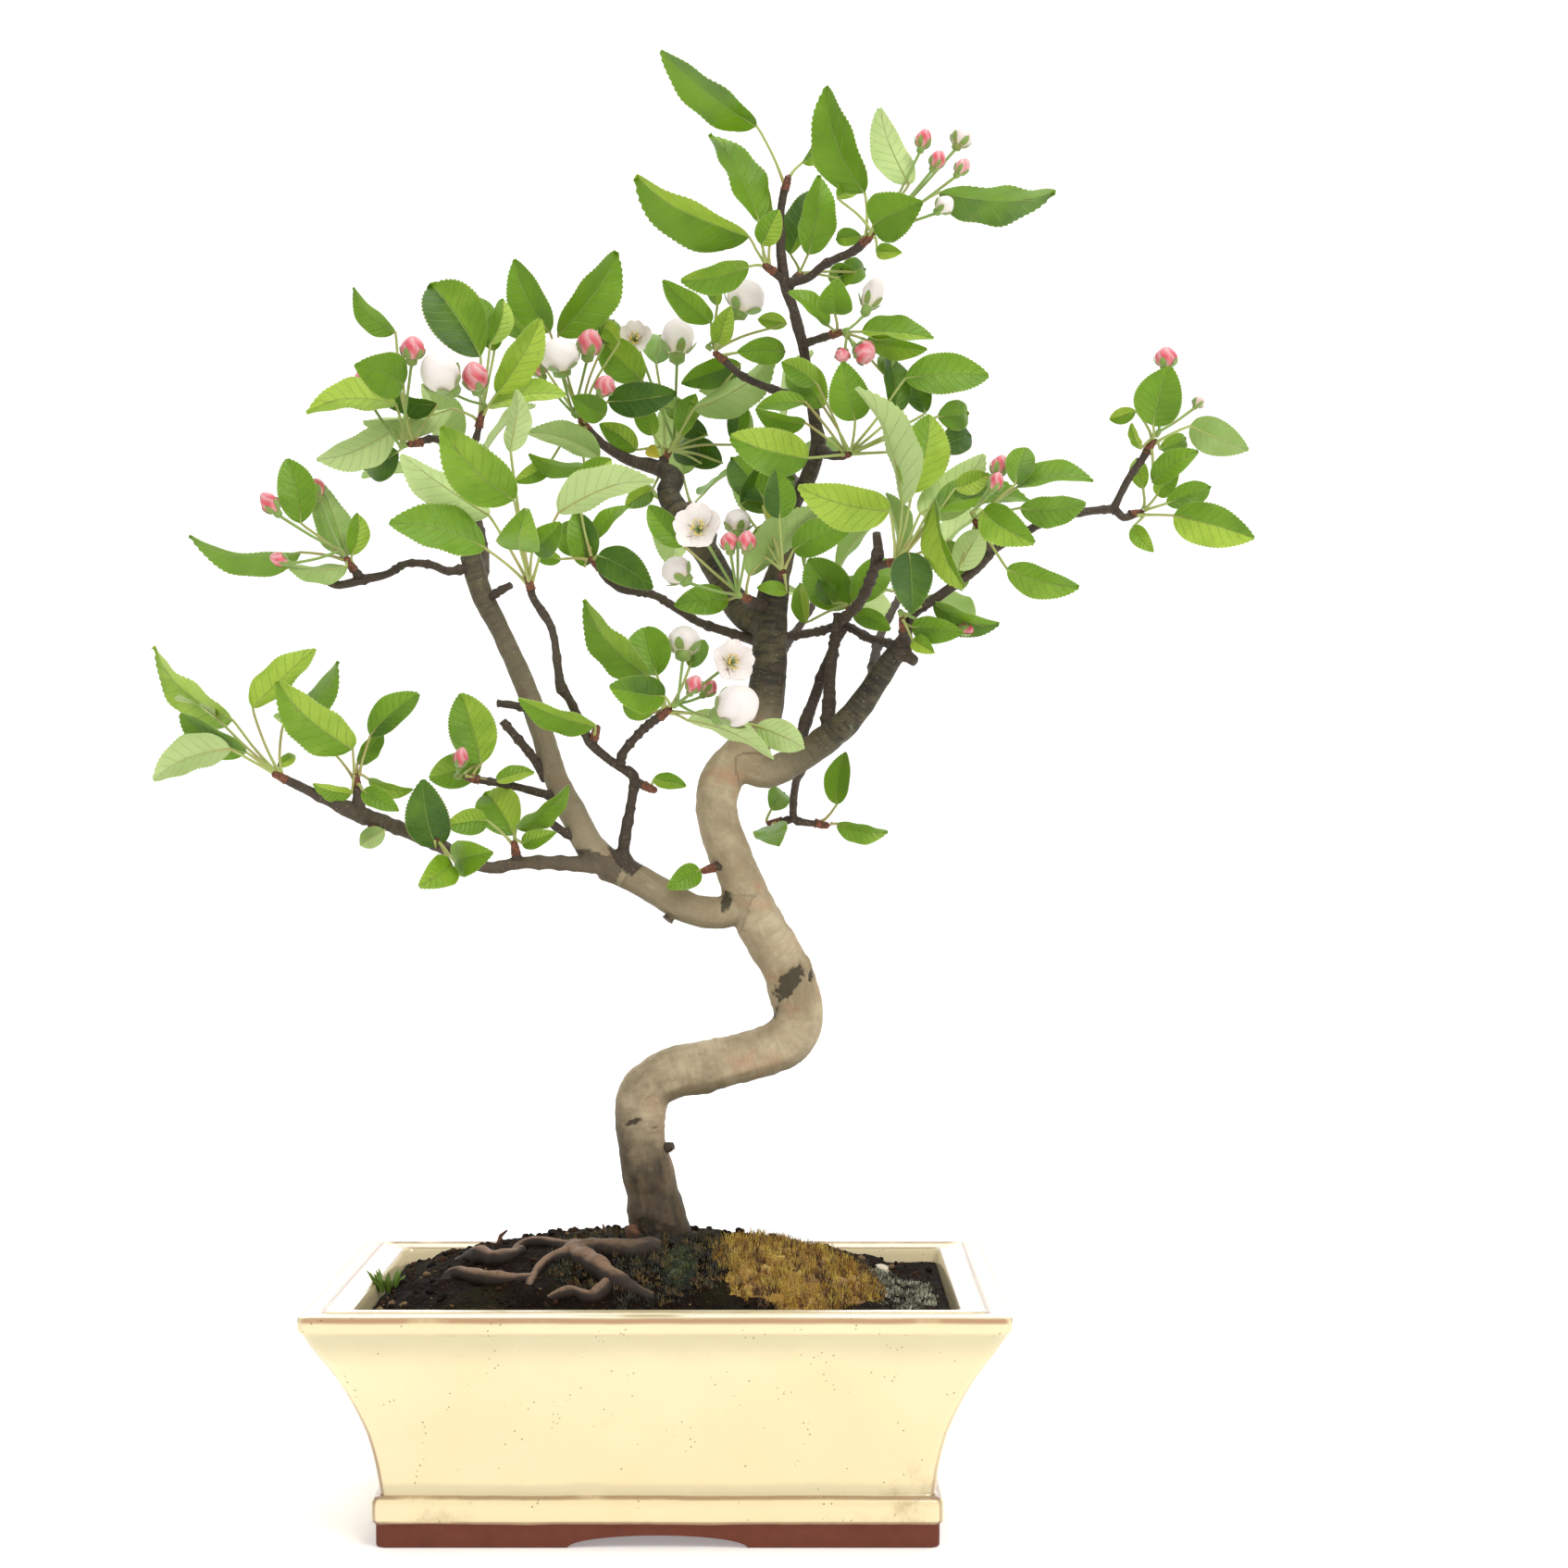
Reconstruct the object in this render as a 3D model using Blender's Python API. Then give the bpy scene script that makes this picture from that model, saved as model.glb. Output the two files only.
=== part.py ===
# Crabapple bonsai in flower, in its glazed rectangular pot.
# Metres, +Z up, the front towards -Y. The origin is on the ground under the middle of the whole
# object; the pot stands a little to the left of it, because the tree reaches further to the right.

import math

import bmesh
import bpy
from mathutils import Matrix, Vector
from mathutils.bvhtree import BVHTree

MM = 0.001
SCRAP = 8  # vertices; no real piece has so few
GAP = 0.3 * MM  # between neighbours that touch on the real tree

POT_SHIFT = Vector((-14.5 * MM, -16 * MM, 0))  # from the origin to the pot's middle

# Pot
RIM_LENGTH = 250 * MM
RIM_DEPTH = 185 * MM
FLOOR_TOP = 13 * MM
INNER_TOP = (18, 85.2, 4)  # inner wall in mm: inset from the rim's edge, height, corner radius
INNER_LOW = (32.5, 13, 7)
INNER_ARRIS = 0.6  # mm
DRAIN_DIAMETER = 16 * MM
DRAIN_OFFSET = 50 * MM
ARCH_WIDTH = 64 * MM
ARCH_HEIGHT = 4.5 * MM
NET_SIDE = 26 * MM
NET_THICKNESS = 1.0 * MM

# Soil
SOIL_EDGE = 80.5 * MM
SOIL_BOTTOM = FLOOR_TOP + NET_THICKNESS + 2 * GAP
MOUND = 21.5 * MM
MOUND_MIDDLE = (-8 * MM, 3 * MM)
MOUND_REACH = (96 * MM, 76 * MM)
MOUND_FALL = 0.8
LUMPS = 0.7 * MM
SOIL_COLUMNS = 14
SOIL_ROWS = 10
CUSHIONS = {  # moss: middle, half length and half depth, thickness
    "moss_golden": ((52 * MM, -20 * MM), (31 * MM, 36 * MM), 3.5 * MM),
    "moss_green": ((7 * MM, -38 * MM), (6 * MM, 16 * MM), 2.5 * MM),
}

# Leaves and flowers
BLADE_THICKNESS = 0.75 * MM
LENGTH_TO_WIDTH = 2.1
PETIOLE = 1.3 * MM
PEDICEL = 1.3 * MM
SPUR_LENGTH = 6 * MM
SPUR_DIAMETER = 4 * MM
CLEAR = 0.45 * MM  # least room round a leaf when it is bent clear of its neighbours

# The tree's front view is laid out on the photograph: places are its pixels, across and down, and
# depths are millimetres behind the trunk. EYE is the place it is seen from, from the pot's middle.
EYE = Vector((45 * MM, -1182.5 * MM, 271.6 * MM))
MID_PIXEL = 847
FOCAL_PIXELS = 3388


def seen(u, v, depth):
    """The point at this depth (mm behind the trunk) that shows at pixel (u, v)."""
    away = depth * MM - EYE.y
    return Vector((
        EYE.x + (u - MID_PIXEL) * away / FOCAL_PIXELS,
        depth * MM,
        EYE.z - (v - MID_PIXEL) * away / FOCAL_PIXELS,
    ))


# Trunk and branches: pixel across, pixel down, depth in mm, diameter in mm.
WOOD = {
    "trunk": [
        (722, 1452, 4, 19), (719, 1400, 2, 25), (715, 1345, 0, 23.5), (703, 1280, -2, 20.2),
        (693, 1230, -3, 18.6), (692, 1200, -3, 19.5), (698, 1178, -3, 19.5), (725, 1160, -2, 19.5),
        (770, 1150, 2, 19), (820, 1138, 6, 19), (850, 1124, 8, 19.5), (862, 1100, 8, 19.5),
        (858, 1070, 7, 19.2), (846, 1040, 5, 18.5), (825, 1005, 2, 18.2), (806, 965, 0, 17),
        (788, 922, -2, 16), (778, 894, -2, 16), (774, 867, -1, 16), (780, 840, 0, 16),
        (800, 815, 2, 15.4), (822, 785, 3, 14.8), (830, 730, 4, 14), (832, 685, 4, 13.3),
        (835, 645, 5, 12.2), (841, 619, 5, 9.6), (851, 587, 6, 7), (857, 546, 6, 6.3),
        (870, 523, 6, 6.8), (884, 482, 7, 6.3), (880, 453, 8, 5), (870, 387, 8, 4.4),
        (859, 339, 7, 4.2), (848, 307, 5, 4.6), (843, 259, 4, 3.8), (844, 224, 3, 3.4),
        (849, 202, 2, 3.4),
    ],
    "left_main": [
        (806, 968, 0, 11), (785, 985, -1, 12.4), (750, 983, -3, 12.4), (715, 965, -5, 12),
        (685, 948, -6, 11.6), (652, 934, -8, 11.4),
    ],
    "branch_a": [
        (672, 942, -7, 10), (640, 918, -7, 12), (620, 880, -4, 10.6), (600, 840, 0, 9.8),
        (585, 790, 4, 9), (565, 735, 8, 8.4), (540, 680, 11, 7.7), (520, 640, 13, 8.4),
        (508, 598, 14, 9),
    ],
    "branch_b": [
        (662, 938, -8, 6.5), (620, 933, -12, 5.6), (564, 932, -17, 4.9), (526, 937, -20, 4.9),
        (485, 918, -23, 5), (424, 892, -27, 6), (389, 880, -30, 6.5), (354, 864, -34, 5),
        (329, 852, -37, 4.2), (306, 841, -39, 3.8),
    ],
    "branch_c": [
        (680, 944, -6, 5.6), (674, 916, -9, 4.9), (682, 867, -13, 4.2), (685, 839, -15, 4.6),
        (668, 828, -18, 3.8), (641, 806, -22, 4.2), (630, 787, -25, 4), (616, 757, -28, 3.8),
        (606, 742, -30, 4.6), (603, 723, -32, 3.8), (596, 679, -35, 3.4), (577, 648, -38, 3.6),
        (573, 634, -39, 4),
    ],
    "right_main": [
        (800, 826, 1, 11), (830, 835, -1, 12.2), (865, 818, -4, 11.4), (895, 797, -7, 11),
        (925, 768, -10, 9.8), (948, 735, -13, 9), (968, 705, -16, 7.7), (979, 692, -18, 7),
    ],
    "left_back": [
        (828, 680, 5, 9), (800, 660, 14, 11), (765, 600, 26, 10.5), (723, 537, 38, 9.5),
        (729, 517, 42, 8), (709, 505, 44, 6.6), (680, 497, 42, 5), (651, 480, 38, 4),
        (634, 462, 35, 3.6),
    ],
    "outer_right": [
        (977, 696, -18, 5), (985, 665, -22, 4.4), (1013, 645, -26, 4), (1054, 615, -30, 3.8),
        (1076, 592, -30, 3.6), (1115, 571, -28, 3.4), (1133, 558, -26, 3.2), (1163, 554, -23, 3.6),
        (1189, 551, -20, 3.2), (1204, 551, -18, 3.4), (1214, 559, -17, 3.2), (1224, 556, -16, 3),
    ],
    "outer_up": [
        (1202, 552, -18, 3.2), (1212, 531, -19, 3), (1222, 513, -20, 3), (1234, 496, -21, 3),
        (1240, 486, -22, 3.2),
    ],
    "upright_front": [(893, 795, -6, 6), (895, 772, -4, 5.6), (898, 720, 3, 4.4), (906, 664, 9, 3.8)],
    "upright_back": [
        (862, 814, -3, 6), (868, 788, 2, 5.2), (885, 740, 12, 4.8), (900, 700, 18, 4.2),
        (912, 676, 19, 3.6),
    ],
    "cross_twig": [
        (842, 690, 6, 4.4), (862, 686, 10, 3.6), (886, 682, 12, 3.4), (912, 676, 16, 3.6),
        (940, 690, 5, 3.4), (965, 696, -10, 3.4),
    ],
    "middle_twig": [
        (906, 672, 9, 4), (924, 657, 0, 4), (937, 635, -12, 4.2), (948, 600, -24, 4.2),
        (947, 576, -29, 3.4),
    ],
    "drooping": [
        (868, 824, 2, 4), (860, 845, 12, 3.4), (857, 870, 18, 3), (860, 886, 20, 3.2),
        (884, 890, 22, 2.8),
    ],
    "drooping_left": [(861, 884, 20, 3), (841, 888, 22, 2.8)],
    "upper_left": [
        (512, 612, 13, 4.6), (485, 617, 9, 3.4), (465, 610, 5, 3.2), (439, 609, 1, 3),
        (419, 620, -3, 3.2), (393, 626, -6, 3.8), (367, 632, -9, 3.4), (351, 627, -11, 3),
    ],
    "up_twig": [
        (509, 606, 14, 4.4), (510, 560, 12, 3.4), (506, 508, 9, 3.2), (491, 485, 6, 3),
        (470, 474, 2, 3), (452, 478, -2, 2.8),
    ],
    "up_twig_side": [(503, 500, 8, 3), (513, 478, 6, 2.8), (518, 458, 4, 2.8)],
    "thin_left": [
        (822, 694, 5, 4.6), (790, 684, 10, 3.8), (755, 672, 12, 3.4), (726, 654, 14, 3.4),
        (704, 642, 14, 3.2), (669, 635, 13, 3.6), (646, 612, 11, 3),
    ],
    "top_right": [
        (850, 306, 5, 3.6), (873, 300, 2, 3.4), (892, 285, -2, 3.4), (921, 272, -7, 3.6),
        (934, 261, -10, 3.4),
    ],
    "blossom_arm": [
        (670, 826, -18, 3.6), (674, 812, -20, 3.4), (696, 787, -26, 3.2), (716, 772, -31, 3.2),
    ],
    "blossom_knob": [(684, 843, -15, 3.8), (699, 850, -18, 3.4)],
    "cut_stub": [(590, 842, 1, 4.4), (574, 816, -4, 3.6), (543, 779, -9, 3.4)],
    "short_spur": [(578, 768, 5, 4), (555, 762, 1, 3.2), (538, 760, -2, 3)],
    "low_twig": [
        (608, 864, -2, 4), (596, 860, -4, 3.6), (549, 848, -10, 3), (514, 842, -14, 2.8),
    ],
    "low_stub": [(622, 905, -7, 4), (603, 895, -10, 3.4), (588, 881, -12, 2.8)],
    "red_spur": [(527, 650, 12, 3.8), (536, 641, 9, 3.2), (552, 632, 6, 2.8)],
    "trunk_stub": [(700, 1246, -3, 6), (727, 1238, -7, 3.4)],
    "left_knob": [(734, 976, -4, 6), (721, 994, -6, 4)],
    "right_knob": [(972, 704, -17, 6), (990, 716, -21, 4)],
    "spur_b2": [(388, 882, -30, 5), (386, 850, -32, 3.6)],
    "spur_b3": [(404, 884, -28, 4), (402, 896, -30, 3.2)],
    "spur_b4": [(484, 918, -23, 4), (476, 910, -30, 3.4)],
    "spur_b5": [(559, 932, -17, 4), (557, 919, -20, 3.2)],
    "spur_c2": [(640, 806, -22, 3.6), (643, 794, -25, 3)],
    "spur_ul2": [(390, 626, -6, 3.6), (380, 612, -9, 3)],
    "spur_lb2": [(712, 507, 44, 5), (718, 496, 45, 3.6)],
    "spur_top_left": [(846, 302, 5, 3.6), (833, 292, 0, 3)],
    "spur_top_back": [(852, 312, 6, 3.6), (861, 300, 14, 3)],
    "twig_inner": [
        (876, 430, 8, 3.6), (845, 424, 17, 3.2), (805, 408, 21, 3), (781, 388, 21, 3),
    ],
    "spur_r3": [(867, 372, 8, 3.6), (885, 366, -2, 3.2), (901, 361, -9, 3)],
    "spur_r4": [(884, 484, 7, 4.6), (899, 492, -5, 3.8), (912, 491, -14, 3.6)],
    "spur_r5": [(944, 612, -20, 3.8), (964, 608, -31, 3.2)],
    "spur_r6": [(1070, 598, -30, 3.4), (1061, 582, -34, 3), (1057, 571, -37, 2.8)],
    "spur_r7": [(979, 692, -18, 5), (976, 677, -23, 3.4)],
    "spur_r8": [(910, 678, 16, 3.4), (914, 667, 16, 3)],
    "spur_t1": [(830, 656, 4, 5), (814, 650, -8, 3.6), (807, 647, -13, 3.2)],
    "spur_t2": [(837, 634, 4, 5), (843, 626, -9, 3.6), (845, 621, -15, 3.2)],
    "spur_t3": [(790, 930, -2, 5), (768, 938, -10, 3)],
    "back_1": [
        (832, 722, 4, 7), (840, 712, 22, 4.8), (854, 690, 42, 4), (874, 662, 60, 3.2),
        (880, 646, 70, 3),
    ],
    "back_2": [(764, 598, 27, 6), (770, 580, 45, 4), (762, 560, 62, 3.4), (748, 548, 74, 3)],
    "back_3": [(857, 548, 6, 5), (864, 530, 24, 3.8), (852, 508, 44, 3.2), (842, 492, 58, 3)],
    "back_4": [
        (946, 738, -12, 6), (944, 722, 8, 4.6), (950, 690, 32, 3.6), (966, 656, 52, 3.2),
        (974, 642, 62, 3),
    ],
    "back_5": [(518, 636, 13, 5), (524, 606, 30, 3.6), (516, 560, 46, 3.2), (504, 528, 58, 3)],
}

# Roots that lie on the soil: pixel across, pixel down, diameter in mm.
ROOTS = {
    "root_1": [
        (714, 1354, 14), (690, 1352, 12), (640, 1350, 10), (616, 1352, 9.5), (638, 1364, 10),
        (666, 1384, 9), (707, 1396, 6),
    ],
    "root_2": [(640, 1350, 9), (608, 1346, 6), (587, 1342, 5.5), (561, 1346, 5), (549, 1356, 4)],
    "root_3": [(640, 1352, 8), (595, 1360, 6), (575, 1382, 5), (572, 1392, 4)],
    "root_4": [(565, 1350, 5), (540, 1360, 8.5), (513, 1356, 8), (493, 1358, 5)],
    "root_5": [(576, 1382, 5), (529, 1382, 7), (493, 1376, 6.5), (478, 1382, 4.5)],
    "root_6": [(662, 1382, 7), (640, 1402, 6), (618, 1396, 6), (585, 1398, 4.5)],
}
ROOT_START = (715, 1352, 0)  # inside the trunk's foot

# Leaves: blade base and tip in pixels, seen width in mm, lean from -1 (tip towards the front) to
# 1 (towards the back), and 1 where the upper face shows or -1 where the underside does.
SPRAYS = {
    "leaves_low_tip": ("branch_b", [
        (251, 778, 160, 703, 10.5, 0.5, 1), (233, 774, 188, 755, 6, 1, -1),
        (266, 813, 195, 770, 9.8, -0.4, 1), (249, 809, 164, 840, 12, -0.6, -1),
        (273, 765, 341, 701, 10.5, 0.6, 1), (306, 784, 370, 717, 9.8, 0.9, 1),
    ]),
    "leaves_low_mid": ("spur_b2", [
        (381, 809, 297, 739, 15.7, -0.3, 1), (354, 806, 295, 774, 9, 0.6, -1),
        (400, 795, 453, 750, 10.5, 0.4, 1), (386, 825, 415, 790, 6.3, 0.9, 1),
        (392, 854, 431, 876, 7, -0.8, 1),
    ]),
    "leaf_low_under": ("spur_b3", [(415, 897, 388, 914, 7, -0.7, -1)]),
    "leaves_low_right": ("spur_b4", [
        (471, 915, 457, 842, 14.7, -0.3, 1), (491, 931, 533, 921, 12, -0.9, 1),
        (488, 934, 456, 956, 11, -0.9, 1),
    ]),
    "leaves_fork": ("low_twig", [
        (520, 825, 498, 749, 16, 0.3, 1), (520, 824, 464, 841, 12, 0.3, 1),
    ]),
    "leaves_fork_low": ("spur_b5", [
        (555, 902, 523, 854, 15.4, 0.4, 1), (558, 895, 617, 852, 7, -0.3, 1),
        (526, 886, 482, 892, 9, -0.5, 1),
    ]),
    "leaf_middle": ("spur_c2", [(643, 784, 560, 754, 8.4, -0.4, 1)]),
    "leaves_middle_top": ("branch_c", [
        (555, 540, 476, 462, 18, -0.4, 1), (524, 592, 420, 566, 15.4, -0.3, 1),
        (528, 557, 433, 491, 12.6, 0.2, -1), (552, 488, 562, 422, 8.4, 0.3, -1),
        (603, 554, 706, 514, 12.6, -0.3, -1), (562, 594, 568, 557, 14, -1, 1),
        (575, 594, 605, 566, 10.5, -0.9, 1),
    ]),
    "leaves_thin_left": ("thin_left", [
        (646, 600, 705, 636, 12.6, -0.5, 1), (643, 594, 603, 570, 12.6, 0.5, 1),
        (640, 586, 680, 543, 6, 0.7, 1),
    ]),
    "leaves_upper_left": ("spur_ul2", [
        (325, 597, 203, 585, 8.4, -0.3, 1), (325, 565, 310, 496, 13.3, 0.3, 1),
        (375, 600, 345, 520, 12.6, 0.5, -1), (380, 600, 387, 553, 7.7, 0.8, 1),
        (375, 612, 305, 612, 6.3, -0.7, -1),
    ]),
    "leaves_left_crown": ("up_twig", [
        (427, 359, 379, 312, 7.7, 0.3, 1), (436, 416, 382, 394, 15.7, -0.8, 1),
        (473, 437, 402, 417, 7, 0.6, 1), (428, 437, 330, 440, 10.5, -0.2, 1),
        (425, 465, 343, 500, 12.6, -0.4, -1), (430, 488, 390, 508, 12, 0.7, 1),
    ]),
    "leaves_left_top": ("up_twig_side", [
        (519, 385, 463, 304, 20, 0.3, 1), (534, 379, 511, 316, 10.5, 0.8, 1),
        (488, 442, 392, 454, 8.4, -0.6, -1), (537, 425, 585, 345, 12, -0.3, 1),
        (528, 439, 611, 425, 8.4, -0.5, 1), (530, 372, 545, 322, 8, 1, 1),
    ]),
    "leaves_centre_left": ("left_back", [
        (594, 359, 554, 280, 13.3, 0.3, 1), (603, 362, 671, 274, 15.4, 0.2, 1),
        (568, 365, 537, 336, 9, 0.8, 1), (648, 494, 568, 465, 9.8, -0.5, -1),
        (631, 503, 571, 494, 6.3, -0.8, 1), (594, 500, 557, 520, 7, -0.9, 1),
        (654, 448, 617, 428, 9.8, -0.9, 1), (657, 434, 730, 425, 12.6, -0.4, 1),
        (694, 411, 648, 365, 14, 0.3, 1),
    ]),
    "leaves_centre_back": ("spur_lb2", [
        (709, 393, 714, 360, 12, 0.9, 1), (750, 442, 841, 388, 12, -0.3, -1),
        (800, 393, 736, 415, 10.5, 0.5, 1), (735, 470, 752, 425, 8, 0.9, 1),
        (706, 470, 690, 425, 8, -0.6, 1),
    ]),
    "leaves_inner": ("twig_inner", [
        (768, 348, 716, 303, 9.8, -0.3, 1), (848, 380, 797, 380, 9.8, -0.7, 1),
    ]),
    "leaves_top_left": ("spur_top_left", [
        (809, 256, 682, 199, 15, -0.2, 1), (819, 237, 771, 141, 12, 0.3, 1),
        (835, 243, 813, 176, 9, 0.6, 1), (824, 265, 841, 227, 9, -0.7, 1),
        (809, 288, 736, 304, 10.5, -0.6, 1),
    ]),
    "leaves_summit": ("trunk", [
        (817, 136, 714, 54, 12.6, -0.3, 1), (867, 176, 905, 132, 6.3, 0.7, 1),
    ]),
    "leaves_top_right": ("top_right", [
        (934, 208, 892, 93, 15.5, 0.2, 1), (943, 243, 997, 218, 17, -0.6, 1),
        (982, 199, 947, 120, 12, 0.6, -1), (1015, 208, 1141, 213, 13.3, -0.2, 1),
    ]),
    "leaves_top_back": ("spur_top_back", [
        (854, 275, 888, 199, 10.5, 0.5, 1), (873, 275, 888, 189, 12.6, -0.1, 1),
    ]),
    "leaves_right_upper": ("spur_r3", [
        (902, 339, 905, 302, 12, -0.6, 1), (895, 352, 854, 313, 6.3, -0.6, 1),
        (931, 358, 1009, 364, 8.4, -0.3, 1), (937, 368, 1001, 379, 7.7, -0.7, 1),
    ]),
    "leaves_right_crown": ("spur_r4", [
        (924, 454, 911, 391, 14, -0.4, 1), (968, 447, 962, 383, 9, 0.6, 1),
        (883, 415, 844, 391, 9, 0.4, 1), (870, 434, 817, 438, 6.3, 0.5, 1),
        (870, 457, 816, 444, 7, -0.5, 1), (873, 495, 790, 472, 16, -0.4, 1),
        (978, 409, 1068, 407, 14, 0.3, 1), (1013, 450, 1049, 446, 10.5, 0.6, 1),
    ]),
    "leaves_right_front": ("spur_r5", [
        (961, 552, 862, 527, 15.4, -0.4, 1), (975, 546, 934, 415, 10.5, 0.3, -1),
        (985, 533, 1004, 447, 17, 0.2, 1), (994, 555, 1064, 492, 15, 0.4, -1),
        (1010, 552, 1116, 536, 11, -0.2, 1), (1010, 539, 1034, 637, 7.7, -0.5, 1),
        (982, 597, 985, 664, 14, -0.6, 1), (1026, 584, 1040, 640, 10, 0.5, 1),
    ]),
    "leaves_right_twig": ("spur_r6", [
        (1099, 526, 1181, 516, 7.7, -0.4, 1), (1102, 549, 1173, 543, 10.5, 0.3, 1),
        (1097, 523, 1110, 484, 9.8, 0.5, 1), (1062, 552, 1115, 585, 13, -0.8, 1),
        (1036, 616, 1061, 571, 10.5, 0.6, -1), (1088, 615, 1164, 639, 10.5, -0.4, 1),
    ]),
    "leaves_right_low": ("spur_r7", [
        (1008, 651, 1078, 678, 8.4, -0.4, 1), (985, 677, 1041, 683, 9, -0.7, 1),
    ]),
    "leaves_right_inner": ("spur_r8", [
        (915, 657, 873, 603, 16, 0.4, 1), (921, 651, 961, 603, 12, 0.5, 1),
    ]),
    "leaves_trunk_left": ("spur_t1", [
        (809, 622, 888, 543, 12, -0.4, -1), (787, 648, 728, 654, 10.5, -0.5, 1),
        (739, 590, 701, 546, 9.8, 0.3, 1),
    ]),
    "leaves_trunk_front": ("spur_t2", [
        (857, 594, 924, 565, 12, -0.6, 1), (826, 540, 788, 492, 14, 0.5, 1),
        (842, 560, 838, 508, 11, 0.3, 1),
    ]),
    "leaves_far_right": ("outer_up", [
        (1246, 460, 1265, 396, 16, -0.2, 1),
        (1286, 460, 1349, 486, 12.6, 0.3, -1),
        (1245, 521, 1293, 486, 9, -0.7, 1),
    ]),
    "leaves_far_right_low": ("outer_right", [
        (1260, 544, 1310, 525, 9, 0.7, 1), (1268, 557, 1355, 582, 14.7, -0.3, 1),
    ]),
    "leaves_blossom": ("blossom_arm", [
        (701, 730, 626, 651, 12, 0.2, 1), (710, 730, 697, 678, 15.4, 0.3, 1),
        (718, 752, 658, 741, 12.6, -0.7, 1), (745, 721, 762, 691, 7.7, 0.7, 1),
        (743, 778, 836, 820, 7.7, -0.3, -1), (817, 784, 870, 809, 10.5, -0.6, -1),
    ]),
    "leaf_knob": ("blossom_knob", [(706, 842, 741, 848, 5.6, -0.4, 1)]),
    "leaf_trunk": ("spur_t3", [(756, 940, 722, 959, 8.4, -0.6, 1)]),
    "leaves_droop_right": ("drooping", [
        (904, 869, 913, 812, 9, 0.5, 1), (904, 890, 959, 902, 7, 0.3, 1),
    ]),
    "leaves_droop_left": ("drooping_left", [
        (833, 875, 849, 855, 8.4, 0.8, 1), (834, 892, 842, 915, 12, -0.8, 1),
    ]),
}

# Flowers: middle in pixels, height and width in mm, depth in mm from the spur, and the kind:
# "bud" is a pink closed bud, "ball" a white swollen one, "open" a blossom that faces the viewer.
FLOWERS = {
    "flowers_low": ("low_twig", [(498, 818, 8, 5.5, -8, "bud")]),
    "flowers_upper_left": ("spur_ul2", [
        (291, 543, 9, 6.5, -12, "bud"), (343, 527, 8, 6, 12, "bud"), (301, 604, 7, 5, -16, "bud"),
    ]),
    "flowers_left_crown": ("up_twig", [
        (446, 376, 9, 9, -14, "bud"), (389, 412, 7, 5, 10, "bud"),
    ]),
    "flowers_left_top": ("up_twig_side", [
        (475, 402, 16, 14, -22, "ball"), (513, 406, 11.5, 10, -16, "bud"),
    ]),
    "flowers_centre_left": ("left_back", [
        (604, 383, 12.5, 15, -20, "ball"), (637, 370, 10.5, 10, -12, "bud"),
        (654, 416, 8, 8, -22, "bud"), (581, 396, 8, 7, -8, "bud"),
    ]),
    "flowers_centre_back": ("spur_lb2", [
        (686, 367, 12, 13, 4, "open"), (732, 364, 15, 13, 8, "ball"),
    ]),
    "flowers_inner": ("twig_inner", [(806, 320, 13, 15, -4, "ball")]),
    "flowers_top_right": ("top_right", [
        (998, 150, 8, 6, 6, "bud"), (1013, 172, 7, 6, -6, "bud"), (1040, 180, 7, 5.5, 2, "bud"),
        (1039, 148, 8, 8, 10, "bud"), (1021, 221, 7, 7, -12, "bud"),
    ]),
    "flowers_right_upper": ("spur_r3", [
        (943, 317, 14, 8, 4, "ball"), (935, 381, 7.5, 9, -12, "bud"), (910, 384, 6, 5.5, -14, "bud"),
    ]),
    "flowers_right_twig": ("spur_r6", [
        (1080, 503, 8.5, 6.5, 4, "bud"), (1076, 520, 7, 5.5, -8, "bud"),
    ]),
    "flowers_right_low": ("spur_r7", [(1046, 678, 8, 5.5, 10, "bud")]),
    "flowers_trunk_left": ("spur_t1", [
        (755, 572, 19, 17, -14, "open"), (797, 563, 9, 10, 2, "ball"),
        (788, 585, 7, 7, -12, "bud"), (807, 584, 7.5, 7, -16, "bud"), (730, 616, 10, 11, -6, "ball"),
    ]),
    "flowers_far_right": ("outer_up", [
        (1260, 386, 7.7, 8.5, -8, "bud"), (1295, 434, 4.5, 4.5, 6, "bud"),
    ]),
    "flowers_blossom": ("blossom_arm", [
        (790, 716, 15, 15, -4, "open"), (797, 762, 16, 15, -16, "ball"),
        (739, 692, 11, 12, 10, "ball"), (750, 739, 7, 6, -10, "bud"), (766, 743, 7, 6, 6, "bud"),
    ]),
}

# Leafy ends on the side away from the viewer: the twig, how many leaves, and the first one's angle.
BACK_SPRAYS = {
    "leaves_back_1": ("back_1", 4, 10),
    "leaves_back_2": ("back_2", 4, 40),
    "leaves_back_3": ("back_3", 4, 75),
    "leaves_back_4": ("back_4", 4, 100),
    "leaves_back_5": ("back_5", 4, 25),
}
BACK_LEAF_LENGTH = 40 * MM
BACK_LEAF_WIDTH = 17 * MM


def clear_scene():
    for obj in list(bpy.data.objects):
        bpy.data.objects.remove(obj, do_unlink=True)


def new_collection(name):
    collection = bpy.data.collections.new(name)
    bpy.context.scene.collection.children.link(collection)
    return collection


def material(name, colour, roughness):
    made = bpy.data.materials.new(name)
    made.use_nodes = True
    shader = made.node_tree.nodes["Principled BSDF"]
    shader.inputs["Base Color"].default_value = (*colour, 1)
    shader.inputs["Roughness"].default_value = roughness
    shader.inputs["Metallic"].default_value = 0
    return made


def mesh_object(name, bm, collection):
    """A new object from a closed bmesh, faces pointing out."""
    bmesh.ops.recalc_face_normals(bm, faces=bm.faces[:])
    mesh = bpy.data.meshes.new(name)
    bm.to_mesh(mesh)
    bm.free()
    obj = bpy.data.objects.new(name, mesh)
    collection.objects.link(obj)
    return obj


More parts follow.
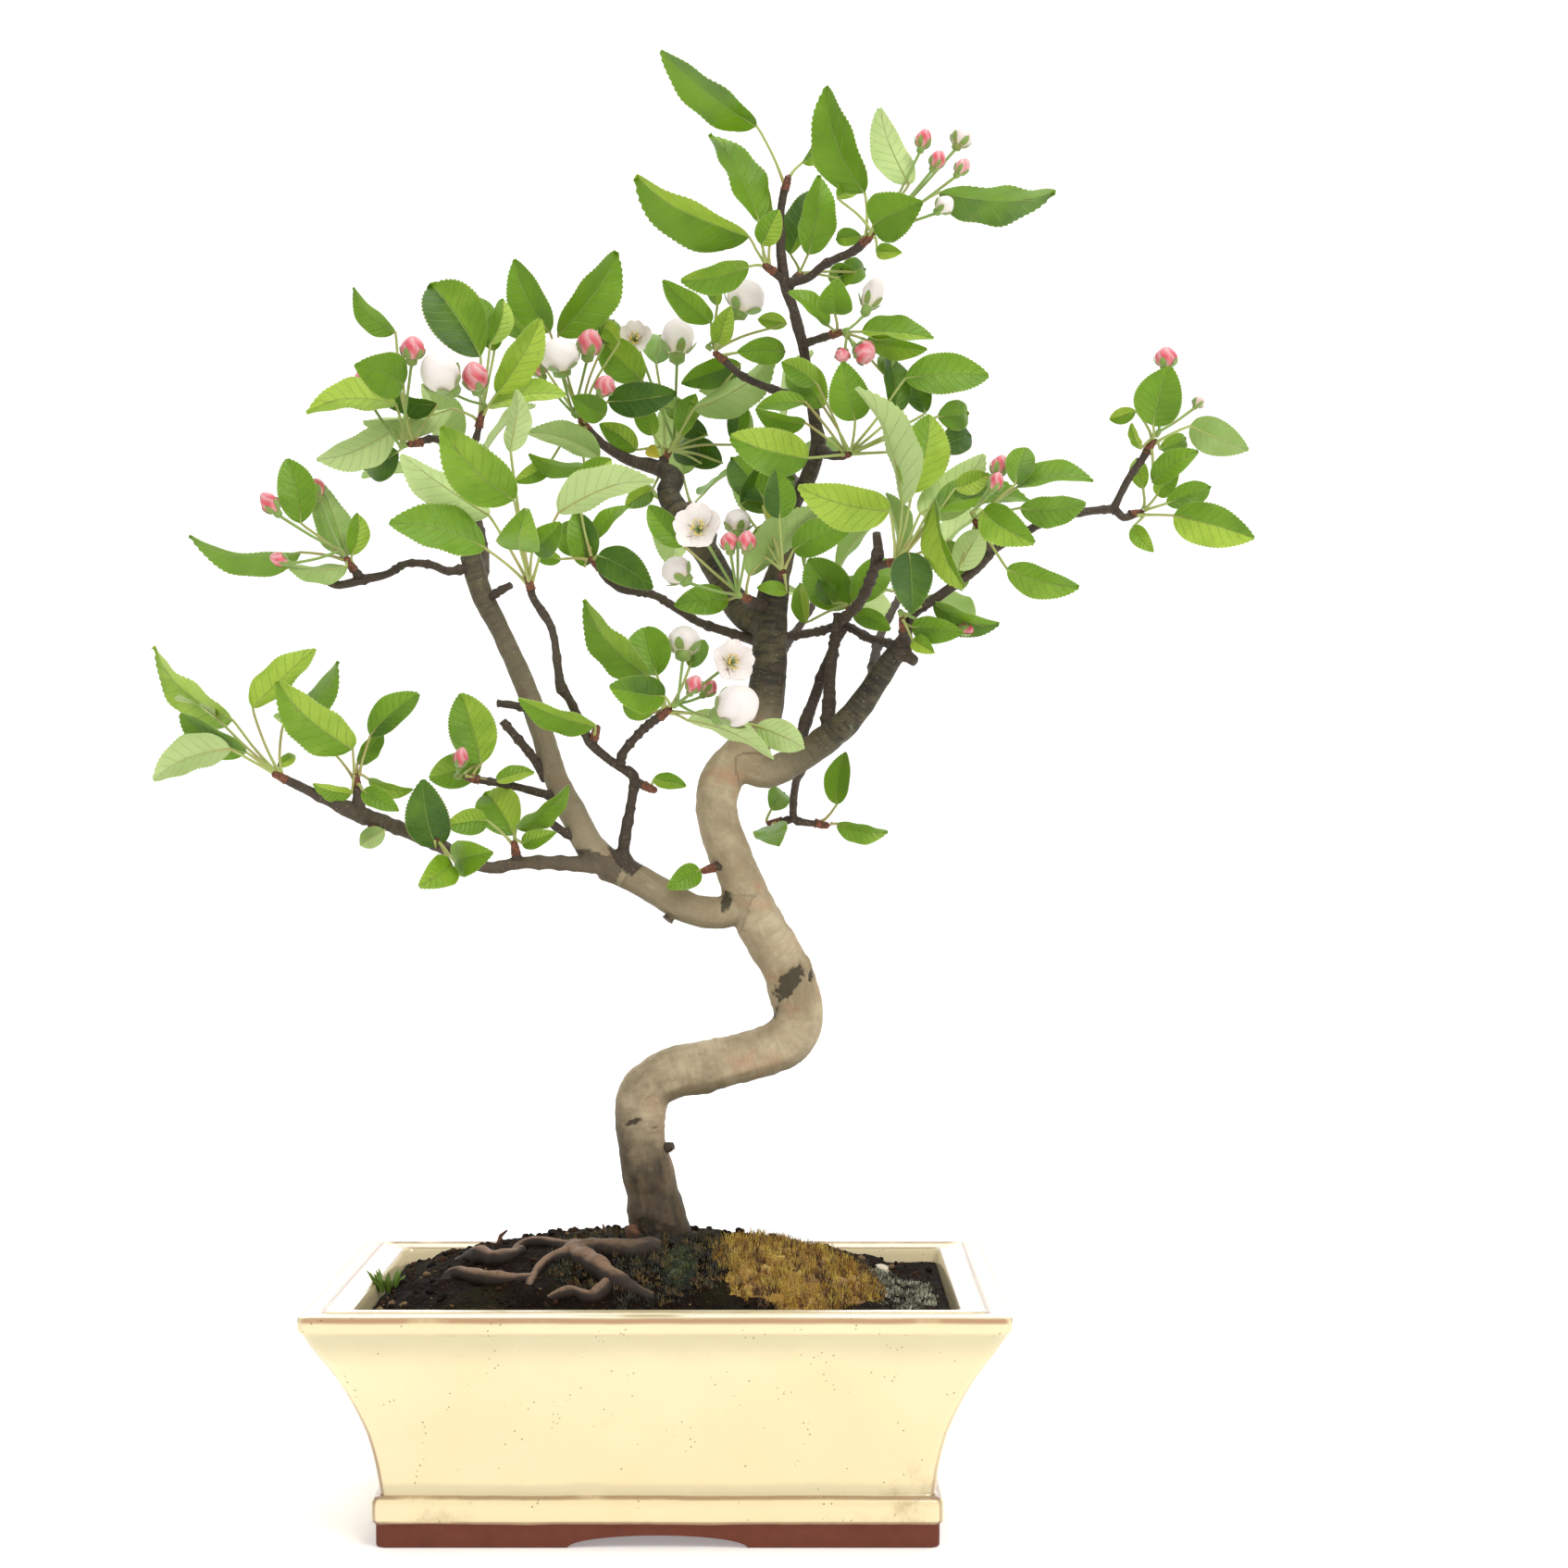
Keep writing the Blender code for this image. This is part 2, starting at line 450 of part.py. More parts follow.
def evaluated_copy(obj, name, collection, weld=0.0):
    """A plain mesh of what the object's curve or modifiers make, with its seams welded."""
    bpy.context.view_layer.update()
    graph = bpy.context.evaluated_depsgraph_get()
    mesh = bpy.data.meshes.new_from_object(obj.evaluated_get(graph))
    mesh.name = name
    if weld:
        bm = bmesh.new()
        bm.from_mesh(mesh)
        bmesh.ops.remove_doubles(bm, verts=bm.verts[:], dist=weld)
        bm.to_mesh(mesh)
        bm.free()
    made = bpy.data.objects.new(name, mesh)
    made.matrix_world = obj.matrix_world
    collection.objects.link(made)
    return made


def drop_scraps(mesh):
    """Removes the specks that a union leaves where three surfaces nearly meet."""
    bm = bmesh.new()
    bm.from_mesh(mesh)
    unseen = set(bm.verts)
    scraps = []
    while unseen:
        island = {unseen.pop()}
        edge = set(island)
        while edge:
            edge = {link.other_vert(vert) for vert in edge for link in vert.link_edges} - island
            island |= edge
        unseen -= island
        if len(island) < SCRAP:
            scraps += island
    bmesh.ops.delete(bm, geom=scraps, context="VERTS")
    bm.to_mesh(mesh)
    bm.free()


def fuse(name, pieces, collection):
    """One body from overlapping closed pieces."""
    body, others = pieces[0], pieces[1:]
    joined = new_collection(name + "_pieces")
    for piece in others:
        collection.objects.unlink(piece)
        joined.objects.link(piece)
    union = body.modifiers.new("Union", "BOOLEAN")
    union.operation = "UNION"
    union.operand_type = "COLLECTION"
    union.collection = joined
    union.solver = "MANIFOLD"
    made = evaluated_copy(body, name + "_body", collection)
    for piece in pieces:
        bpy.data.objects.remove(piece, do_unlink=True)
    bpy.data.collections.remove(joined)
    made.name = name
    drop_scraps(made.data)
    return made


def tube(name, points, diameters, sides_step, collection):
    """A closed tube along the points. sides_step 0 gives 4 sides, 1 gives 6, 3 gives 10."""
    curve = bpy.data.curves.new(name, "CURVE")
    curve.dimensions = "3D"
    curve.bevel_depth = 1.0
    curve.bevel_resolution = sides_step
    curve.use_fill_caps = True
    curve.twist_mode = "MINIMUM"
    spline = curve.splines.new("POLY")
    spline.points.add(len(points) - 1)
    for place, point, diameter in zip(spline.points, points, diameters):
        place.co = (*point, 1)
        place.radius = diameter / 2
    guide = bpy.data.objects.new(name + "_line", curve)
    collection.objects.link(guide)
    made = evaluated_copy(guide, name, collection, weld=0.02 * MM)
    bpy.data.objects.remove(guide, do_unlink=True)
    return made


def add_prism(bm, start, end, radius_start, radius_end, sides):
    """A straight tapered stem between two points."""
    run = end - start
    turn = run.to_track_quat("Z", "Y").to_matrix().to_4x4()
    bmesh.ops.create_cone(
        bm, cap_ends=True, segments=sides, radius1=radius_start, radius2=radius_end,
        depth=run.length, matrix=Matrix.Translation((start + end) / 2) @ turn,
    )


def stem(name, start, end, radius_start, radius_end, sides, collection):
    bm = bmesh.new()
    add_prism(bm, start, end, radius_start, radius_end, sides)
    bmesh.ops.triangulate(bm, faces=bm.faces[:])
    return mesh_object(name, bm, collection)


# Pot

def rounded_ring(half_length, half_depth, corner, z):
    """Points round a rectangle with rounded corners, three to a corner."""
    ring = []
    for sx, sy, start in ((1, 1, 0), (-1, 1, 90), (-1, -1, 180), (1, -1, 270)):
        for step in range(3):
            angle = math.radians(start + step * 45)
            ring.append(Vector((
                sx * (half_length - corner) + corner * math.cos(angle),
                sy * (half_depth - corner) + corner * math.sin(angle),
                z,
            )))
    return ring


def pot_profile():
    """(inset from the rim's edge, height, corner radius) up the outside and down the inside."""
    underside = [(35, 7, 3), (34, 0, 3)]
    outside = [
        (24.6, 0, 3), (24.6, 8.2, 3), (23.2, 10, 3.6), (23.6, 17.2, 3.5), (26, 18.5, 3),
        (24.5, 29, 3), (21.5, 41, 3), (17.5, 51, 3), (12, 62, 3), (5.5, 72, 3), (1.2, 79.4, 3.2),
        (0, 80.6, 3.4), (0, 85.3, 3.4), (0.5, 86, 3),
    ]
    inside = [(INNER_TOP[0] - INNER_ARRIS, 86, 4), INNER_TOP, INNER_LOW]
    return underside + outside + inside


def bridge_rings(bm, rings):
    """Walls through the rings in order; returns the vertices of each ring."""
    placed = [[bm.verts.new(point) for point in ring] for ring in rings]
    for first, second in zip(placed, placed[1:]):
        for i in range(len(first)):
            j = (i + 1) % len(first)
            bm.faces.new((first[i], first[j], second[j], second[i]))
    return placed


def make_pot(parts, cutters):
    rings = []
    for inset, height, corner in pot_profile():
        half_length = RIM_LENGTH / 2 - inset * MM
        half_depth = RIM_DEPTH / 2 - inset * MM
        rings.append(rounded_ring(half_length, half_depth, corner * MM, height * MM))
    bm = bmesh.new()
    placed = bridge_rings(bm, rings)
    bm.faces.new(placed[0])
    bm.faces.new(list(reversed(placed[-1])))
    pot = mesh_object("pot", bm, parts)

    for side in (-1, 1):
        bm = bmesh.new()
        bmesh.ops.create_cone(
            bm, cap_ends=True, segments=12, radius1=DRAIN_DIAMETER / 2, radius2=DRAIN_DIAMETER / 2,
            depth=30 * MM, matrix=Matrix.Translation((side * DRAIN_OFFSET, 0, FLOOR_TOP - 3 * MM)),
        )
        mesh_object("drain_cutter", bm, cutters)
    bm = bmesh.new()
    squash = Matrix.Diagonal((ARCH_WIDTH / 2, ARCH_HEIGHT, 1, 1))
    lie_down = Matrix.Rotation(math.radians(90), 4, "X")
    bmesh.ops.create_cone(
        bm, cap_ends=True, segments=16, radius1=1, radius2=1, depth=RIM_DEPTH * 1.2,
        matrix=lie_down @ squash,
    )
    mesh_object("arch_cutter", bm, cutters)
    cut = pot.modifiers.new("Cuts", "BOOLEAN")
    cut.operation = "DIFFERENCE"
    cut.operand_type = "COLLECTION"
    cut.collection = cutters
    cut.solver = "EXACT"
    body = evaluated_copy(pot, "pot_body", parts)
    bpy.data.objects.remove(pot, do_unlink=True)
    body.name = "pot"
    return body


def make_net(name, x, parts):
    """A square of plastic net over a drain hole, open in the middle."""
    bm = bmesh.new()
    half = NET_SIDE / 2
    bmesh.ops.create_grid(bm, x_segments=3, y_segments=3, size=half)
    middle = [face for face in bm.faces if face.calc_center_median().length < 1 * MM]
    bmesh.ops.delete(bm, geom=middle, context="FACES_ONLY")
    made = bmesh.ops.extrude_face_region(bm, geom=bm.faces[:], use_keep_orig=True)
    up = [item for item in made["geom"] if isinstance(item, bmesh.types.BMVert)]
    bmesh.ops.translate(bm, verts=up, vec=(0, 0, NET_THICKNESS))
    bmesh.ops.translate(bm, verts=bm.verts[:], vec=(x, 0, FLOOR_TOP + GAP))
    return mesh_object(name, bm, parts)


# Soil and moss

def inner_half(height):
    """The pot's inner half length and half depth at a height."""
    share = (height / MM - INNER_LOW[1]) / (INNER_TOP[1] - INNER_LOW[1])
    inset = (INNER_LOW[0] + share * (INNER_TOP[0] - INNER_LOW[0])) * MM
    return RIM_LENGTH / 2 - inset, RIM_DEPTH / 2 - inset


def soil_height(x, y):
    """The soil's surface: a mound round the trunk, with low lumps."""
    across = max(0.0, 1 - ((x - MOUND_MIDDLE[0]) / MOUND_REACH[0]) ** 2)
    along = max(0.0, 1 - ((y - MOUND_MIDDLE[1]) / MOUND_REACH[1]) ** 2)
    lumps = math.sin(x * 210 + 1.3) * math.sin(y * 260 + 0.4) + 0.6 * math.sin(x * 390 + y * 310)
    return SOIL_EDGE + MOUND * (across * along) ** MOUND_FALL + LUMPS * lumps


def soil_point(column, row):
    """A corner of the soil's surface grid."""
    half_length, half_depth = inner_half(SOIL_EDGE)
    half_length -= GAP
    half_depth -= GAP
    x = -half_length + 2 * half_length * column / SOIL_COLUMNS
    y = -half_depth + 2 * half_depth * row / SOIL_ROWS
    at_corner = column in (0, SOIL_COLUMNS) and row in (0, SOIL_ROWS)
    if at_corner:
        x -= math.copysign(1.6 * MM, x)
        y -= math.copysign(1.6 * MM, y)
    on_edge = column in (0, SOIL_COLUMNS) or row in (0, SOIL_ROWS)
    return Vector((x, y, SOIL_EDGE if on_edge else soil_height(x, y)))


def grid_faces(columns, rows, wanted=None):
    """Triangles of a grid as index triples, split alike everywhere."""
    for column in range(columns):
        for row in range(rows):
            if wanted and not wanted(column, row):
                continue
            a, b = (column, row), (column + 1, row)
            c, d = (column + 1, row + 1), (column, row + 1)
            yield a, b, c
            yield a, c, d


def make_soil(parts, cutters):
    bm = bmesh.new()
    top = {}
    for column in range(SOIL_COLUMNS + 1):
        for row in range(SOIL_ROWS + 1):
            top[column, row] = bm.verts.new(soil_point(column, row))
    for triple in grid_faces(SOIL_COLUMNS, SOIL_ROWS):
        bm.faces.new([top[key] for key in triple])
    rim = [edge for edge in bm.edges if edge.is_boundary]
    made = bmesh.ops.extrude_edge_only(bm, edges=rim)
    low = [item for item in made["geom"] if isinstance(item, bmesh.types.BMVert)]
    rim = [item for item in made["geom"] if isinstance(item, bmesh.types.BMEdge)]
    was, now = inner_half(SOIL_EDGE), inner_half(SOIL_BOTTOM)
    for vert in low:
        vert.co.x *= (now[0] - GAP) / (was[0] - GAP)
        vert.co.y *= (now[1] - GAP) / (was[1] - GAP)
        vert.co.z = SOIL_BOTTOM
        if abs(vert.co.x) > now[0] - 4 * MM and abs(vert.co.y) > now[1] - 4 * MM:
            vert.co.x -= math.copysign(0.8 * MM, vert.co.x)
            vert.co.y -= math.copysign(0.8 * MM, vert.co.y)
    bmesh.ops.edgeloop_fill(bm, edges=rim)
    soil = mesh_object("soil", bm, parts)
    cut = soil.modifiers.new("Cuts", "BOOLEAN")
    cut.operation = "DIFFERENCE"
    cut.operand_type = "COLLECTION"
    cut.collection = cutters
    cut.solver = "EXACT"
    body = evaluated_copy(soil, "soil_body", parts)
    bpy.data.objects.remove(soil, do_unlink=True)
    body.name = "soil"
    return body


def make_moss(name, parts):
    """A cushion on the soil, over the grid cells inside an ellipse."""
    middle, spread, thickness = CUSHIONS[name]

    def wanted(column, row):
        corners = [soil_point(column + i, row + j) for i in (0, 1) for j in (0, 1)]
        centre = sum(corners, Vector()) / 4
        dx = (centre.x - middle[0]) / spread[0]
        dy = (centre.y - middle[1]) / spread[1]
        return dx * dx + dy * dy < 1

    bm = bmesh.new()
    upper, lower = {}, {}
    for triple in grid_faces(SOIL_COLUMNS, SOIL_ROWS, wanted):
        for key in triple:
            if key in upper:
                continue
            base = soil_point(*key) + Vector((0, 0, GAP))
            dx = (base.x - middle[0]) / spread[0]
            dy = (base.y - middle[1]) / spread[1]
            dome = max(0.0, 1 - 0.8 * (dx * dx + dy * dy))
            lumps = 0.75 + 0.25 * math.sin(base.x * 620) * math.sin(base.y * 540)
            lower[key] = bm.verts.new(base)
            upper[key] = bm.verts.new(base + Vector((0, 0, 0.9 * MM + thickness * dome * lumps)))
        bm.faces.new([upper[key] for key in triple])
        bm.faces.new([lower[key] for key in reversed(triple)])
    edge_faces = []
    for edge in [e for e in bm.edges if e.is_boundary]:
        first, second = edge.verts
        for key, vert in upper.items():
            if vert == first:
                key_first = key
            if vert == second:
                key_second = key
        if first in upper.values() and second in upper.values():
            edge_faces.append((first, second, lower[key_second], lower[key_first]))
    for face in edge_faces:
        bm.faces.new(face)
    bmesh.ops.triangulate(bm, faces=bm.faces[:])
    return mesh_object(name, bm, parts)


# Wood

def on_soil(u, v, lift):
    """Where the view through pixel (u, v) meets the soil, raised by lift."""
    for step in range(141):
        depth = -66 + step
        point = seen(u, v, depth)
        if point.z <= soil_height(point.x, point.y) + lift:
            return point
    return point


def wood_route(name):
    return [seen(u, v, depth) for u, v, depth, width in WOOD[name]]


def wood_tubes(collection):
    """Every stretch of wood as a closed tube."""
    made = []
    for name, rows in WOOD.items():
        thickest = rows[0][3]
        sides_step = 2 if thickest > 15 else 1 if thickest > 6.2 else 0
        widths = [row[3] * MM for row in rows]
        made.append(tube(name, wood_route(name), widths, sides_step, collection))
    return made + root_tubes(0, collection)


def root_tubes(extra, collection):
    """The roots on the soil, thicker by extra."""
    made = []
    for name, rows in ROOTS.items():
        points = [on_soil(u, v, 0.12 * width * MM) for u, v, width in rows]
        if name == "root_1":
            points[0] = seen(*ROOT_START)
        points[-1] = points[-1] - Vector((0, 0, 3 * MM))
        if extra:
            points[0] += (points[0] - points[1]).normalized() * 2 * MM
            points[-1] += (points[-1] - points[-2]).normalized() * 2 * MM
        widths = [width * MM + extra for u, v, width in rows]
        made.append(tube(name, points, widths, 1 if rows[0][2] > 5.5 else 0, collection))
    return made


# Leaves

# Half-width of a blade along its length, from its base to its tip.
LONG_OUTLINE = [(0, 0), (0.2, 0.72), (0.46, 1), (0.76, 0.68), (1, 0)]
SHORT_OUTLINE = [(0, 0), (0.3, 0.92), (0.68, 0.84), (1, 0)]
LONG_LEAF = 43 * MM
ARCH = 0.06
FOLD = 0.28
RIPPLE = 0.5 * MM
BEND_LIMIT = 0.25  # cosine of the sharpest bend between petiole and blade in one sheet
STALK_REACH = 0.08  # how far along the blade a separate petiole runs into it
BLADE_FOOT = -0.03  # a stub of petiole, for looking at a blade alone


class Frame:
    """Where a blade lies: its base, tip, face direction and true width."""

    def __init__(self, base, tip, width, turn):
        self.base, self.tip, self.width = base, tip, width
        self.length = (tip - base).length
        self.axis = (tip - base).normalized()
        towards = (EYE - (base + tip) / 2).normalized()
        facing = (towards - towards.dot(self.axis) * self.axis).normalized()
        across = self.axis.cross(facing)
        self.face = (math.cos(turn) * facing + math.sin(turn) * across).normalized()
        self.across = self.axis.cross(self.face)

    def point(self, along, aside, rise):
        spine = self.base + self.axis * self.length * along
        return spine + self.across * aside * self.width / 2 + self.face * rise


def sheet_bmesh(rows, thickness):
    """A closed sheet, bent alike on both sides, through rows of middle, across, face, half width,
    edge rise and whether the row has a point on the rib."""
    bm = bmesh.new()
    bmesh.ops.create_grid(bm, x_segments=2, y_segments=len(rows) - 1, size=1)
    lifts = {}
    for vert in bm.verts:
        aside = round(vert.co.x)
        middle, across, face, half, rise, ribbed = rows[round((vert.co.y + 1) / 2 * (len(rows) - 1))]
        if aside == 0 and not ribbed:
            aside = -1
        vert.co = middle + across * aside * half + face * (abs(aside) * rise - thickness / 2)
        lifts[tuple(round(c, 7) for c in vert.co)] = face * thickness
    bmesh.ops.remove_doubles(bm, verts=bm.verts[:], dist=0.01 * MM)
    bmesh.ops.triangulate(bm, faces=bm.faces[:])
    made = bmesh.ops.extrude_face_region(bm, geom=bm.faces[:], use_keep_orig=True)
    for item in made["geom"]:
        if isinstance(item, bmesh.types.BMVert):
            item.co += lifts[tuple(round(c, 7) for c in item.co)]
    bmesh.ops.recalc_face_normals(bm, faces=bm.faces[:])
    return bm


def leaf_bmeshes(frame, foot, extra=0.0):
    """A folded, arched and waved blade with its petiole, thicker by extra. The petiole is part of
    the same sheet, or a stalk of its own where it bends back under the blade."""
    outline = LONG_OUTLINE if frame.length > LONG_LEAF else SHORT_OUTLINE
    half = (PETIOLE + extra) / 2
    rows = []
    for number, (along, wide) in enumerate(outline):
        middle = frame.point(along, 0, 4 * along * (1 - along) * ARCH * frame.length)
        wave = RIPPLE if number % 2 else -RIPPLE
        rise = wide * (FOLD * frame.width / 2 + wave)
        reach = wide * frame.width / 2 + extra / 2 if wide else half
        rows.append((middle, frame.across, frame.face, reach, rise, wide > 0))
    rows[-1] = (frame.tip, frame.across, frame.face, 0, 0, True)
    run = (frame.base - foot).normalized()
    if run.dot(frame.axis) > BEND_LIMIT:
        aside = frame.across - frame.across.dot(run) * run
        if aside.length > 0.4:
            across = aside.normalized()
            face = across.cross(run)
        else:
            face = (frame.face - frame.face.dot(run) * run).normalized()
            across = run.cross(face)
        rows.insert(0, (foot, across, face, half, 0, False))
        return [sheet_bmesh(rows, BLADE_THICKNESS + extra)]
    stalk = bmesh.new()
    add_prism(stalk, foot, frame.point(STALK_REACH, 0, 0), half, half, 3)
    bmesh.ops.triangulate(stalk, faces=stalk.faces[:])
    return [sheet_bmesh(rows, BLADE_THICKNESS + extra), stalk]


def tree_of(bmeshes):
    """A search tree of all their triangles; the meshes are freed."""
    points, triangles = [], []
    for bm in bmeshes:
        bmesh.ops.triangulate(bm, faces=bm.faces[:])
        first = len(points)
        points += [vert.co.copy() for vert in bm.verts]
        triangles += [[first + vert.index for vert in face.verts] for face in bm.faces]
        bm.free()
    return BVHTree.FromPolygons(points, triangles)


def spur_end(name):
    """The end of a twig and the way it points."""
    route = wood_route(name)
    return route[-1], (route[-1] - route[-2]).normalized()


def leaf_foot(spur, target, share):
    """Where a petiole leaves the spur: this share of the way along it, on the side facing the blade."""
    end, way = spur
    middle = end + way * (GAP + SPUR_LENGTH * (0.22 + 0.6 * share))
    aim = target - middle
    sideways = aim - aim.dot(way) * way
    if sideways.length < 1e-6:
        return middle
    return middle + sideways.normalized() * SPUR_DIAMETER * 0.24


# Tries for a leaf that would touch its neighbours: how much deeper, in mm, its tip and base go.
SHIFTS = sorted(
    [(tip, base) for tip in range(-35, 36, 7) for base in (-15, -10, -5, 0, 5, 10, 15)],
    key=lambda shift: (abs(shift[0]) + 1.5 * abs(shift[1]), shift),
)


def leaf_frames(row, spur_depth, number):
    """The places a leaf may take, best first, all alike in the front view."""
    base_u, base_v, tip_u, tip_v, seen_width, lean, side = row
    flat_base, flat_tip = seen(base_u, base_v, 0), seen(tip_u, tip_v, 0)
    shown = (flat_tip - flat_base).length
    width = seen_width * MM
    full = max(shown, LENGTH_TO_WIDTH * width)
    slant = lean * math.sqrt(max(0.0, (1.12 * full) ** 2 - shown ** 2))
    true_width = max(width, full / LENGTH_TO_WIDTH)
    turn = math.acos(min(1.0, width / true_width)) * (1 if number % 2 else -1)
    if side < 0:
        turn = math.pi - turn
    for tip_shift, base_shift in SHIFTS:
        base_depth = spur_depth + slant / MM * 0.35 + base_shift
        tip_depth = base_depth + slant / MM + tip_shift
        base = seen(base_u, base_v, base_depth)
        tip = seen(tip_u, tip_v, tip_depth)
        yield Frame(base, tip, true_width, turn)


def back_leaf_frames(spur, number, count, first_angle):
    """The places for a leaf on a twig behind the tree: a fan round the twig's end."""
    end, way = spur
    helper = way.orthogonal().normalized()
    for extra in (0, 18, -18, 36, -36, 54):
        angle = math.radians(first_angle + 360 * number / count + extra)
        out = Matrix.Rotation(angle, 3, way) @ helper
        aim = (way * 0.45 + out * 0.9 + Vector((0, 0.25, 0.15))).normalized()
        base = end + way * 6 * MM + aim * 12 * MM
        tip = base + aim * BACK_LEAF_LENGTH * (0.85 + 0.15 * math.sin(number * 2.1))
        frame = Frame(base, tip, BACK_LEAF_WIDTH, 0)
        up = Vector((0, 0, 1)) + way * 0.6
        frame.face = (up - up.dot(frame.axis) * frame.axis).normalized()
        frame.across = frame.axis.cross(frame.face)
        yield frame


def place_leaf(frames, spur, share, obstacles, blades):
    """The first place where the leaf is clear of everything else and, if there is one, of its own
    spray's blades too; or None."""
    fallback = None
    for frame in frames:
        foot = leaf_foot(spur, frame.base, share)
        tree = tree_of(leaf_bmeshes(frame, foot, 2 * CLEAR))
        if any(tree.overlap(other) for other in obstacles):
            continue
        blade = tree_of(leaf_bmeshes(frame, frame.point(BLADE_FOOT, 0, 0), CLEAR)[:1])
        if not any(blade.overlap(other) for other in blades):
            blades.append(blade)
            return frame, foot
        fallback = fallback or (frame, foot, blade)
    if fallback is None:
        return None
    blades.append(fallback[2])
    return fallback[:2]


# Flowers

PETAL = [(0, 0.24), (0.62, 1), (1, 0.5)]
PETAL_THICKNESS = 0.9 * MM
BUD = [(-0.44, 0.5), (-0.02, 1), (0.5, 0.34)]  # height, width
BALL = [(-0.44, 0.5), (-0.04, 1), (0.3, 0.8), (0.52, 0.24)]


def open_pieces(name, middle, facing, up, size, collection):
    """A blossom: five cupped petals round a small heart of stamens."""
    pieces = []
    side = facing.cross(up).normalized()
    lift = side.cross(facing).normalized()
    for petal in range(5):
        angle = math.radians(72 * petal + 18)
        out = math.cos(angle) * side + math.sin(angle) * lift
        base = middle + out * 0.9 * MM
        run = (out * 0.86 + facing * 0.42).normalized()
        across = facing.cross(run).normalized()
        face = run.cross(across).normalized()
        if face.dot(facing) < 0:
            face = -face
        rows = []
        for along, wide in PETAL:
            spine = base + run * along * size * 0.52 + face * 0.08 * size * along * along
            rows.append((spine, across, face, wide * size * 0.19, wide * 0.05 * size, along > 0))
        sheet = sheet_bmesh(rows, PETAL_THICKNESS)
        pieces.append(mesh_object(f"{name}_petal_{petal}", sheet, collection))
    foot, top = middle - facing * 2.3 * MM, middle + facing * 3.9 * MM
    pieces.append(stem(name + "_heart", foot, top, 2.1 * MM, 1.6 * MM, 6, collection))
    return pieces


def flower_pieces(name, knob, row, spur_depth, shift, collection):
    """Stalk, calyx and petals of one flower; a closed one is a single swelling stem."""
    u, v, height, width, depth, kind = row
    middle = seen(u, v, spur_depth + depth + shift)
    rise = (middle - knob).normalized()
    height *= MM
    width *= MM
    if kind == "open":
        facing = ((EYE - middle).normalized() + rise * 0.5).normalized()
        heart = middle - facing * 1.5 * MM
        pieces = open_pieces(name, heart, facing, Vector((0, 0, 1)), width, collection)
        neck = middle - facing * 3.2 * MM
        pieces.append(stem(name + "_stalk", knob, neck, PEDICEL / 2, PEDICEL / 2, 4, collection))
        return pieces
    up = (rise + Vector((0, 0, 0.5))).normalized()
    points = [knob, middle - up * height * 0.66]
    widths = [PEDICEL, PEDICEL]
    for level, wide in BALL if kind == "ball" else BUD:
        points.append(middle + up * level * height)
        widths.append(wide * width)
    return [tube(name, points, widths, 1 if kind == "ball" or width > 8 * MM else 0, collection)]


def tree_of_objects(pieces):
    bm = bmesh.new()
    for piece in pieces:
        bm.from_mesh(piece.data)
    bm.verts.index_update()
    return tree_of([bm])


def spur_stub(name, twig, collection):
    """The tip of a twig that a spray's leaves grow from."""
    end, way = spur_end(twig)
    start = end + way * GAP
    tip = start + way * SPUR_LENGTH
    return stem(name + "_spur", start, tip, SPUR_DIAMETER / 2, SPUR_DIAMETER * 0.4, 4, collection)


def make_flowers(parts, stubs, obstacles):
    """Each bunch of flowers is one body, its stalks meeting in a knob on the spur."""
    stub_trees = [tree_of_objects([stub]) for stub in stubs.values()]
    for name, (twig, rows) in FLOWERS.items():
        end, way = spur_end(twig)
        knob_start = end + way * (2 * GAP + SPUR_LENGTH)
        knob = knob_start + way * 1.2 * MM
        pieces = [stem(name + "_knob", knob_start, knob + way * 0.6 * MM, 0.9 * MM, 0.8 * MM, 4, parts)]
        spur_depth = WOOD[twig][-1][2]
        for number, row in enumerate(rows):
            for shift in (0, -6, 6, -12, 12, -18, 18):
                tried = flower_pieces(f"{name}_{number}", knob, row, spur_depth, shift, parts)
                tree = tree_of_objects(tried)
                if not any(tree.overlap(other) for other in obstacles + stub_trees):
                    pieces += tried
                    break
                for piece in tried:
                    bpy.data.objects.remove(piece, do_unlink=True)
            else:
                print("no room for", name, number)
        obstacles.append(tree_of_objects(pieces))
        yield fuse(name, pieces, parts)


def make_spray(name, twig, places, stubs, parts, obstacles):
    """The leaves on one spur, with the spur's own tip, as one body."""
    end, way = spur_end(twig)
    stub = stubs.pop(name)
    others = obstacles + [tree_of_objects([other]) for other in stubs.values()]
    pieces = [stub]
    blades = []
    firsts = [next(iter(frames)) for frames in places]
    forward = [(first.base - end).normalized().dot(way) for first in firsts]
    for number, frames in enumerate(places):
        share = sum(other < forward[number] for other in forward) / max(1, len(places) - 1)
        placed = place_leaf(frames, (end, way), share, others, blades)
        if placed is None:
            print("no room for", name, number)
            continue
        for bm in leaf_bmeshes(*placed):
            pieces.append(mesh_object(f"{name}_{number}", bm, parts))
    obstacles.append(tree_of_objects(pieces))
    return fuse(name, pieces, parts)


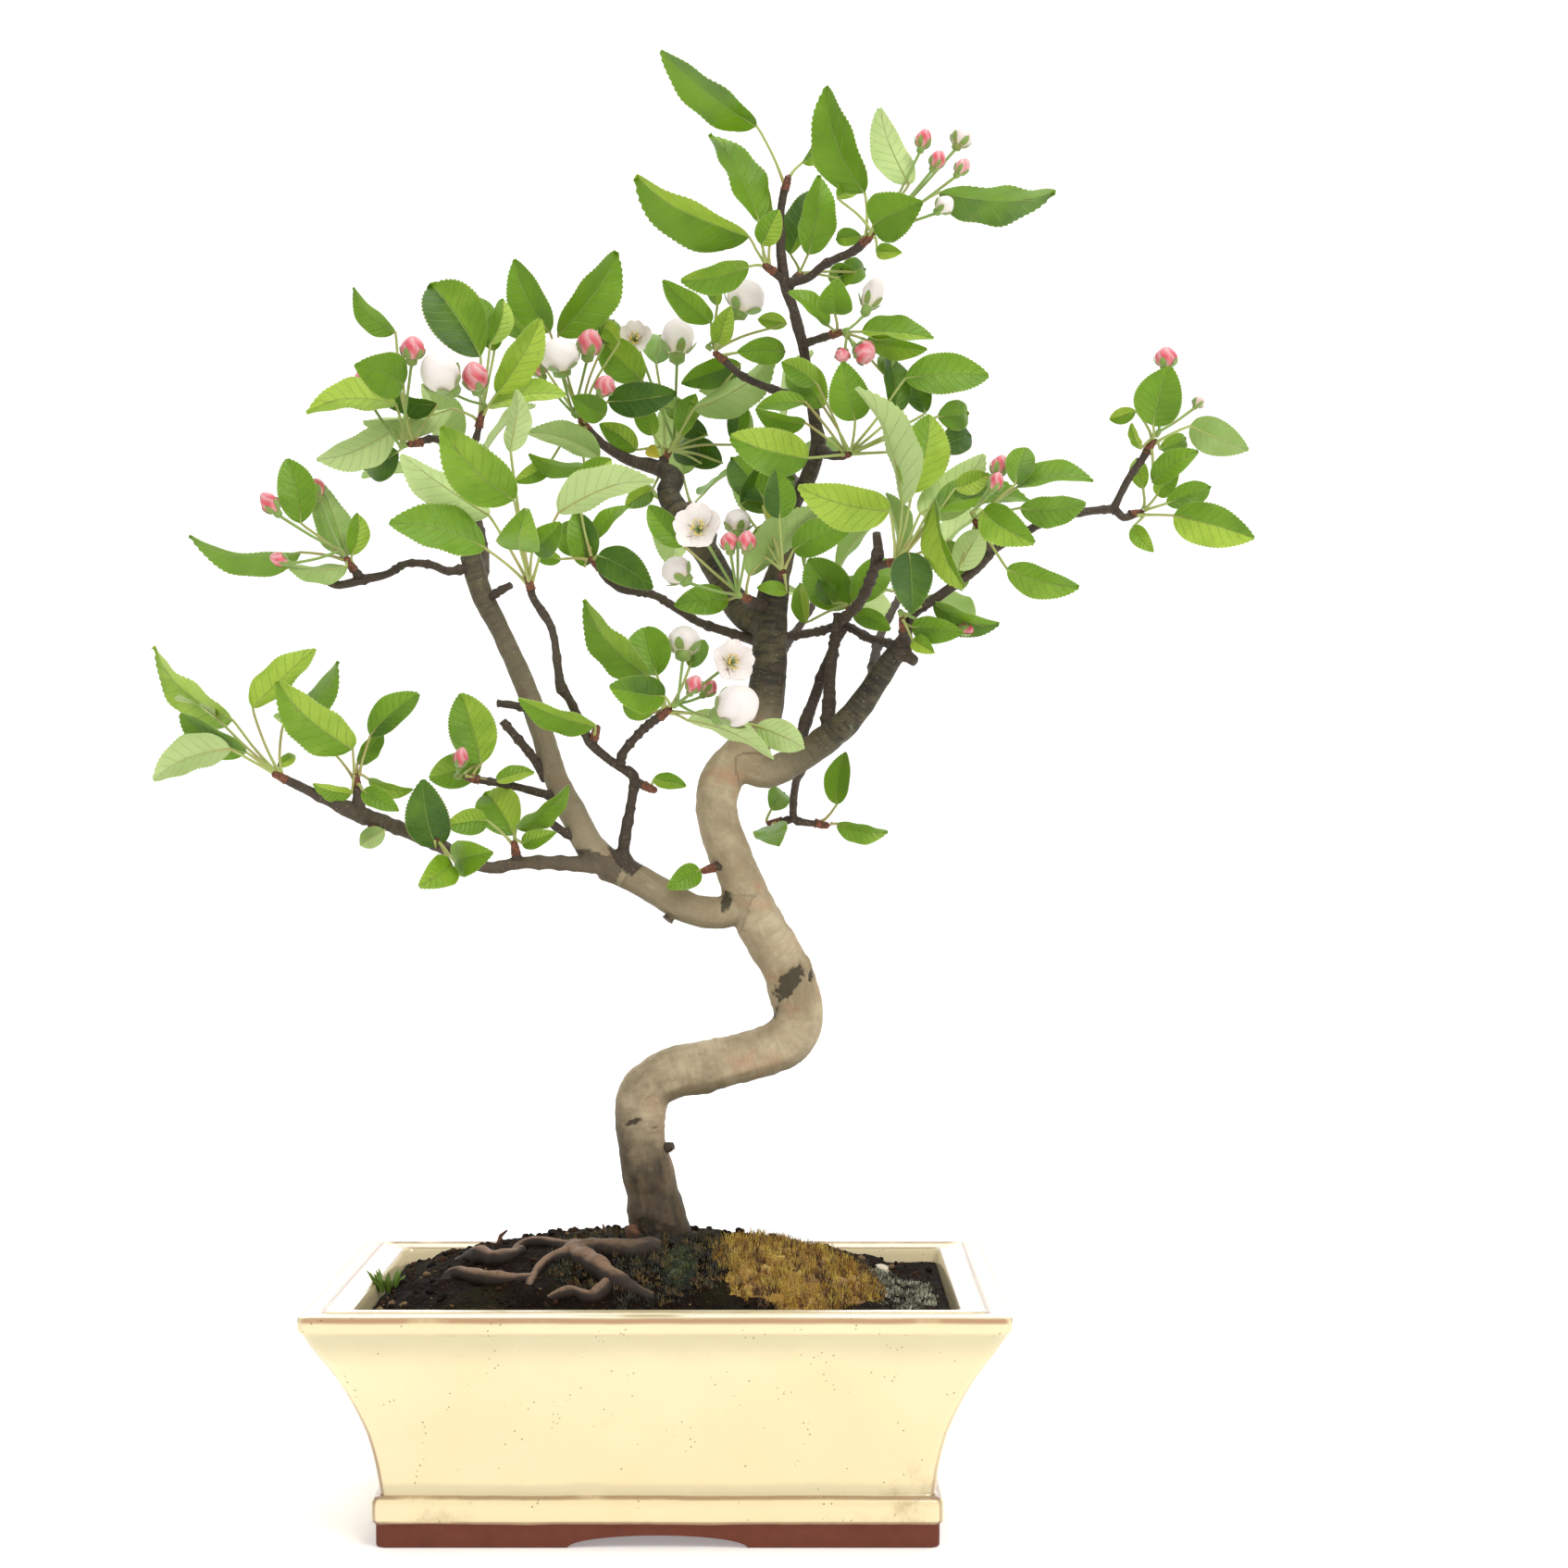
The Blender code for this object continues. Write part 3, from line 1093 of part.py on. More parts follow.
def main():
    clear_scene()
    parts = new_collection("crabapple_bonsai")
    pot_cutters = new_collection("pot_cutters")
    soil_cutters = new_collection("soil_cutters")

    glaze = material("cream_glaze", (0.8, 0.68, 0.46), 0.25)
    plastic = material("black_plastic", (0.03, 0.03, 0.03), 0.6)
    earth = material("dark_soil", (0.06, 0.04, 0.03), 0.95)
    moss = material("green_moss", (0.1, 0.14, 0.03), 0.95)
    golden = material("golden_moss", (0.45, 0.33, 0.06), 0.95)
    bark = material("crabapple_bark", (0.28, 0.24, 0.18), 0.8)
    leaf = material("crabapple_leaf", (0.2, 0.4, 0.05), 0.5)
    petal = material("crabapple_petal", (0.9, 0.6, 0.65), 0.5)

    pot = make_pot(parts, pot_cutters)
    pot.data.materials.append(glaze)
    for name, side in (("drain_net_left", -1), ("drain_net_right", 1)):
        make_net(name, side * DRAIN_OFFSET, parts).data.materials.append(plastic)

    wood = fuse("wood", wood_tubes(parts), parts)
    wood.data.materials.append(bark)
    foot_widths = [row[3] * MM + 3 * GAP for row in WOOD["trunk"][:4]]
    foot_route = wood_route("trunk")[:4]
    foot_route[0] += (foot_route[0] - foot_route[1]).normalized() * 2 * MM
    tube("trunk_cutter", foot_route, foot_widths, 2, soil_cutters)
    root_tubes(5 * GAP, soil_cutters)
    make_soil(parts, soil_cutters).data.materials.append(earth)
    make_moss("moss_golden", parts).data.materials.append(golden)
    make_moss("moss_green", parts).data.materials.append(moss)

    twigs = {name: spray[0] for name, spray in (SPRAYS | BACK_SPRAYS).items()}
    stubs = {name: spur_stub(name, twig, parts) for name, twig in twigs.items()}
    obstacles = [tree_of_objects([wood])]
    for bunch in make_flowers(parts, stubs, obstacles):
        bunch.data.materials.append(petal)
    for name, (twig, rows) in SPRAYS.items():
        spur_depth = WOOD[twig][-1][2]
        places = [list(leaf_frames(row, spur_depth, number)) for number, row in enumerate(rows)]
        make_spray(name, twig, places, stubs, parts, obstacles).data.materials.append(leaf)
    for name, (twig, count, first_angle) in BACK_SPRAYS.items():
        spur = spur_end(twig)
        places = [list(back_leaf_frames(spur, number, count, first_angle)) for number in range(count)]
        make_spray(name, twig, places, stubs, parts, obstacles).data.materials.append(leaf)

    for cutter in list(pot_cutters.objects) + list(soil_cutters.objects):
        cutter.hide_render = True
        cutter.display_type = "WIRE"
    for obj in parts.objects:
        obj.location += POT_SHIFT


main()
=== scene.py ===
# Crabapple bonsai in flower, in its glazed rectangular pot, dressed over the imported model.
# Metres, +Z up, the front towards -Y. The origin is on the ground under the middle of the box.

import math
import random

import bmesh
import bpy
import numpy as np
from mathutils import Matrix, Vector, noise
from mathutils.bvhtree import BVHTree
from mathutils.kdtree import KDTree


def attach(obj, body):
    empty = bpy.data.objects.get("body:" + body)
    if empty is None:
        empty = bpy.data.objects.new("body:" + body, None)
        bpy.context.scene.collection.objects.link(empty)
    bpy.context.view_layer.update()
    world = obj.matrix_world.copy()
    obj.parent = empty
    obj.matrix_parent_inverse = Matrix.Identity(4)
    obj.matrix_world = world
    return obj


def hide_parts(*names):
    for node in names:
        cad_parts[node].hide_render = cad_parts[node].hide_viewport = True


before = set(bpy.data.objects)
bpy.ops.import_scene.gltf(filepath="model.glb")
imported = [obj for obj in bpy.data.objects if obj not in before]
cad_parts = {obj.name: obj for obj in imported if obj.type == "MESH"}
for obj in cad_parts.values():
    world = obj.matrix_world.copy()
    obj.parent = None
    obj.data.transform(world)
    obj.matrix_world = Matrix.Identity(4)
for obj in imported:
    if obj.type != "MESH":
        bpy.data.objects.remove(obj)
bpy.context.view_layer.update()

mm = 0.001
gap = 0.3 * mm
potMiddle = Vector((-14.5 * mm, -16 * mm, 0))
# without a seed, the noise vectors of the spurs differ from run to run
noise.seed_set(1)

# The photograph's view: where the camera stands, from the middle of the pot, and its pixels.
view = {
    "eye": Vector((45 * mm, -1182.5 * mm, 271.6 * mm)),
    "middlePixel": 847,
    "focalPixels": 3388,
    "focalLength": 72,
}


def seen(u, v, depth):
    # the point at this depth (mm behind the trunk) that shows at pixel (u, v)
    eye = view["eye"]
    away = depth * mm - eye.y
    right = (u - view["middlePixel"]) * away / view["focalPixels"]
    down = (v - view["middlePixel"]) * away / view["focalPixels"]
    return potMiddle + Vector((eye.x + right, depth * mm, eye.z - down))


# Tools


def deselect():
    if bpy.context.mode != "OBJECT":
        bpy.ops.object.mode_set(mode="OBJECT")
    bpy.ops.object.select_all(action="DESELECT")


def pick(*objects):
    deselect()
    for obj in objects:
        obj.select_set(True)
    bpy.context.view_layer.objects.active = objects[0]


def applyModifiers(obj):
    pick(obj)
    for modifier in list(obj.modifiers):
        bpy.ops.object.modifier_apply(modifier=modifier.name)


def joined(name, pieces):
    pick(*pieces)
    if len(pieces) > 1:
        bpy.ops.object.join()
    pieces[0].name = name
    pieces[0].data.name = name
    return pieces[0]


def points(obj):
    co = np.empty(len(obj.data.vertices) * 3, np.float32)
    obj.data.vertices.foreach_get("co", co)
    return co.reshape(-1, 3).astype(float)


def setPoints(obj, co):
    obj.data.vertices.foreach_set("co", np.ascontiguousarray(co, np.float32).ravel())
    obj.data.update()


def normalsOf(obj):
    normals = np.empty(len(obj.data.vertices) * 3, np.float32)
    obj.data.vertices.foreach_get("normal", normals)
    return normals.reshape(-1, 3)


def copyOf(template):
    copy = template.copy()
    copy.data = template.data.copy()
    bpy.context.collection.objects.link(copy)
    return copy


def placedAlong(origin, *parts):
    # points from one origin, each part a list of lengths and the direction they go in
    placed = np.array(origin)
    for lengths, way in parts:
        placed = placed + np.outer(lengths, np.array(way))
    return placed


def sheetOf(columns, rows):
    # a flat closed sheet, two units square, ready to be bent into a blade or a petal
    deselect()
    bpy.ops.mesh.primitive_grid_add(x_subdivisions=columns, y_subdivisions=rows, size=2)
    sheet = bpy.context.object
    thick = sheet.modifiers.new("Thickness", "SOLIDIFY")
    thick.thickness = 0.1
    thick.offset = 0
    applyModifiers(sheet)
    return sheet


def mark(obj, name, values):
    # a number at each point of the mesh, for the material to read
    attribute = obj.data.attributes.get(name) or obj.data.attributes.new(name, "FLOAT", "POINT")
    count = len(obj.data.vertices)
    attribute.data.foreach_set("value", np.broadcast_to(np.asarray(values, np.float32), count).copy())


def smoothShade(obj, degrees=40):
    pick(obj)
    bpy.ops.object.shade_smooth_by_angle(angle=math.radians(degrees))


def editAll(obj):
    pick(obj)
    bpy.ops.object.mode_set(mode="EDIT")
    bpy.ops.mesh.select_all(action="SELECT")


def faceOut(obj):
    editAll(obj)
    bpy.ops.mesh.normals_make_consistent(inside=False)
    bpy.ops.object.mode_set(mode="OBJECT")


def tubes(name, runs, bevelSteps=2):
    # one mesh of round closed tubes; each run is a list of (point, radius)
    curve = bpy.data.curves.new(name, "CURVE")
    curve.dimensions = "3D"
    curve.bevel_depth = 1.0
    curve.bevel_resolution = bevelSteps
    curve.use_fill_caps = True
    for run in runs:
        spline = curve.splines.new("POLY")
        spline.points.add(len(run) - 1)
        for place, (point, radius) in zip(spline.points, run):
            place.co = (*point, 1)
            place.radius = radius
    obj = bpy.data.objects.new(name, curve)
    bpy.context.collection.objects.link(obj)
    pick(obj)
    bpy.ops.object.convert(target="MESH")
    obj = bpy.context.object
    editAll(obj)
    bpy.ops.mesh.remove_doubles(threshold=0.00001)
    bpy.ops.object.mode_set(mode="OBJECT")
    return obj


def smoothRun(stations, step):
    # a smooth curve through (point, radius) stations, with a station about every step
    made = []
    count = len(stations)
    for i in range(count - 1):
        before = stations[max(0, i - 1)]
        first, second = stations[i], stations[i + 1]
        after = stations[min(count - 1, i + 2)]
        pieces = max(1, round((second[0] - first[0]).length / step))
        for j in range(pieces):
            t = j / pieces
            point = 0.5 * (
                2 * first[0] + (second[0] - before[0]) * t
                + (2 * before[0] - 5 * first[0] + 4 * second[0] - after[0]) * t * t
                + (3 * first[0] - before[0] - 3 * second[0] + after[0]) * t ** 3
            )
            ease = t * t * (3 - 2 * t)
            made.append((point, first[1] + (second[1] - first[1]) * ease))
    made.append(stations[-1])
    return made


def paint(obj, finish):
    obj.data.materials.clear()
    obj.data.materials.append(finish.material)


def dress(obj, slot, *nodes, finish=None):
    # a finished piece: it has its finish, rides on the object and stands for these nodes
    if finish:
        paint(obj, finish)
    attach(obj, "root")
    if nodes:
        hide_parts(*nodes)
    return obj


# Finishes


class Wire:
    # a node's output that sums and products can be written with

    def __init__(self, finish, socket):
        self.finish = finish
        self.socket = socket

    def sum(self, operation, first, second=0.0):
        return self.finish.node("ShaderNodeMath", {"operation": operation}, {0: first, 1: second})

    def __add__(self, other):
        return self.sum("ADD", self, other)

    def __sub__(self, other):
        return self.sum("SUBTRACT", self, other)

    def __rsub__(self, other):
        return self.sum("SUBTRACT", other, self)

    def __mul__(self, other):
        return self.sum("MULTIPLY", self, other)

    def __truediv__(self, other):
        return self.sum("DIVIDE", self, other)

    def __abs__(self):
        return self.sum("ABSOLUTE", self)

    def __mod__(self, other):
        return self.sum("FLOORED_MODULO", self, other)

    __radd__ = __add__
    __rmul__ = __mul__


class Finish:
    # a material, with its noise, lines and mixes

    def __init__(self, name, roughness=0.5, **constants):
        self.material = bpy.data.materials.new(name)
        self.material.use_nodes = True
        self.tree = self.material.node_tree
        self.shader = self.tree.nodes["Principled BSDF"]
        self.feed(self.shader.inputs["Roughness"], roughness)
        for key, value in constants.items():
            self.shader.inputs[key].default_value = value

    def feed(self, socket, value):
        if isinstance(value, Wire):
            self.tree.links.new(value.socket, socket)
        else:
            socket.default_value = value

    def node(self, kind, settings=None, inputs=None, output=0):
        made = self.tree.nodes.new(kind)
        for key, value in (settings or {}).items():
            if key == "stops":
                while len(made.color_ramp.elements) < len(value):
                    made.color_ramp.elements.new(0.5)
                for element, (place, colour) in zip(made.color_ramp.elements, value):
                    element.position = place
                    element.color = colour
            else:
                setattr(made, key, value)
        for key, value in (inputs or {}).items():
            self.feed(made.inputs[key], value)
        return Wire(self, made.outputs[output])

    def place(self):
        return self.node("ShaderNodeTexCoord", output="Object")

    def unwrapped(self):
        return self.node("ShaderNodeTexCoord", output="UV")

    def split(self, vector):
        return [
            self.node("ShaderNodeSeparateXYZ", inputs={0: vector}, output=axis) for axis in range(3)
        ]

    def shifted(self, vector, offset=(0, 0, 0), scale=(1, 1, 1)):
        return self.node(
            "ShaderNodeMapping", inputs={"Vector": vector, "Location": offset, "Scale": scale},
        )

    def grain(self, scale, detail=3, roughness=0.55, vector=None, distortion=0.0):
        return self.node("ShaderNodeTexNoise", inputs={
            "Vector": vector or self.place(), "Scale": scale, "Detail": detail,
            "Roughness": roughness, "Distortion": distortion,
        })

    def cells(self, scale, vector=None, feature="F1"):
        return self.node("ShaderNodeTexVoronoi", {"feature": feature}, {
            "Vector": vector or self.place(), "Scale": scale,
        })

    def ease(self, value, low, high):
        # 0 at low and 1 at high, smooth between
        return self.node("ShaderNodeMapRange", {"interpolation_type": "SMOOTHSTEP"}, {
            "Value": value, "From Min": low, "From Max": high,
        })

    def mix(self, share, first, second):
        return self.node("ShaderNodeMix", {"data_type": "RGBA"}, {0: share, 6: first, 7: second}, 2)

    def number(self, name):
        return self.node("ShaderNodeAttribute", {"attribute_name": name}, output="Fac")

    def least(self, first, second):
        return self.node("ShaderNodeMath", {"operation": "MINIMUM"}, {0: first, 1: second})

    def most(self, first, second):
        return self.node("ShaderNodeMath", {"operation": "MAXIMUM"}, {0: first, 1: second})

    def colour(self, value):
        self.feed(self.shader.inputs["Base Color"], value)

    def relief(self, height, distance, strength=1.0):
        bump = self.node("ShaderNodeBump", inputs={
            "Height": height, "Distance": distance, "Strength": strength,
        })
        self.feed(self.shader.inputs["Normal"], bump)

    def letThrough(self, share, colour):
        # some of the light comes through a thin blade or petal
        glow = self.node("ShaderNodeBsdfTranslucent", inputs={"Color": colour})
        out = self.tree.nodes["Material Output"]
        both = self.node("ShaderNodeMixShader", inputs={0: share})
        self.tree.links.new(self.shader.outputs[0], both.socket.node.inputs[1])
        self.tree.links.new(glow.socket, both.socket.node.inputs[2])
        self.tree.links.new(both.socket, out.inputs["Surface"])


def plainFinish(name, roughness, grain, dark, light, bump, detail=3):
    # one grain between two tones, and a fine relief
    made = Finish(name, roughness=roughness)
    made.colour(made.mix(made.grain(grain, detail=detail), tint(*dark), tint(*light)))
    if bump:
        made.relief(made.grain(bump[0]), bump[1] * mm)
    return made


def tint(red, green, blue):
    # a colour as the eye sees it, from 0 to 255, for a shader
    def linear(value):
        value /= 255
        return value / 12.92 if value <= 0.04045 else ((value + 0.055) / 1.055) ** 2.4
    return (linear(red), linear(green), linear(blue), 1)


# Trunk and branches: pixel across, pixel down, depth in mm, diameter in mm.
wood = {
    "trunk": [
        (722, 1452, 4, 19), (719, 1400, 2, 25), (715, 1345, 0, 23.5), (703, 1280, -2, 20.2),
        (693, 1230, -3, 18.6), (692, 1200, -3, 19.5), (698, 1178, -3, 19.5), (725, 1160, -2, 19.5),
        (770, 1150, 2, 19), (820, 1138, 6, 19), (850, 1124, 8, 19.5), (862, 1100, 8, 19.5),
        (858, 1070, 7, 19.2), (846, 1040, 5, 18.5), (825, 1005, 2, 18.2), (806, 965, 0, 17),
        (788, 922, -2, 16), (778, 894, -2, 16), (774, 867, -1, 16), (780, 840, 0, 16),
        (800, 815, 2, 15.4), (822, 785, 3, 14.8), (830, 730, 4, 14), (832, 685, 4, 13.3),
        (835, 645, 5, 12.2), (841, 619, 5, 9.6), (851, 587, 6, 7), (857, 546, 6, 6.3),
        (870, 523, 6, 6.8), (884, 482, 7, 6.3), (880, 453, 8, 5), (870, 387, 8, 4.4),
        (859, 339, 7, 4.2), (848, 307, 5, 4.6), (843, 259, 4, 3.8), (844, 224, 3, 3.4),
        (849, 202, 2, 3.4),
    ],
    "left_main": [
        (806, 968, 0, 11), (785, 985, -1, 12.4), (750, 983, -3, 12.4), (715, 965, -5, 12),
        (685, 948, -6, 11.6), (652, 934, -8, 11.4),
    ],
    "branch_a": [
        (672, 942, -7, 10), (640, 918, -7, 12), (620, 880, -4, 10.6), (600, 840, 0, 9.8),
        (585, 790, 4, 9), (565, 735, 8, 8.4), (540, 680, 11, 7.7), (520, 640, 13, 8.4),
        (508, 598, 14, 9),
    ],
    "branch_b": [
        (662, 938, -8, 6.5), (620, 933, -12, 5.6), (564, 932, -17, 4.9), (526, 937, -20, 4.9),
        (485, 918, -23, 5), (424, 892, -27, 6), (389, 880, -30, 6.5), (354, 864, -34, 5),
        (329, 852, -37, 4.2), (306, 841, -39, 3.8),
    ],
    "branch_c": [
        (680, 944, -6, 5.6), (674, 916, -9, 4.9), (682, 867, -13, 4.2), (685, 839, -15, 4.6),
        (668, 828, -18, 3.8), (641, 806, -22, 4.2), (630, 787, -25, 4), (616, 757, -28, 3.8),
        (606, 742, -30, 4.6), (603, 723, -32, 3.8), (596, 679, -35, 3.4), (577, 648, -38, 3.6),
        (573, 634, -39, 4),
    ],
    "right_main": [
        (800, 826, 1, 11), (830, 835, -1, 12.2), (865, 818, -4, 11.4), (895, 797, -7, 11),
        (925, 768, -10, 9.8), (948, 735, -13, 9), (968, 705, -16, 7.7), (979, 692, -18, 7),
    ],
    "left_back": [
        (828, 680, 5, 9), (800, 660, 14, 11), (765, 600, 26, 10.5), (723, 537, 38, 9.5),
        (729, 517, 42, 8), (709, 505, 44, 6.6), (680, 497, 42, 5), (651, 480, 38, 4),
        (634, 462, 35, 3.6),
    ],
    "outer_right": [
        (977, 696, -18, 5), (985, 665, -22, 4.4), (1013, 645, -26, 4), (1054, 615, -30, 3.8),
        (1076, 592, -30, 3.6), (1115, 571, -28, 3.4), (1133, 558, -26, 3.2), (1163, 554, -23, 3.6),
        (1189, 551, -20, 3.2), (1204, 551, -18, 3.4), (1214, 559, -17, 3.2), (1224, 556, -16, 3),
    ],
    "outer_up": [
        (1202, 552, -18, 3.2), (1212, 531, -19, 3), (1222, 513, -20, 3), (1234, 496, -21, 3),
        (1240, 486, -22, 3.2),
    ],
    "upright_front": [(893, 795, -6, 6), (895, 772, -4, 5.6), (898, 720, 3, 4.4), (906, 664, 9, 3.8)],
    "upright_back": [
        (862, 814, -3, 6), (868, 788, 2, 5.2), (885, 740, 12, 4.8), (900, 700, 18, 4.2),
        (912, 676, 19, 3.6),
    ],
    "cross_twig": [
        (842, 690, 6, 4.4), (862, 686, 10, 3.6), (886, 682, 12, 3.4), (912, 676, 16, 3.6),
        (940, 690, 5, 3.4), (965, 696, -10, 3.4),
    ],
    "middle_twig": [
        (906, 672, 9, 4), (924, 657, 0, 4), (937, 635, -12, 4.2), (948, 600, -24, 4.2),
        (947, 576, -29, 3.4),
    ],
    "drooping": [
        (868, 824, 2, 4), (860, 845, 12, 3.4), (857, 870, 18, 3), (860, 886, 20, 3.2),
        (884, 890, 22, 2.8),
    ],
    "drooping_left": [(861, 884, 20, 3), (841, 888, 22, 2.8)],
    "upper_left": [
        (512, 612, 13, 4.6), (485, 617, 9, 3.4), (465, 610, 5, 3.2), (439, 609, 1, 3),
        (419, 620, -3, 3.2), (393, 626, -6, 3.8), (367, 632, -9, 3.4), (351, 627, -11, 3),
    ],
    "up_twig": [
        (509, 606, 14, 4.4), (510, 560, 12, 3.4), (506, 508, 9, 3.2), (491, 485, 6, 3),
        (470, 474, 2, 3), (452, 478, -2, 2.8),
    ],
    "up_twig_side": [(503, 500, 8, 3), (513, 478, 6, 2.8), (518, 458, 4, 2.8)],
    "thin_left": [
        (822, 694, 5, 4.6), (790, 684, 10, 3.8), (755, 672, 12, 3.4), (726, 654, 14, 3.4),
        (704, 642, 14, 3.2), (669, 635, 13, 3.6), (646, 612, 11, 3),
    ],
    "top_right": [
        (850, 306, 5, 3.6), (873, 300, 2, 3.4), (892, 285, -2, 3.4), (921, 272, -7, 3.6),
        (934, 261, -10, 3.4),
    ],
    "blossom_arm": [
        (670, 826, -18, 3.6), (674, 812, -20, 3.4), (696, 787, -26, 3.2), (716, 772, -31, 3.2),
    ],
    "blossom_knob": [(684, 843, -15, 3.8), (699, 850, -18, 3.4)],
    "cut_stub": [(590, 842, 1, 4.4), (574, 816, -4, 3.6), (543, 779, -9, 3.4)],
    "short_spur": [(578, 768, 5, 4), (555, 762, 1, 3.2), (538, 760, -2, 3)],
    "low_twig": [
        (608, 864, -2, 4), (596, 860, -4, 3.6), (549, 848, -10, 3), (514, 842, -14, 2.8),
    ],
    "low_stub": [(622, 905, -7, 4), (603, 895, -10, 3.4), (588, 881, -12, 2.8)],
    "red_spur": [(527, 650, 12, 3.8), (536, 641, 9, 3.2), (552, 632, 6, 2.8)],
    "trunk_stub": [(700, 1246, -3, 6), (727, 1238, -7, 3.4)],
    "left_knob": [(734, 976, -4, 6), (721, 994, -6, 4)],
    "right_knob": [(972, 704, -17, 6), (990, 716, -21, 4)],
    "spur_b2": [(388, 882, -30, 5), (386, 850, -32, 3.6)],
    "spur_b3": [(404, 884, -28, 4), (402, 896, -30, 3.2)],
    "spur_b4": [(484, 918, -23, 4), (476, 910, -30, 3.4)],
    "spur_b5": [(559, 932, -17, 4), (557, 919, -20, 3.2)],
    "spur_c2": [(640, 806, -22, 3.6), (643, 794, -25, 3)],
    "spur_ul2": [(390, 626, -6, 3.6), (380, 612, -9, 3)],
    "spur_lb2": [(712, 507, 44, 5), (718, 496, 45, 3.6)],
    "spur_top_left": [(846, 302, 5, 3.6), (833, 292, 0, 3)],
    "spur_top_back": [(852, 312, 6, 3.6), (861, 300, 14, 3)],
    "twig_inner": [
        (876, 430, 8, 3.6), (845, 424, 17, 3.2), (805, 408, 21, 3), (781, 388, 21, 3),
    ],
    "spur_r3": [(867, 372, 8, 3.6), (885, 366, -2, 3.2), (901, 361, -9, 3)],
    "spur_r4": [(884, 484, 7, 4.6), (899, 492, -5, 3.8), (912, 491, -14, 3.6)],
    "spur_r5": [(944, 612, -20, 3.8), (964, 608, -31, 3.2)],
    "spur_r6": [(1070, 598, -30, 3.4), (1061, 582, -34, 3), (1057, 571, -37, 2.8)],
    "spur_r7": [(979, 692, -18, 5), (976, 677, -23, 3.4)],
    "spur_r8": [(910, 678, 16, 3.4), (914, 667, 16, 3)],
    "spur_t1": [(830, 656, 4, 5), (814, 650, -8, 3.6), (807, 647, -13, 3.2)],
    "spur_t2": [(837, 634, 4, 5), (843, 626, -9, 3.6), (845, 621, -15, 3.2)],
    "spur_t3": [(790, 930, -2, 5), (768, 938, -10, 3)],
    "back_1": [
        (832, 722, 4, 7), (840, 712, 22, 4.8), (854, 690, 42, 4), (874, 662, 60, 3.2),
        (880, 646, 70, 3),
    ],
    "back_2": [(764, 598, 27, 6), (770, 580, 45, 4), (762, 560, 62, 3.4), (748, 548, 74, 3)],
    "back_3": [(857, 548, 6, 5), (864, 530, 24, 3.8), (852, 508, 44, 3.2), (842, 492, 58, 3)],
    "back_4": [
        (946, 738, -12, 6), (944, 722, 8, 4.6), (950, 690, 32, 3.6), (966, 656, 52, 3.2),
        (974, 642, 62, 3),
    ],
    "back_5": [(518, 636, 13, 5), (524, 606, 30, 3.6), (516, 560, 46, 3.2), (504, 528, 58, 3)],
}

# Roots on the soil: pixel across, pixel down, diameter in mm.
roots = {
    "root_1": [
        (714, 1354, 14), (690, 1352, 12), (640, 1350, 10), (616, 1352, 9.5), (638, 1364, 10),
        (666, 1384, 9), (707, 1396, 6),
    ],
    "root_2": [(640, 1350, 9), (608, 1346, 6), (587, 1342, 5.5), (561, 1346, 5), (549, 1356, 4)],
    "root_3": [(640, 1352, 8), (595, 1360, 6), (575, 1382, 5), (572, 1392, 4)],
    "root_4": [(565, 1350, 5), (540, 1360, 8.5), (513, 1356, 8), (493, 1358, 5)],
    "root_5": [(576, 1382, 5), (529, 1382, 7), (493, 1376, 6.5), (478, 1382, 4.5)],
    "root_6": [(662, 1382, 7), (640, 1402, 6), (618, 1396, 6), (585, 1398, 4.5)],
}

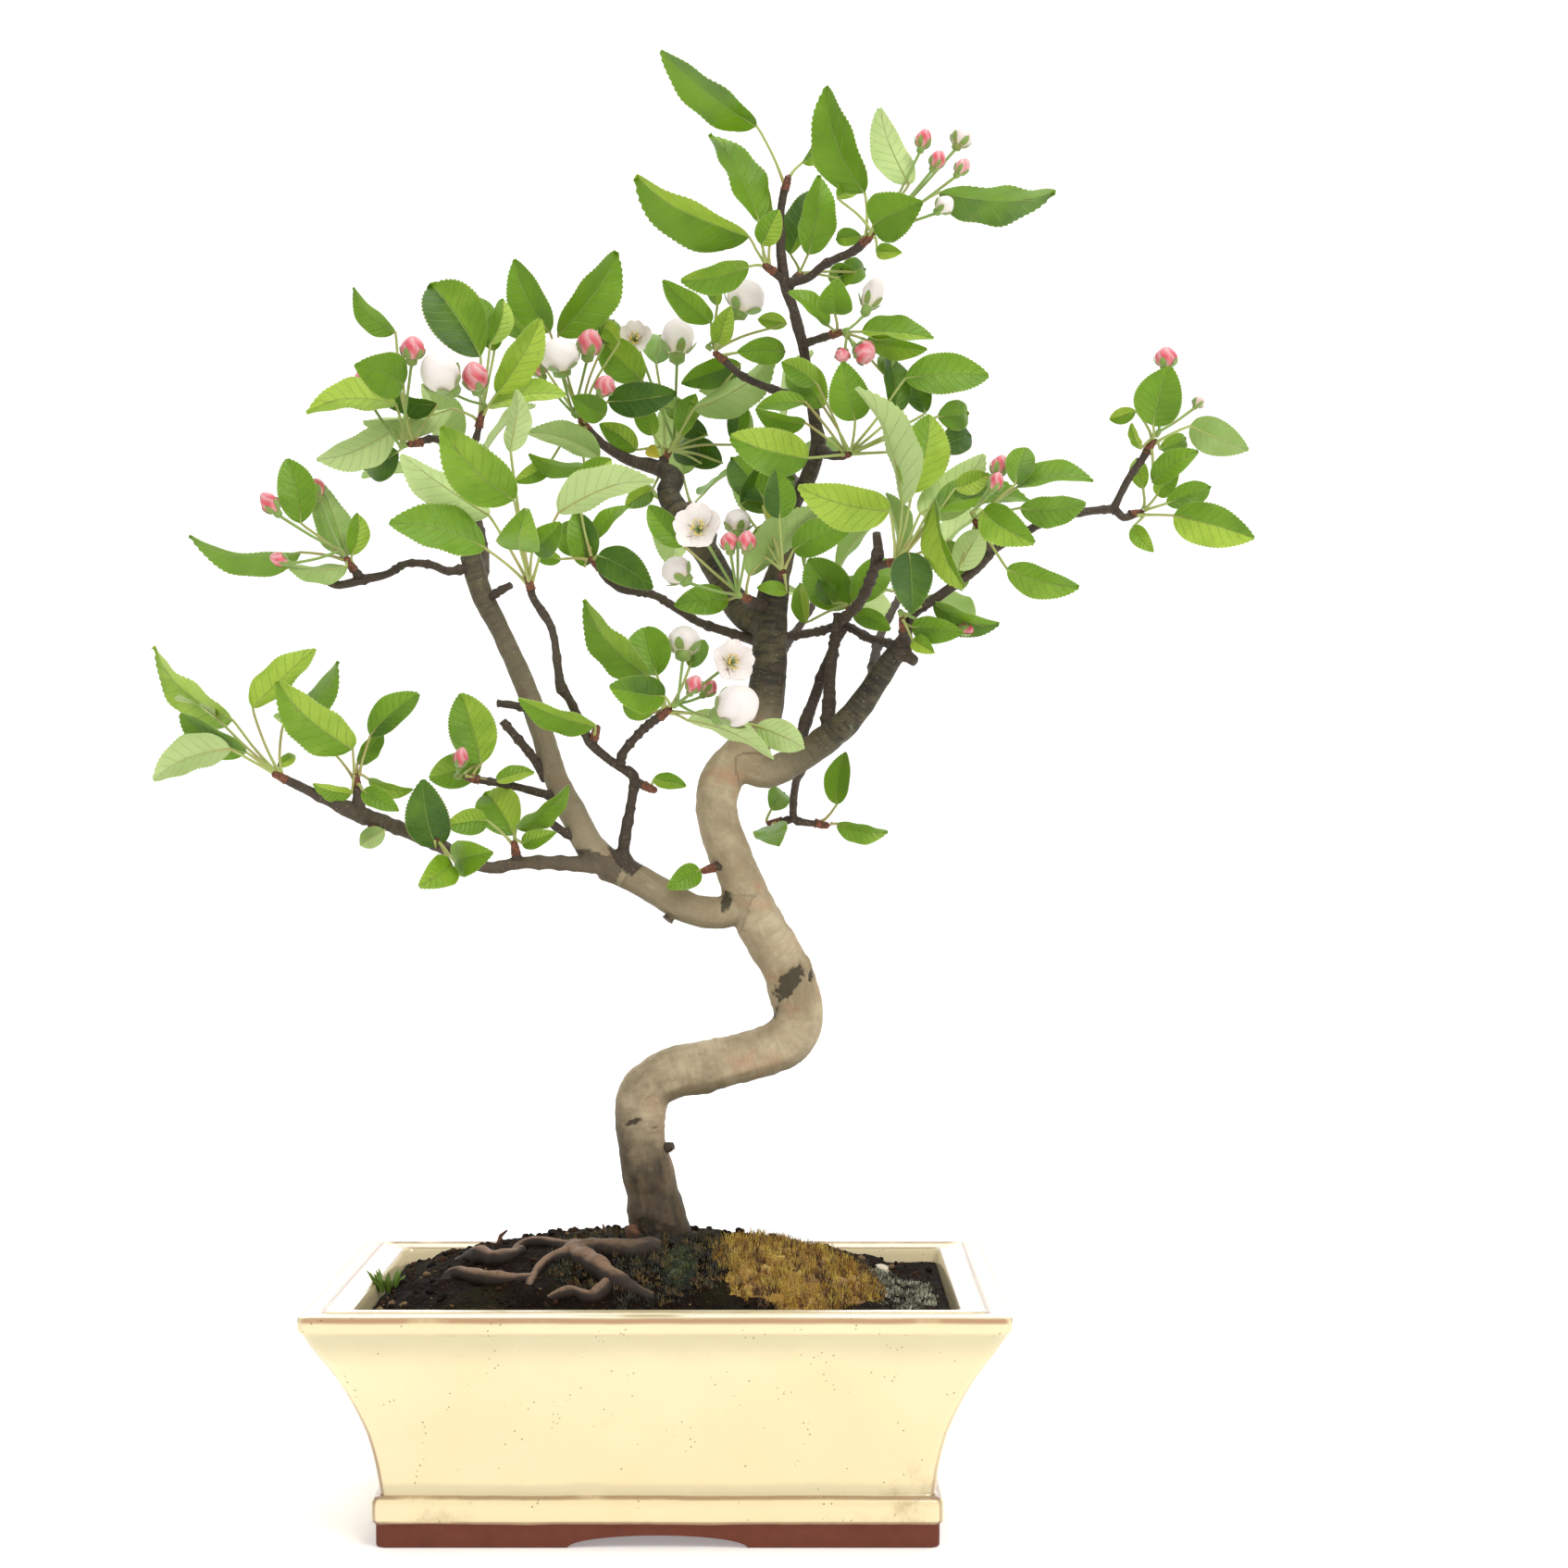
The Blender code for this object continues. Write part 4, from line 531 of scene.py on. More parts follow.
# Leaves: blade base and tip in pixels, seen width in mm, lean from -1 (tip to the front) to 1
# (to the back), and 1 where the upper face shows or -1 where the underside does.
sprays = {
    "leaves_low_tip": ("branch_b", [
        (251, 778, 160, 703, 10.5, 0.5, 1), (233, 774, 188, 755, 6, 1, -1),
        (266, 813, 195, 770, 9.8, -0.4, 1), (249, 809, 164, 840, 12, -0.6, -1),
        (273, 765, 341, 701, 10.5, 0.6, 1), (306, 784, 370, 717, 9.8, 0.9, 1),
    ]),
    "leaves_low_mid": ("spur_b2", [
        (381, 809, 297, 739, 15.7, -0.3, 1), (354, 806, 295, 774, 9, 0.6, -1),
        (400, 795, 453, 750, 10.5, 0.4, 1), (386, 825, 415, 790, 6.3, 0.9, 1),
        (392, 854, 431, 876, 7, -0.8, 1),
    ]),
    "leaf_low_under": ("spur_b3", [(415, 897, 388, 914, 7, -0.7, -1)]),
    "leaves_low_right": ("spur_b4", [
        (471, 915, 457, 842, 14.7, -0.3, 1), (491, 931, 533, 921, 12, -0.9, 1),
        (488, 934, 456, 956, 11, -0.9, 1),
    ]),
    "leaves_fork": ("low_twig", [
        (520, 825, 498, 749, 16, 0.3, 1), (520, 824, 464, 841, 12, 0.3, 1),
    ]),
    "leaves_fork_low": ("spur_b5", [
        (555, 902, 523, 854, 15.4, 0.4, 1), (558, 895, 617, 852, 7, -0.3, 1),
        (526, 886, 482, 892, 9, -0.5, 1),
    ]),
    "leaf_middle": ("spur_c2", [(643, 784, 560, 754, 8.4, -0.4, 1)]),
    "leaves_middle_top": ("branch_c", [
        (555, 540, 476, 462, 18, -0.4, 1), (524, 592, 420, 566, 15.4, -0.3, 1),
        (528, 557, 433, 491, 12.6, 0.2, -1), (552, 488, 562, 422, 8.4, 0.3, -1),
        (603, 554, 706, 514, 12.6, -0.3, -1), (562, 594, 568, 557, 14, -1, 1),
        (575, 594, 605, 566, 10.5, -0.9, 1),
    ]),
    "leaves_thin_left": ("thin_left", [
        (646, 600, 705, 636, 12.6, -0.5, 1), (643, 594, 603, 570, 12.6, 0.5, 1),
        (640, 586, 680, 543, 6, 0.7, 1),
    ]),
    "leaves_upper_left": ("spur_ul2", [
        (325, 597, 203, 585, 8.4, -0.3, 1), (325, 565, 310, 496, 13.3, 0.3, 1),
        (375, 600, 345, 520, 12.6, 0.5, -1), (380, 600, 387, 553, 7.7, 0.8, 1),
        (375, 612, 305, 612, 6.3, -0.7, -1),
    ]),
    "leaves_left_crown": ("up_twig", [
        (427, 359, 379, 312, 7.7, 0.3, 1), (436, 416, 382, 394, 15.7, -0.8, 1),
        (473, 437, 402, 417, 7, 0.6, 1), (428, 437, 330, 440, 10.5, -0.2, 1),
        (425, 465, 343, 500, 12.6, -0.4, -1), (430, 488, 390, 508, 12, 0.7, 1),
    ]),
    "leaves_left_top": ("up_twig_side", [
        (519, 385, 463, 304, 20, 0.3, 1), (534, 379, 511, 316, 10.5, 0.8, 1),
        (488, 442, 392, 454, 8.4, -0.6, -1), (537, 425, 585, 345, 12, -0.3, 1),
        (528, 439, 611, 425, 8.4, -0.5, 1), (530, 372, 545, 322, 8, 1, 1),
    ]),
    "leaves_centre_left": ("left_back", [
        (594, 359, 554, 280, 13.3, 0.3, 1), (603, 362, 671, 274, 15.4, 0.2, 1),
        (568, 365, 537, 336, 9, 0.8, 1), (648, 494, 568, 465, 9.8, -0.5, -1),
        (631, 503, 571, 494, 6.3, -0.8, 1), (594, 500, 557, 520, 7, -0.9, 1),
        (654, 448, 617, 428, 9.8, -0.9, 1), (657, 434, 730, 425, 12.6, -0.4, 1),
        (694, 411, 648, 365, 14, 0.3, 1),
    ]),
    "leaves_centre_back": ("spur_lb2", [
        (709, 393, 714, 360, 12, 0.9, 1), (750, 442, 841, 388, 12, -0.3, -1),
        (800, 393, 736, 415, 10.5, 0.5, 1), (735, 470, 752, 425, 8, 0.9, 1),
        (706, 470, 690, 425, 8, -0.6, 1),
    ]),
    "leaves_inner": ("twig_inner", [
        (768, 348, 716, 303, 9.8, -0.3, 1), (848, 380, 797, 380, 9.8, -0.7, 1),
    ]),
    "leaves_top_left": ("spur_top_left", [
        (809, 256, 682, 199, 15, -0.2, 1), (819, 237, 771, 141, 12, 0.3, 1),
        (835, 243, 813, 176, 9, 0.6, 1), (824, 265, 841, 227, 9, -0.7, 1),
        (809, 288, 736, 304, 10.5, -0.6, 1),
    ]),
    "leaves_summit": ("trunk", [
        (817, 136, 714, 54, 12.6, -0.3, 1), (867, 176, 905, 132, 6.3, 0.7, 1),
    ]),
    "leaves_top_right": ("top_right", [
        (934, 208, 892, 93, 15.5, 0.2, 1), (943, 243, 997, 218, 17, -0.6, 1),
        (982, 199, 947, 120, 12, 0.6, -1), (1015, 208, 1141, 213, 13.3, -0.2, 1),
    ]),
    "leaves_top_back": ("spur_top_back", [
        (854, 275, 888, 199, 10.5, 0.5, 1), (873, 275, 888, 189, 12.6, -0.1, 1),
    ]),
    "leaves_right_upper": ("spur_r3", [
        (902, 339, 905, 302, 12, -0.6, 1), (895, 352, 854, 313, 6.3, -0.6, 1),
        (931, 358, 1009, 364, 8.4, -0.3, 1), (937, 368, 1001, 379, 7.7, -0.7, 1),
    ]),
    "leaves_right_crown": ("spur_r4", [
        (924, 454, 911, 391, 14, -0.4, 1), (968, 447, 962, 383, 9, 0.6, 1),
        (883, 415, 844, 391, 9, 0.4, 1), (870, 434, 817, 438, 6.3, 0.5, 1),
        (870, 457, 816, 444, 7, -0.5, 1), (873, 495, 790, 472, 16, -0.4, 1),
        (978, 409, 1068, 407, 14, 0.3, 1), (1013, 450, 1049, 446, 10.5, 0.6, 1),
    ]),
    "leaves_right_front": ("spur_r5", [
        (961, 552, 862, 527, 15.4, -0.4, 1), (975, 546, 934, 415, 10.5, 0.3, -1),
        (985, 533, 1004, 447, 17, 0.2, 1), (994, 555, 1064, 492, 15, 0.4, -1),
        (1010, 552, 1116, 536, 11, -0.2, 1), (1010, 539, 1034, 637, 7.7, -0.5, 1),
        (982, 597, 985, 664, 14, -0.6, 1), (1026, 584, 1040, 640, 10, 0.5, 1),
    ]),
    "leaves_right_twig": ("spur_r6", [
        (1099, 526, 1181, 516, 7.7, -0.4, 1), (1102, 549, 1173, 543, 10.5, 0.3, 1),
        (1097, 523, 1110, 484, 9.8, 0.5, 1), (1062, 552, 1115, 585, 13, -0.8, 1),
        (1036, 616, 1061, 571, 10.5, 0.6, -1), (1088, 615, 1164, 639, 10.5, -0.4, 1),
    ]),
    "leaves_right_low": ("spur_r7", [
        (1008, 651, 1078, 678, 8.4, -0.4, 1), (985, 677, 1041, 683, 9, -0.7, 1),
    ]),
    "leaves_right_inner": ("spur_r8", [
        (915, 657, 873, 603, 16, 0.4, 1), (921, 651, 961, 603, 12, 0.5, 1),
    ]),
    "leaves_trunk_left": ("spur_t1", [
        (809, 622, 888, 543, 12, -0.4, -1), (787, 648, 728, 654, 10.5, -0.5, 1),
        (739, 590, 701, 546, 9.8, 0.3, 1),
    ]),
    "leaves_trunk_front": ("spur_t2", [
        (857, 594, 924, 565, 12, -0.6, 1), (826, 540, 788, 492, 14, 0.5, 1),
        (842, 560, 838, 508, 11, 0.3, 1),
    ]),
    "leaves_far_right": ("outer_up", [
        (1246, 460, 1265, 396, 16, -0.2, 1),
        (1286, 460, 1349, 486, 12.6, 0.3, -1),
        (1245, 521, 1293, 486, 9, -0.7, 1),
    ]),
    "leaves_far_right_low": ("outer_right", [
        (1260, 544, 1310, 525, 9, 0.7, 1), (1268, 557, 1355, 582, 14.7, -0.3, 1),
    ]),
    "leaves_blossom": ("blossom_arm", [
        (701, 730, 626, 651, 12, 0.2, 1), (710, 730, 697, 678, 15.4, 0.3, 1),
        (718, 752, 658, 741, 12.6, -0.7, 1), (745, 721, 762, 691, 7.7, 0.7, 1),
        (743, 778, 836, 820, 7.7, -0.3, -1), (817, 784, 870, 809, 10.5, -0.6, -1),
    ]),
    "leaf_knob": ("blossom_knob", [(706, 842, 741, 848, 5.6, -0.4, 1)]),
    "leaf_trunk": ("spur_t3", [(756, 940, 722, 959, 8.4, -0.6, 1)]),
    "leaves_droop_right": ("drooping", [
        (904, 869, 913, 812, 9, 0.5, 1), (904, 890, 959, 902, 7, 0.3, 1),
    ]),
    "leaves_droop_left": ("drooping_left", [
        (833, 875, 849, 855, 8.4, 0.8, 1), (834, 892, 842, 915, 12, -0.8, 1),
    ]),
}

# Flowers: middle in pixels, height and width in mm, depth in mm from the spur, and the kind.
flowers = {
    "flowers_low": ("low_twig", [(498, 818, 8, 5.5, -8, "bud")]),
    "flowers_upper_left": ("spur_ul2", [
        (291, 543, 9, 6.5, -12, "bud"), (343, 527, 8, 6, 12, "bud"), (301, 604, 7, 5, -16, "bud"),
    ]),
    "flowers_left_crown": ("up_twig", [
        (446, 376, 9, 9, -14, "bud"), (389, 412, 7, 5, 10, "bud"),
    ]),
    "flowers_left_top": ("up_twig_side", [
        (475, 402, 16, 14, -22, "ball"), (513, 406, 11.5, 10, -16, "bud"),
    ]),
    "flowers_centre_left": ("left_back", [
        (604, 383, 12.5, 15, -20, "ball"), (637, 370, 10.5, 10, -12, "bud"),
        (654, 416, 8, 8, -22, "bud"), (581, 396, 8, 7, -8, "bud"),
    ]),
    "flowers_centre_back": ("spur_lb2", [
        (686, 367, 12, 13, 4, "open"), (732, 364, 15, 13, 8, "ball"),
    ]),
    "flowers_inner": ("twig_inner", [(806, 320, 13, 15, -4, "ball")]),
    "flowers_top_right": ("top_right", [
        (998, 150, 8, 6, 6, "bud"), (1013, 172, 7, 6, -6, "bud"), (1040, 180, 7, 5.5, 2, "bud"),
        (1039, 148, 8, 8, 10, "bud"), (1021, 221, 7, 7, -12, "bud"),
    ]),
    "flowers_right_upper": ("spur_r3", [
        (943, 317, 14, 8, 4, "ball"), (935, 381, 7.5, 9, -12, "bud"), (910, 384, 6, 5.5, -14, "bud"),
    ]),
    "flowers_right_twig": ("spur_r6", [
        (1080, 503, 8.5, 6.5, 4, "bud"), (1076, 520, 7, 5.5, -8, "bud"),
    ]),
    "flowers_right_low": ("spur_r7", [(1046, 678, 8, 5.5, 10, "bud")]),
    "flowers_trunk_left": ("spur_t1", [
        (755, 572, 19, 17, -14, "open"), (797, 563, 9, 10, 2, "ball"),
        (788, 585, 7, 7, -12, "bud"), (807, 584, 7.5, 7, -16, "bud"), (730, 616, 10, 11, -6, "ball"),
    ]),
    "flowers_far_right": ("outer_up", [
        (1260, 386, 7.7, 8.5, -8, "bud"), (1295, 434, 4.5, 4.5, 6, "bud"),
    ]),
    "flowers_blossom": ("blossom_arm", [
        (790, 716, 15, 15, -4, "open"), (797, 762, 16, 15, -16, "ball"),
        (739, 692, 11, 12, 10, "ball"), (750, 739, 7, 6, -10, "bud"), (766, 743, 7, 6, 6, "bud"),
    ]),
}

# Leafy ends behind the tree: the twig, how many leaves, and the first one's angle.
backSprays = {
    "leaves_back_1": ("back_1", 4, 10),
    "leaves_back_2": ("back_2", 4, 40),
    "leaves_back_3": ("back_3", 4, 75),
    "leaves_back_4": ("back_4", 4, 100),
    "leaves_back_5": ("back_5", 4, 25),
}
rootStart = (715, 1352, 0)

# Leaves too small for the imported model, in the same form.
tinyLeaves = {
    "leaves_low_tip": [(300, 828, 320, 816, 4, 0.8, 1)],
    "leaves_low_mid": [(380, 857, 338, 848, 5.6, -0.7, 1), (398, 842, 445, 856, 5, -0.2, 1)],
    "leaves_fork": [(536, 844, 577, 832, 5.6, 0.6, 1)],
    "leaves_fork_low": [(564, 911, 601, 899, 6.3, -0.8, 1)],
    "leaves_centre_left": [(669, 370, 646, 349, 7, 0.9, 1)],
    "leaves_top_right": [
        (947, 272, 975, 273, 5.6, -0.9, 1), (931, 256, 902, 259, 6.3, 0.7, 1),
        (905, 214, 927, 189, 7, 0.9, 1),
    ],
    "leaves_top_back": [(924, 294, 895, 302, 8.4, 0.5, 1)],
    "leaves_right_low": [(986, 692, 1010, 706, 6, -0.9, 1)],
    "leaves_right_inner": [(870, 673, 862, 629, 6.3, 0.6, 1)],
    "leaves_far_right": [
        (1227, 444, 1199, 453, 5.6, 0.8, 1), (1253, 485, 1283, 472, 7, 0.8, 1),
        (1232, 485, 1221, 458, 3.5, -0.8, 1),
    ],
    "leaves_far_right_low": [
        (1235, 528, 1228, 494, 6.3, 0.5, 1), (1250, 535, 1272, 510, 7, -0.6, 1),
        (1224, 569, 1246, 596, 6.3, -0.6, 1),
    ],
    "leaves_blossom": [(706, 770, 672, 763, 7, 0.8, 1)],
}

# Leaves that the imported model has no faces left for: the same form, then how light each one is, partly
# its own colour and partly painted light and shade.
moreLeaves = {
    "leaves_centre_left": [(652, 372, 664, 344, 8, 0.6, 1, -0.4)],
    "leaves_centre_back": [
        (688, 486, 648, 458, 9, -0.3, 1, 0), (757, 445, 716, 440, 8, 0.4, 1, 0.1),
        (764, 470, 735, 456, 8, 0.7, 1, -0.6), (780, 500, 738, 482, 11, 0.6, 1, -0.7),
        (757, 500, 730, 478, 9, 0.8, 1, -0.7), (704, 530, 675, 548, 8, -0.4, 1, -0.2),
        (795, 480, 800, 432, 8, 0.8, 1, -0.6), (700, 484, 712, 494, 4.5, -0.4, 1, 2.2),
    ],
    "leaves_thin_left": [
        (625, 528, 660, 496, 10, 0.3, 1, 0.2), (632, 612, 622, 552, 11, 0.5, 1, 0),
        (606, 604, 580, 604, 5, 0.3, 1, 0),
    ],
    "leaves_inner": [
        (775, 330, 772, 303, 5, 0.5, 1, 0.2), (777, 372, 790, 330, 8, -0.3, 1, 0.5),
        (850, 350, 818, 345, 6, 0.3, 1, 0.5),
    ],
    "leaves_top_back": [(905, 300, 938, 290, 9, 0.7, 1, -0.5)],
    "leaves_right_upper": [(955, 404, 957, 380, 6, 0.2, 1, 0)],
    "leaves_right_crown": [
        (890, 440, 850, 392, 13, 0.3, 1, 0), (1000, 446, 985, 400, 9, 0.8, 1, -0.7),
        (1012, 486, 1050, 470, 10, 0.7, 1, -0.7),
    ],
    "leaves_trunk_front": [
        (826, 540, 788, 492, 14, 0.5, 1, -0.6), (800, 545, 860, 515, 16, 0.5, 1, -0.6),
        (812, 592, 842, 572, 9, 0.2, 1, 0.5), (850, 640, 818, 634, 5, -0.3, 1, 0.3),
        (824, 547, 855, 564, 6, -0.4, 1, 2.2),
    ],
    "leaves_right_inner": [
        (900, 652, 884, 626, 7, 0.7, 1, -0.5), (922, 664, 962, 680, 7, -0.4, 1, 0),
    ],
    "leaves_right_low": [(1008, 651, 1078, 678, 8.4, -0.4, 1, 0)],
    "leaves_right_front": [(1032, 528, 1068, 512, 8, 0.2, 1, 0.5)],
}


# Camera, light and floor

studio = {
    "floorSize": 6.0,
    "sweepStart": 1.6,
    "sweepRadius": 0.9,
    "worldStrength": 0.5,
    "floorGlow": 0.28,
    # where each lamp stands, what it looks at, its size, its power and its colour
    "lamps": {
        "keyLight": [(0.9, -1.35, 1.9), (0, 0, 0.25), (1.0, 1.0), 25, (1, 0.985, 0.96)],
        "fillLight": [(-1.5, -1.3, 0.9), (0, 0, 0.25), (1.6, 1.4), 4],
        "topLight": [(0.1, 0.2, 2.0), (0, 0, 0.2), (1.4, 1.4), 16],
        "backLight": [(0.2, 1.5, 1.0), (0, 0, 0.35), (2.2, 1.4), 10],
    },
}


def setCamera():
    camera = bpy.data.cameras.new("photoCamera")
    camera.lens = view["focalLength"]
    camera.sensor_width = 36
    camera.clip_start = 0.05
    holder = bpy.data.objects.new("photoCamera", camera)
    holder.location = view["eye"] + potMiddle
    holder.rotation_euler = (math.radians(90), 0, 0)
    bpy.context.collection.objects.link(holder)
    bpy.context.scene.camera = holder


def softLight(name, place, aim, size, power, colour=(1, 1, 1)):
    lamp = bpy.data.lights.new(name, "AREA")
    lamp.shape = "RECTANGLE"
    lamp.size, lamp.size_y = size
    lamp.energy = power
    lamp.color = colour
    holder = bpy.data.objects.new(name, lamp)
    holder.location = place
    holder.rotation_euler = (Vector(aim) - Vector(place)).to_track_quat("-Z", "Y").to_euler()
    bpy.context.collection.objects.link(holder)


def setStudio():
    # a pale floor that curves up into a pale wall far behind
    size = studio["floorSize"]
    deselect()
    bpy.ops.mesh.primitive_plane_add(size=size, location=(0, studio["sweepStart"] - size / 2, 0))
    floor = bpy.context.object
    floor.name = "studioFloor"
    pick(floor)
    bpy.ops.object.transform_apply(location=True)
    bpy.ops.object.mode_set(mode="EDIT")
    shape = bmesh.from_edit_mesh(floor.data)
    bpy.ops.mesh.select_mode(type="EDGE")
    bpy.ops.mesh.select_all(action="DESELECT")
    for edge in shape.edges:
        edge.select_set(all(abs(vert.co.y - studio["sweepStart"]) < 0.001 for vert in edge.verts))
    bmesh.update_edit_mesh(floor.data)
    radius = studio["sweepRadius"]
    bpy.ops.mesh.spin(
        steps=24, angle=math.radians(-90), center=(0, studio["sweepStart"], radius), axis=(1, 0, 0),
    )
    bpy.ops.mesh.extrude_region_move(TRANSFORM_OT_translate={"value": (0, 0, 2.5)})
    bpy.ops.object.mode_set(mode="OBJECT")
    smoothShade(floor, 60)
    pale = Finish("paleFloor", roughness=0.9)
    wear = pale.grain(2.2, detail=2)
    pale.colour(pale.mix(wear, tint(250, 250, 249), tint(247, 247, 246)))
    pale.shader.inputs["Emission Color"].default_value = (1, 1, 1, 1)
    pale.shader.inputs["Emission Strength"].default_value = studio["floorGlow"]
    floor.data.materials.append(pale.material)
    bpy.context.scene.view_settings.view_transform = "Standard"

    world = bpy.data.worlds.new("paleRoom")
    world.use_nodes = True
    world.node_tree.nodes["Background"].inputs["Color"].default_value = (1, 1, 1, 1)
    world.node_tree.nodes["Background"].inputs["Strength"].default_value = studio["worldStrength"]
    bpy.context.scene.world = world
    for name, lamp in studio["lamps"].items():
        softLight(name, *lamp)


setCamera()
setStudio()
print("studio ready")


# Pot

potShape = {
    "rimLength": 250 * mm,
    "rimDepth": 185 * mm,
    "corner": 3.2 * mm,
    "floorTop": 13 * mm,
    "drainDiameter": 16 * mm,
    "drainOffset": 50 * mm,
    "archWidth": 64 * mm,
    "archHeight": 4.5 * mm,
    # inset from the rim's edge and height in mm, from under the floor round the foot and up the wall
    "underside": [(35, 7), (34.4, 3), (33.9, 0.5), (33.4, 0)],
    "outside": [
        (25.1, 0), (24.7, 0.3), (24.55, 0.9), (24.5, 4), (24.5, 7.6), (24.2, 8.3), (23.5, 8.9),
        (23.15, 9.7), (23.0, 10.8), (23.0, 13), (23.05, 15.4), (23.3, 16.6), (23.8, 17.4),
        (24.7, 18.0), (25.6, 18.3), (25.9, 18.9), (25.75, 20), (25.2, 24), (24.4, 29), (23.1, 35),
        (21.5, 41), (19.6, 46), (17.5, 51), (14.9, 56.6), (12, 62), (8.7, 67.2), (5.6, 72), (3.2, 76),
        (1.9, 78.4), (1.3, 79.5), (0.75, 79.9), (0.25, 80.5), (0.05, 81.3), (0, 83), (0.05, 84.8),
        (0.3, 85.6), (0.9, 86),
    ],
    "top": [
        (3.5, 86.05), (6.4, 86), (7.0, 86.25), (7.7, 86.7), (8.5, 86.7), (9.2, 86.2), (10.2, 85.8),
        (13, 85.7), (15.8, 85.9), (16.9, 86), (17.6, 85.7), (18.0, 85.1), (18.4, 83), (20.8, 71),
        (26, 45), (31.2, 20), (32.4, 15.5), (34.2, 13.6), (37, 13),
    ],
}


def makePot():
    length, depth = potShape["rimLength"], potShape["rimDepth"]
    rings = potShape["underside"] + potShape["outside"] + potShape["top"]
    inset, height = rings[0]
    deselect()
    bpy.ops.mesh.primitive_plane_add(size=1, location=(0, 0, 0))
    pot = bpy.context.object
    sizes = [(length - 2 * inset * mm, depth - 2 * inset * mm) for inset, height in rings]
    pot.data.transform(Matrix.Diagonal((*sizes[0], 1, 1)))
    pot.data.transform(Matrix.Translation((0, 0, height * mm)))
    editAll(pot)
    bpy.ops.mesh.bevel(offset=potShape["corner"], segments=5, affect="VERTICES")
    for (was, now), (wasSize, nowSize) in zip(zip(rings, rings[1:]), zip(sizes, sizes[1:])):
        bpy.ops.mesh.extrude_region_move(
            TRANSFORM_OT_translate={"value": (0, 0, (now[1] - was[1]) * mm)}
        )
        bpy.ops.transform.resize(
            value=(nowSize[0] / wasSize[0], nowSize[1] / wasSize[1], 1),
            center_override=(0, 0, now[1] * mm),
        )
    faceOut(pot)

    cutters = []
    for side in (-1, 1):
        bpy.ops.mesh.primitive_cylinder_add(
            vertices=40, radius=potShape["drainDiameter"] / 2, depth=30 * mm,
            location=(side * potShape["drainOffset"], 0, potShape["floorTop"]),
        )
        cutters.append(bpy.context.object)
    bpy.ops.mesh.primitive_cylinder_add(
        vertices=64, radius=1, depth=depth * 1.2, rotation=(math.radians(90), 0, 0),
    )
    arch = bpy.context.object
    arch.scale = (potShape["archWidth"] / 2, potShape["archHeight"], 1)
    cutters.append(arch)
    for cutter in cutters:
        cut = pot.modifiers.new("Cut", "BOOLEAN")
        cut.operation = "DIFFERENCE"
        cut.object = cutter
        cut.solver = "EXACT"
    applyModifiers(pot)
    for cutter in cutters:
        bpy.data.objects.remove(cutter, do_unlink=True)
    pot.name = pot.data.name = "glazedPot"

    # the wheel and the hand leave the walls a little uneven
    co = points(pot)
    for i, (x, y, z) in enumerate(co):
        sway = noise.noise(Vector((x * 14, y * 14, z * 18))) * 0.35 * mm
        out = Vector((x, y, 0)).normalized() * sway * min(1, max(0, z - 6 * mm) / (20 * mm))
        co[i] += out
    setPoints(pot, co)
    levels = [height for inset, height in potShape["outside"]]
    insets = [inset for inset, height in potShape["outside"]]
    inset = np.minimum(length / 2 - np.abs(co[:, 0]), depth / 2 - np.abs(co[:, 1])) / mm
    within = inset > np.interp(co[:, 2] / mm, levels, insets) + 3
    mark(pot, "inner", within & (co[:, 2] < 85.5 * mm))
    wall = np.interp(co[:, 2] / mm, levels, insets)
    across = length / 2 / mm - np.abs(co[:, 0]) / mm - wall
    along = depth / 2 / mm - np.abs(co[:, 1]) / mm - wall
    mark(pot, "corner", np.clip(1 - np.maximum(across, along) / 2.6, 0, 1) * ~within)
    pot.data.transform(Matrix.Translation(potMiddle))
    smoothShade(pot, 32)
    return pot


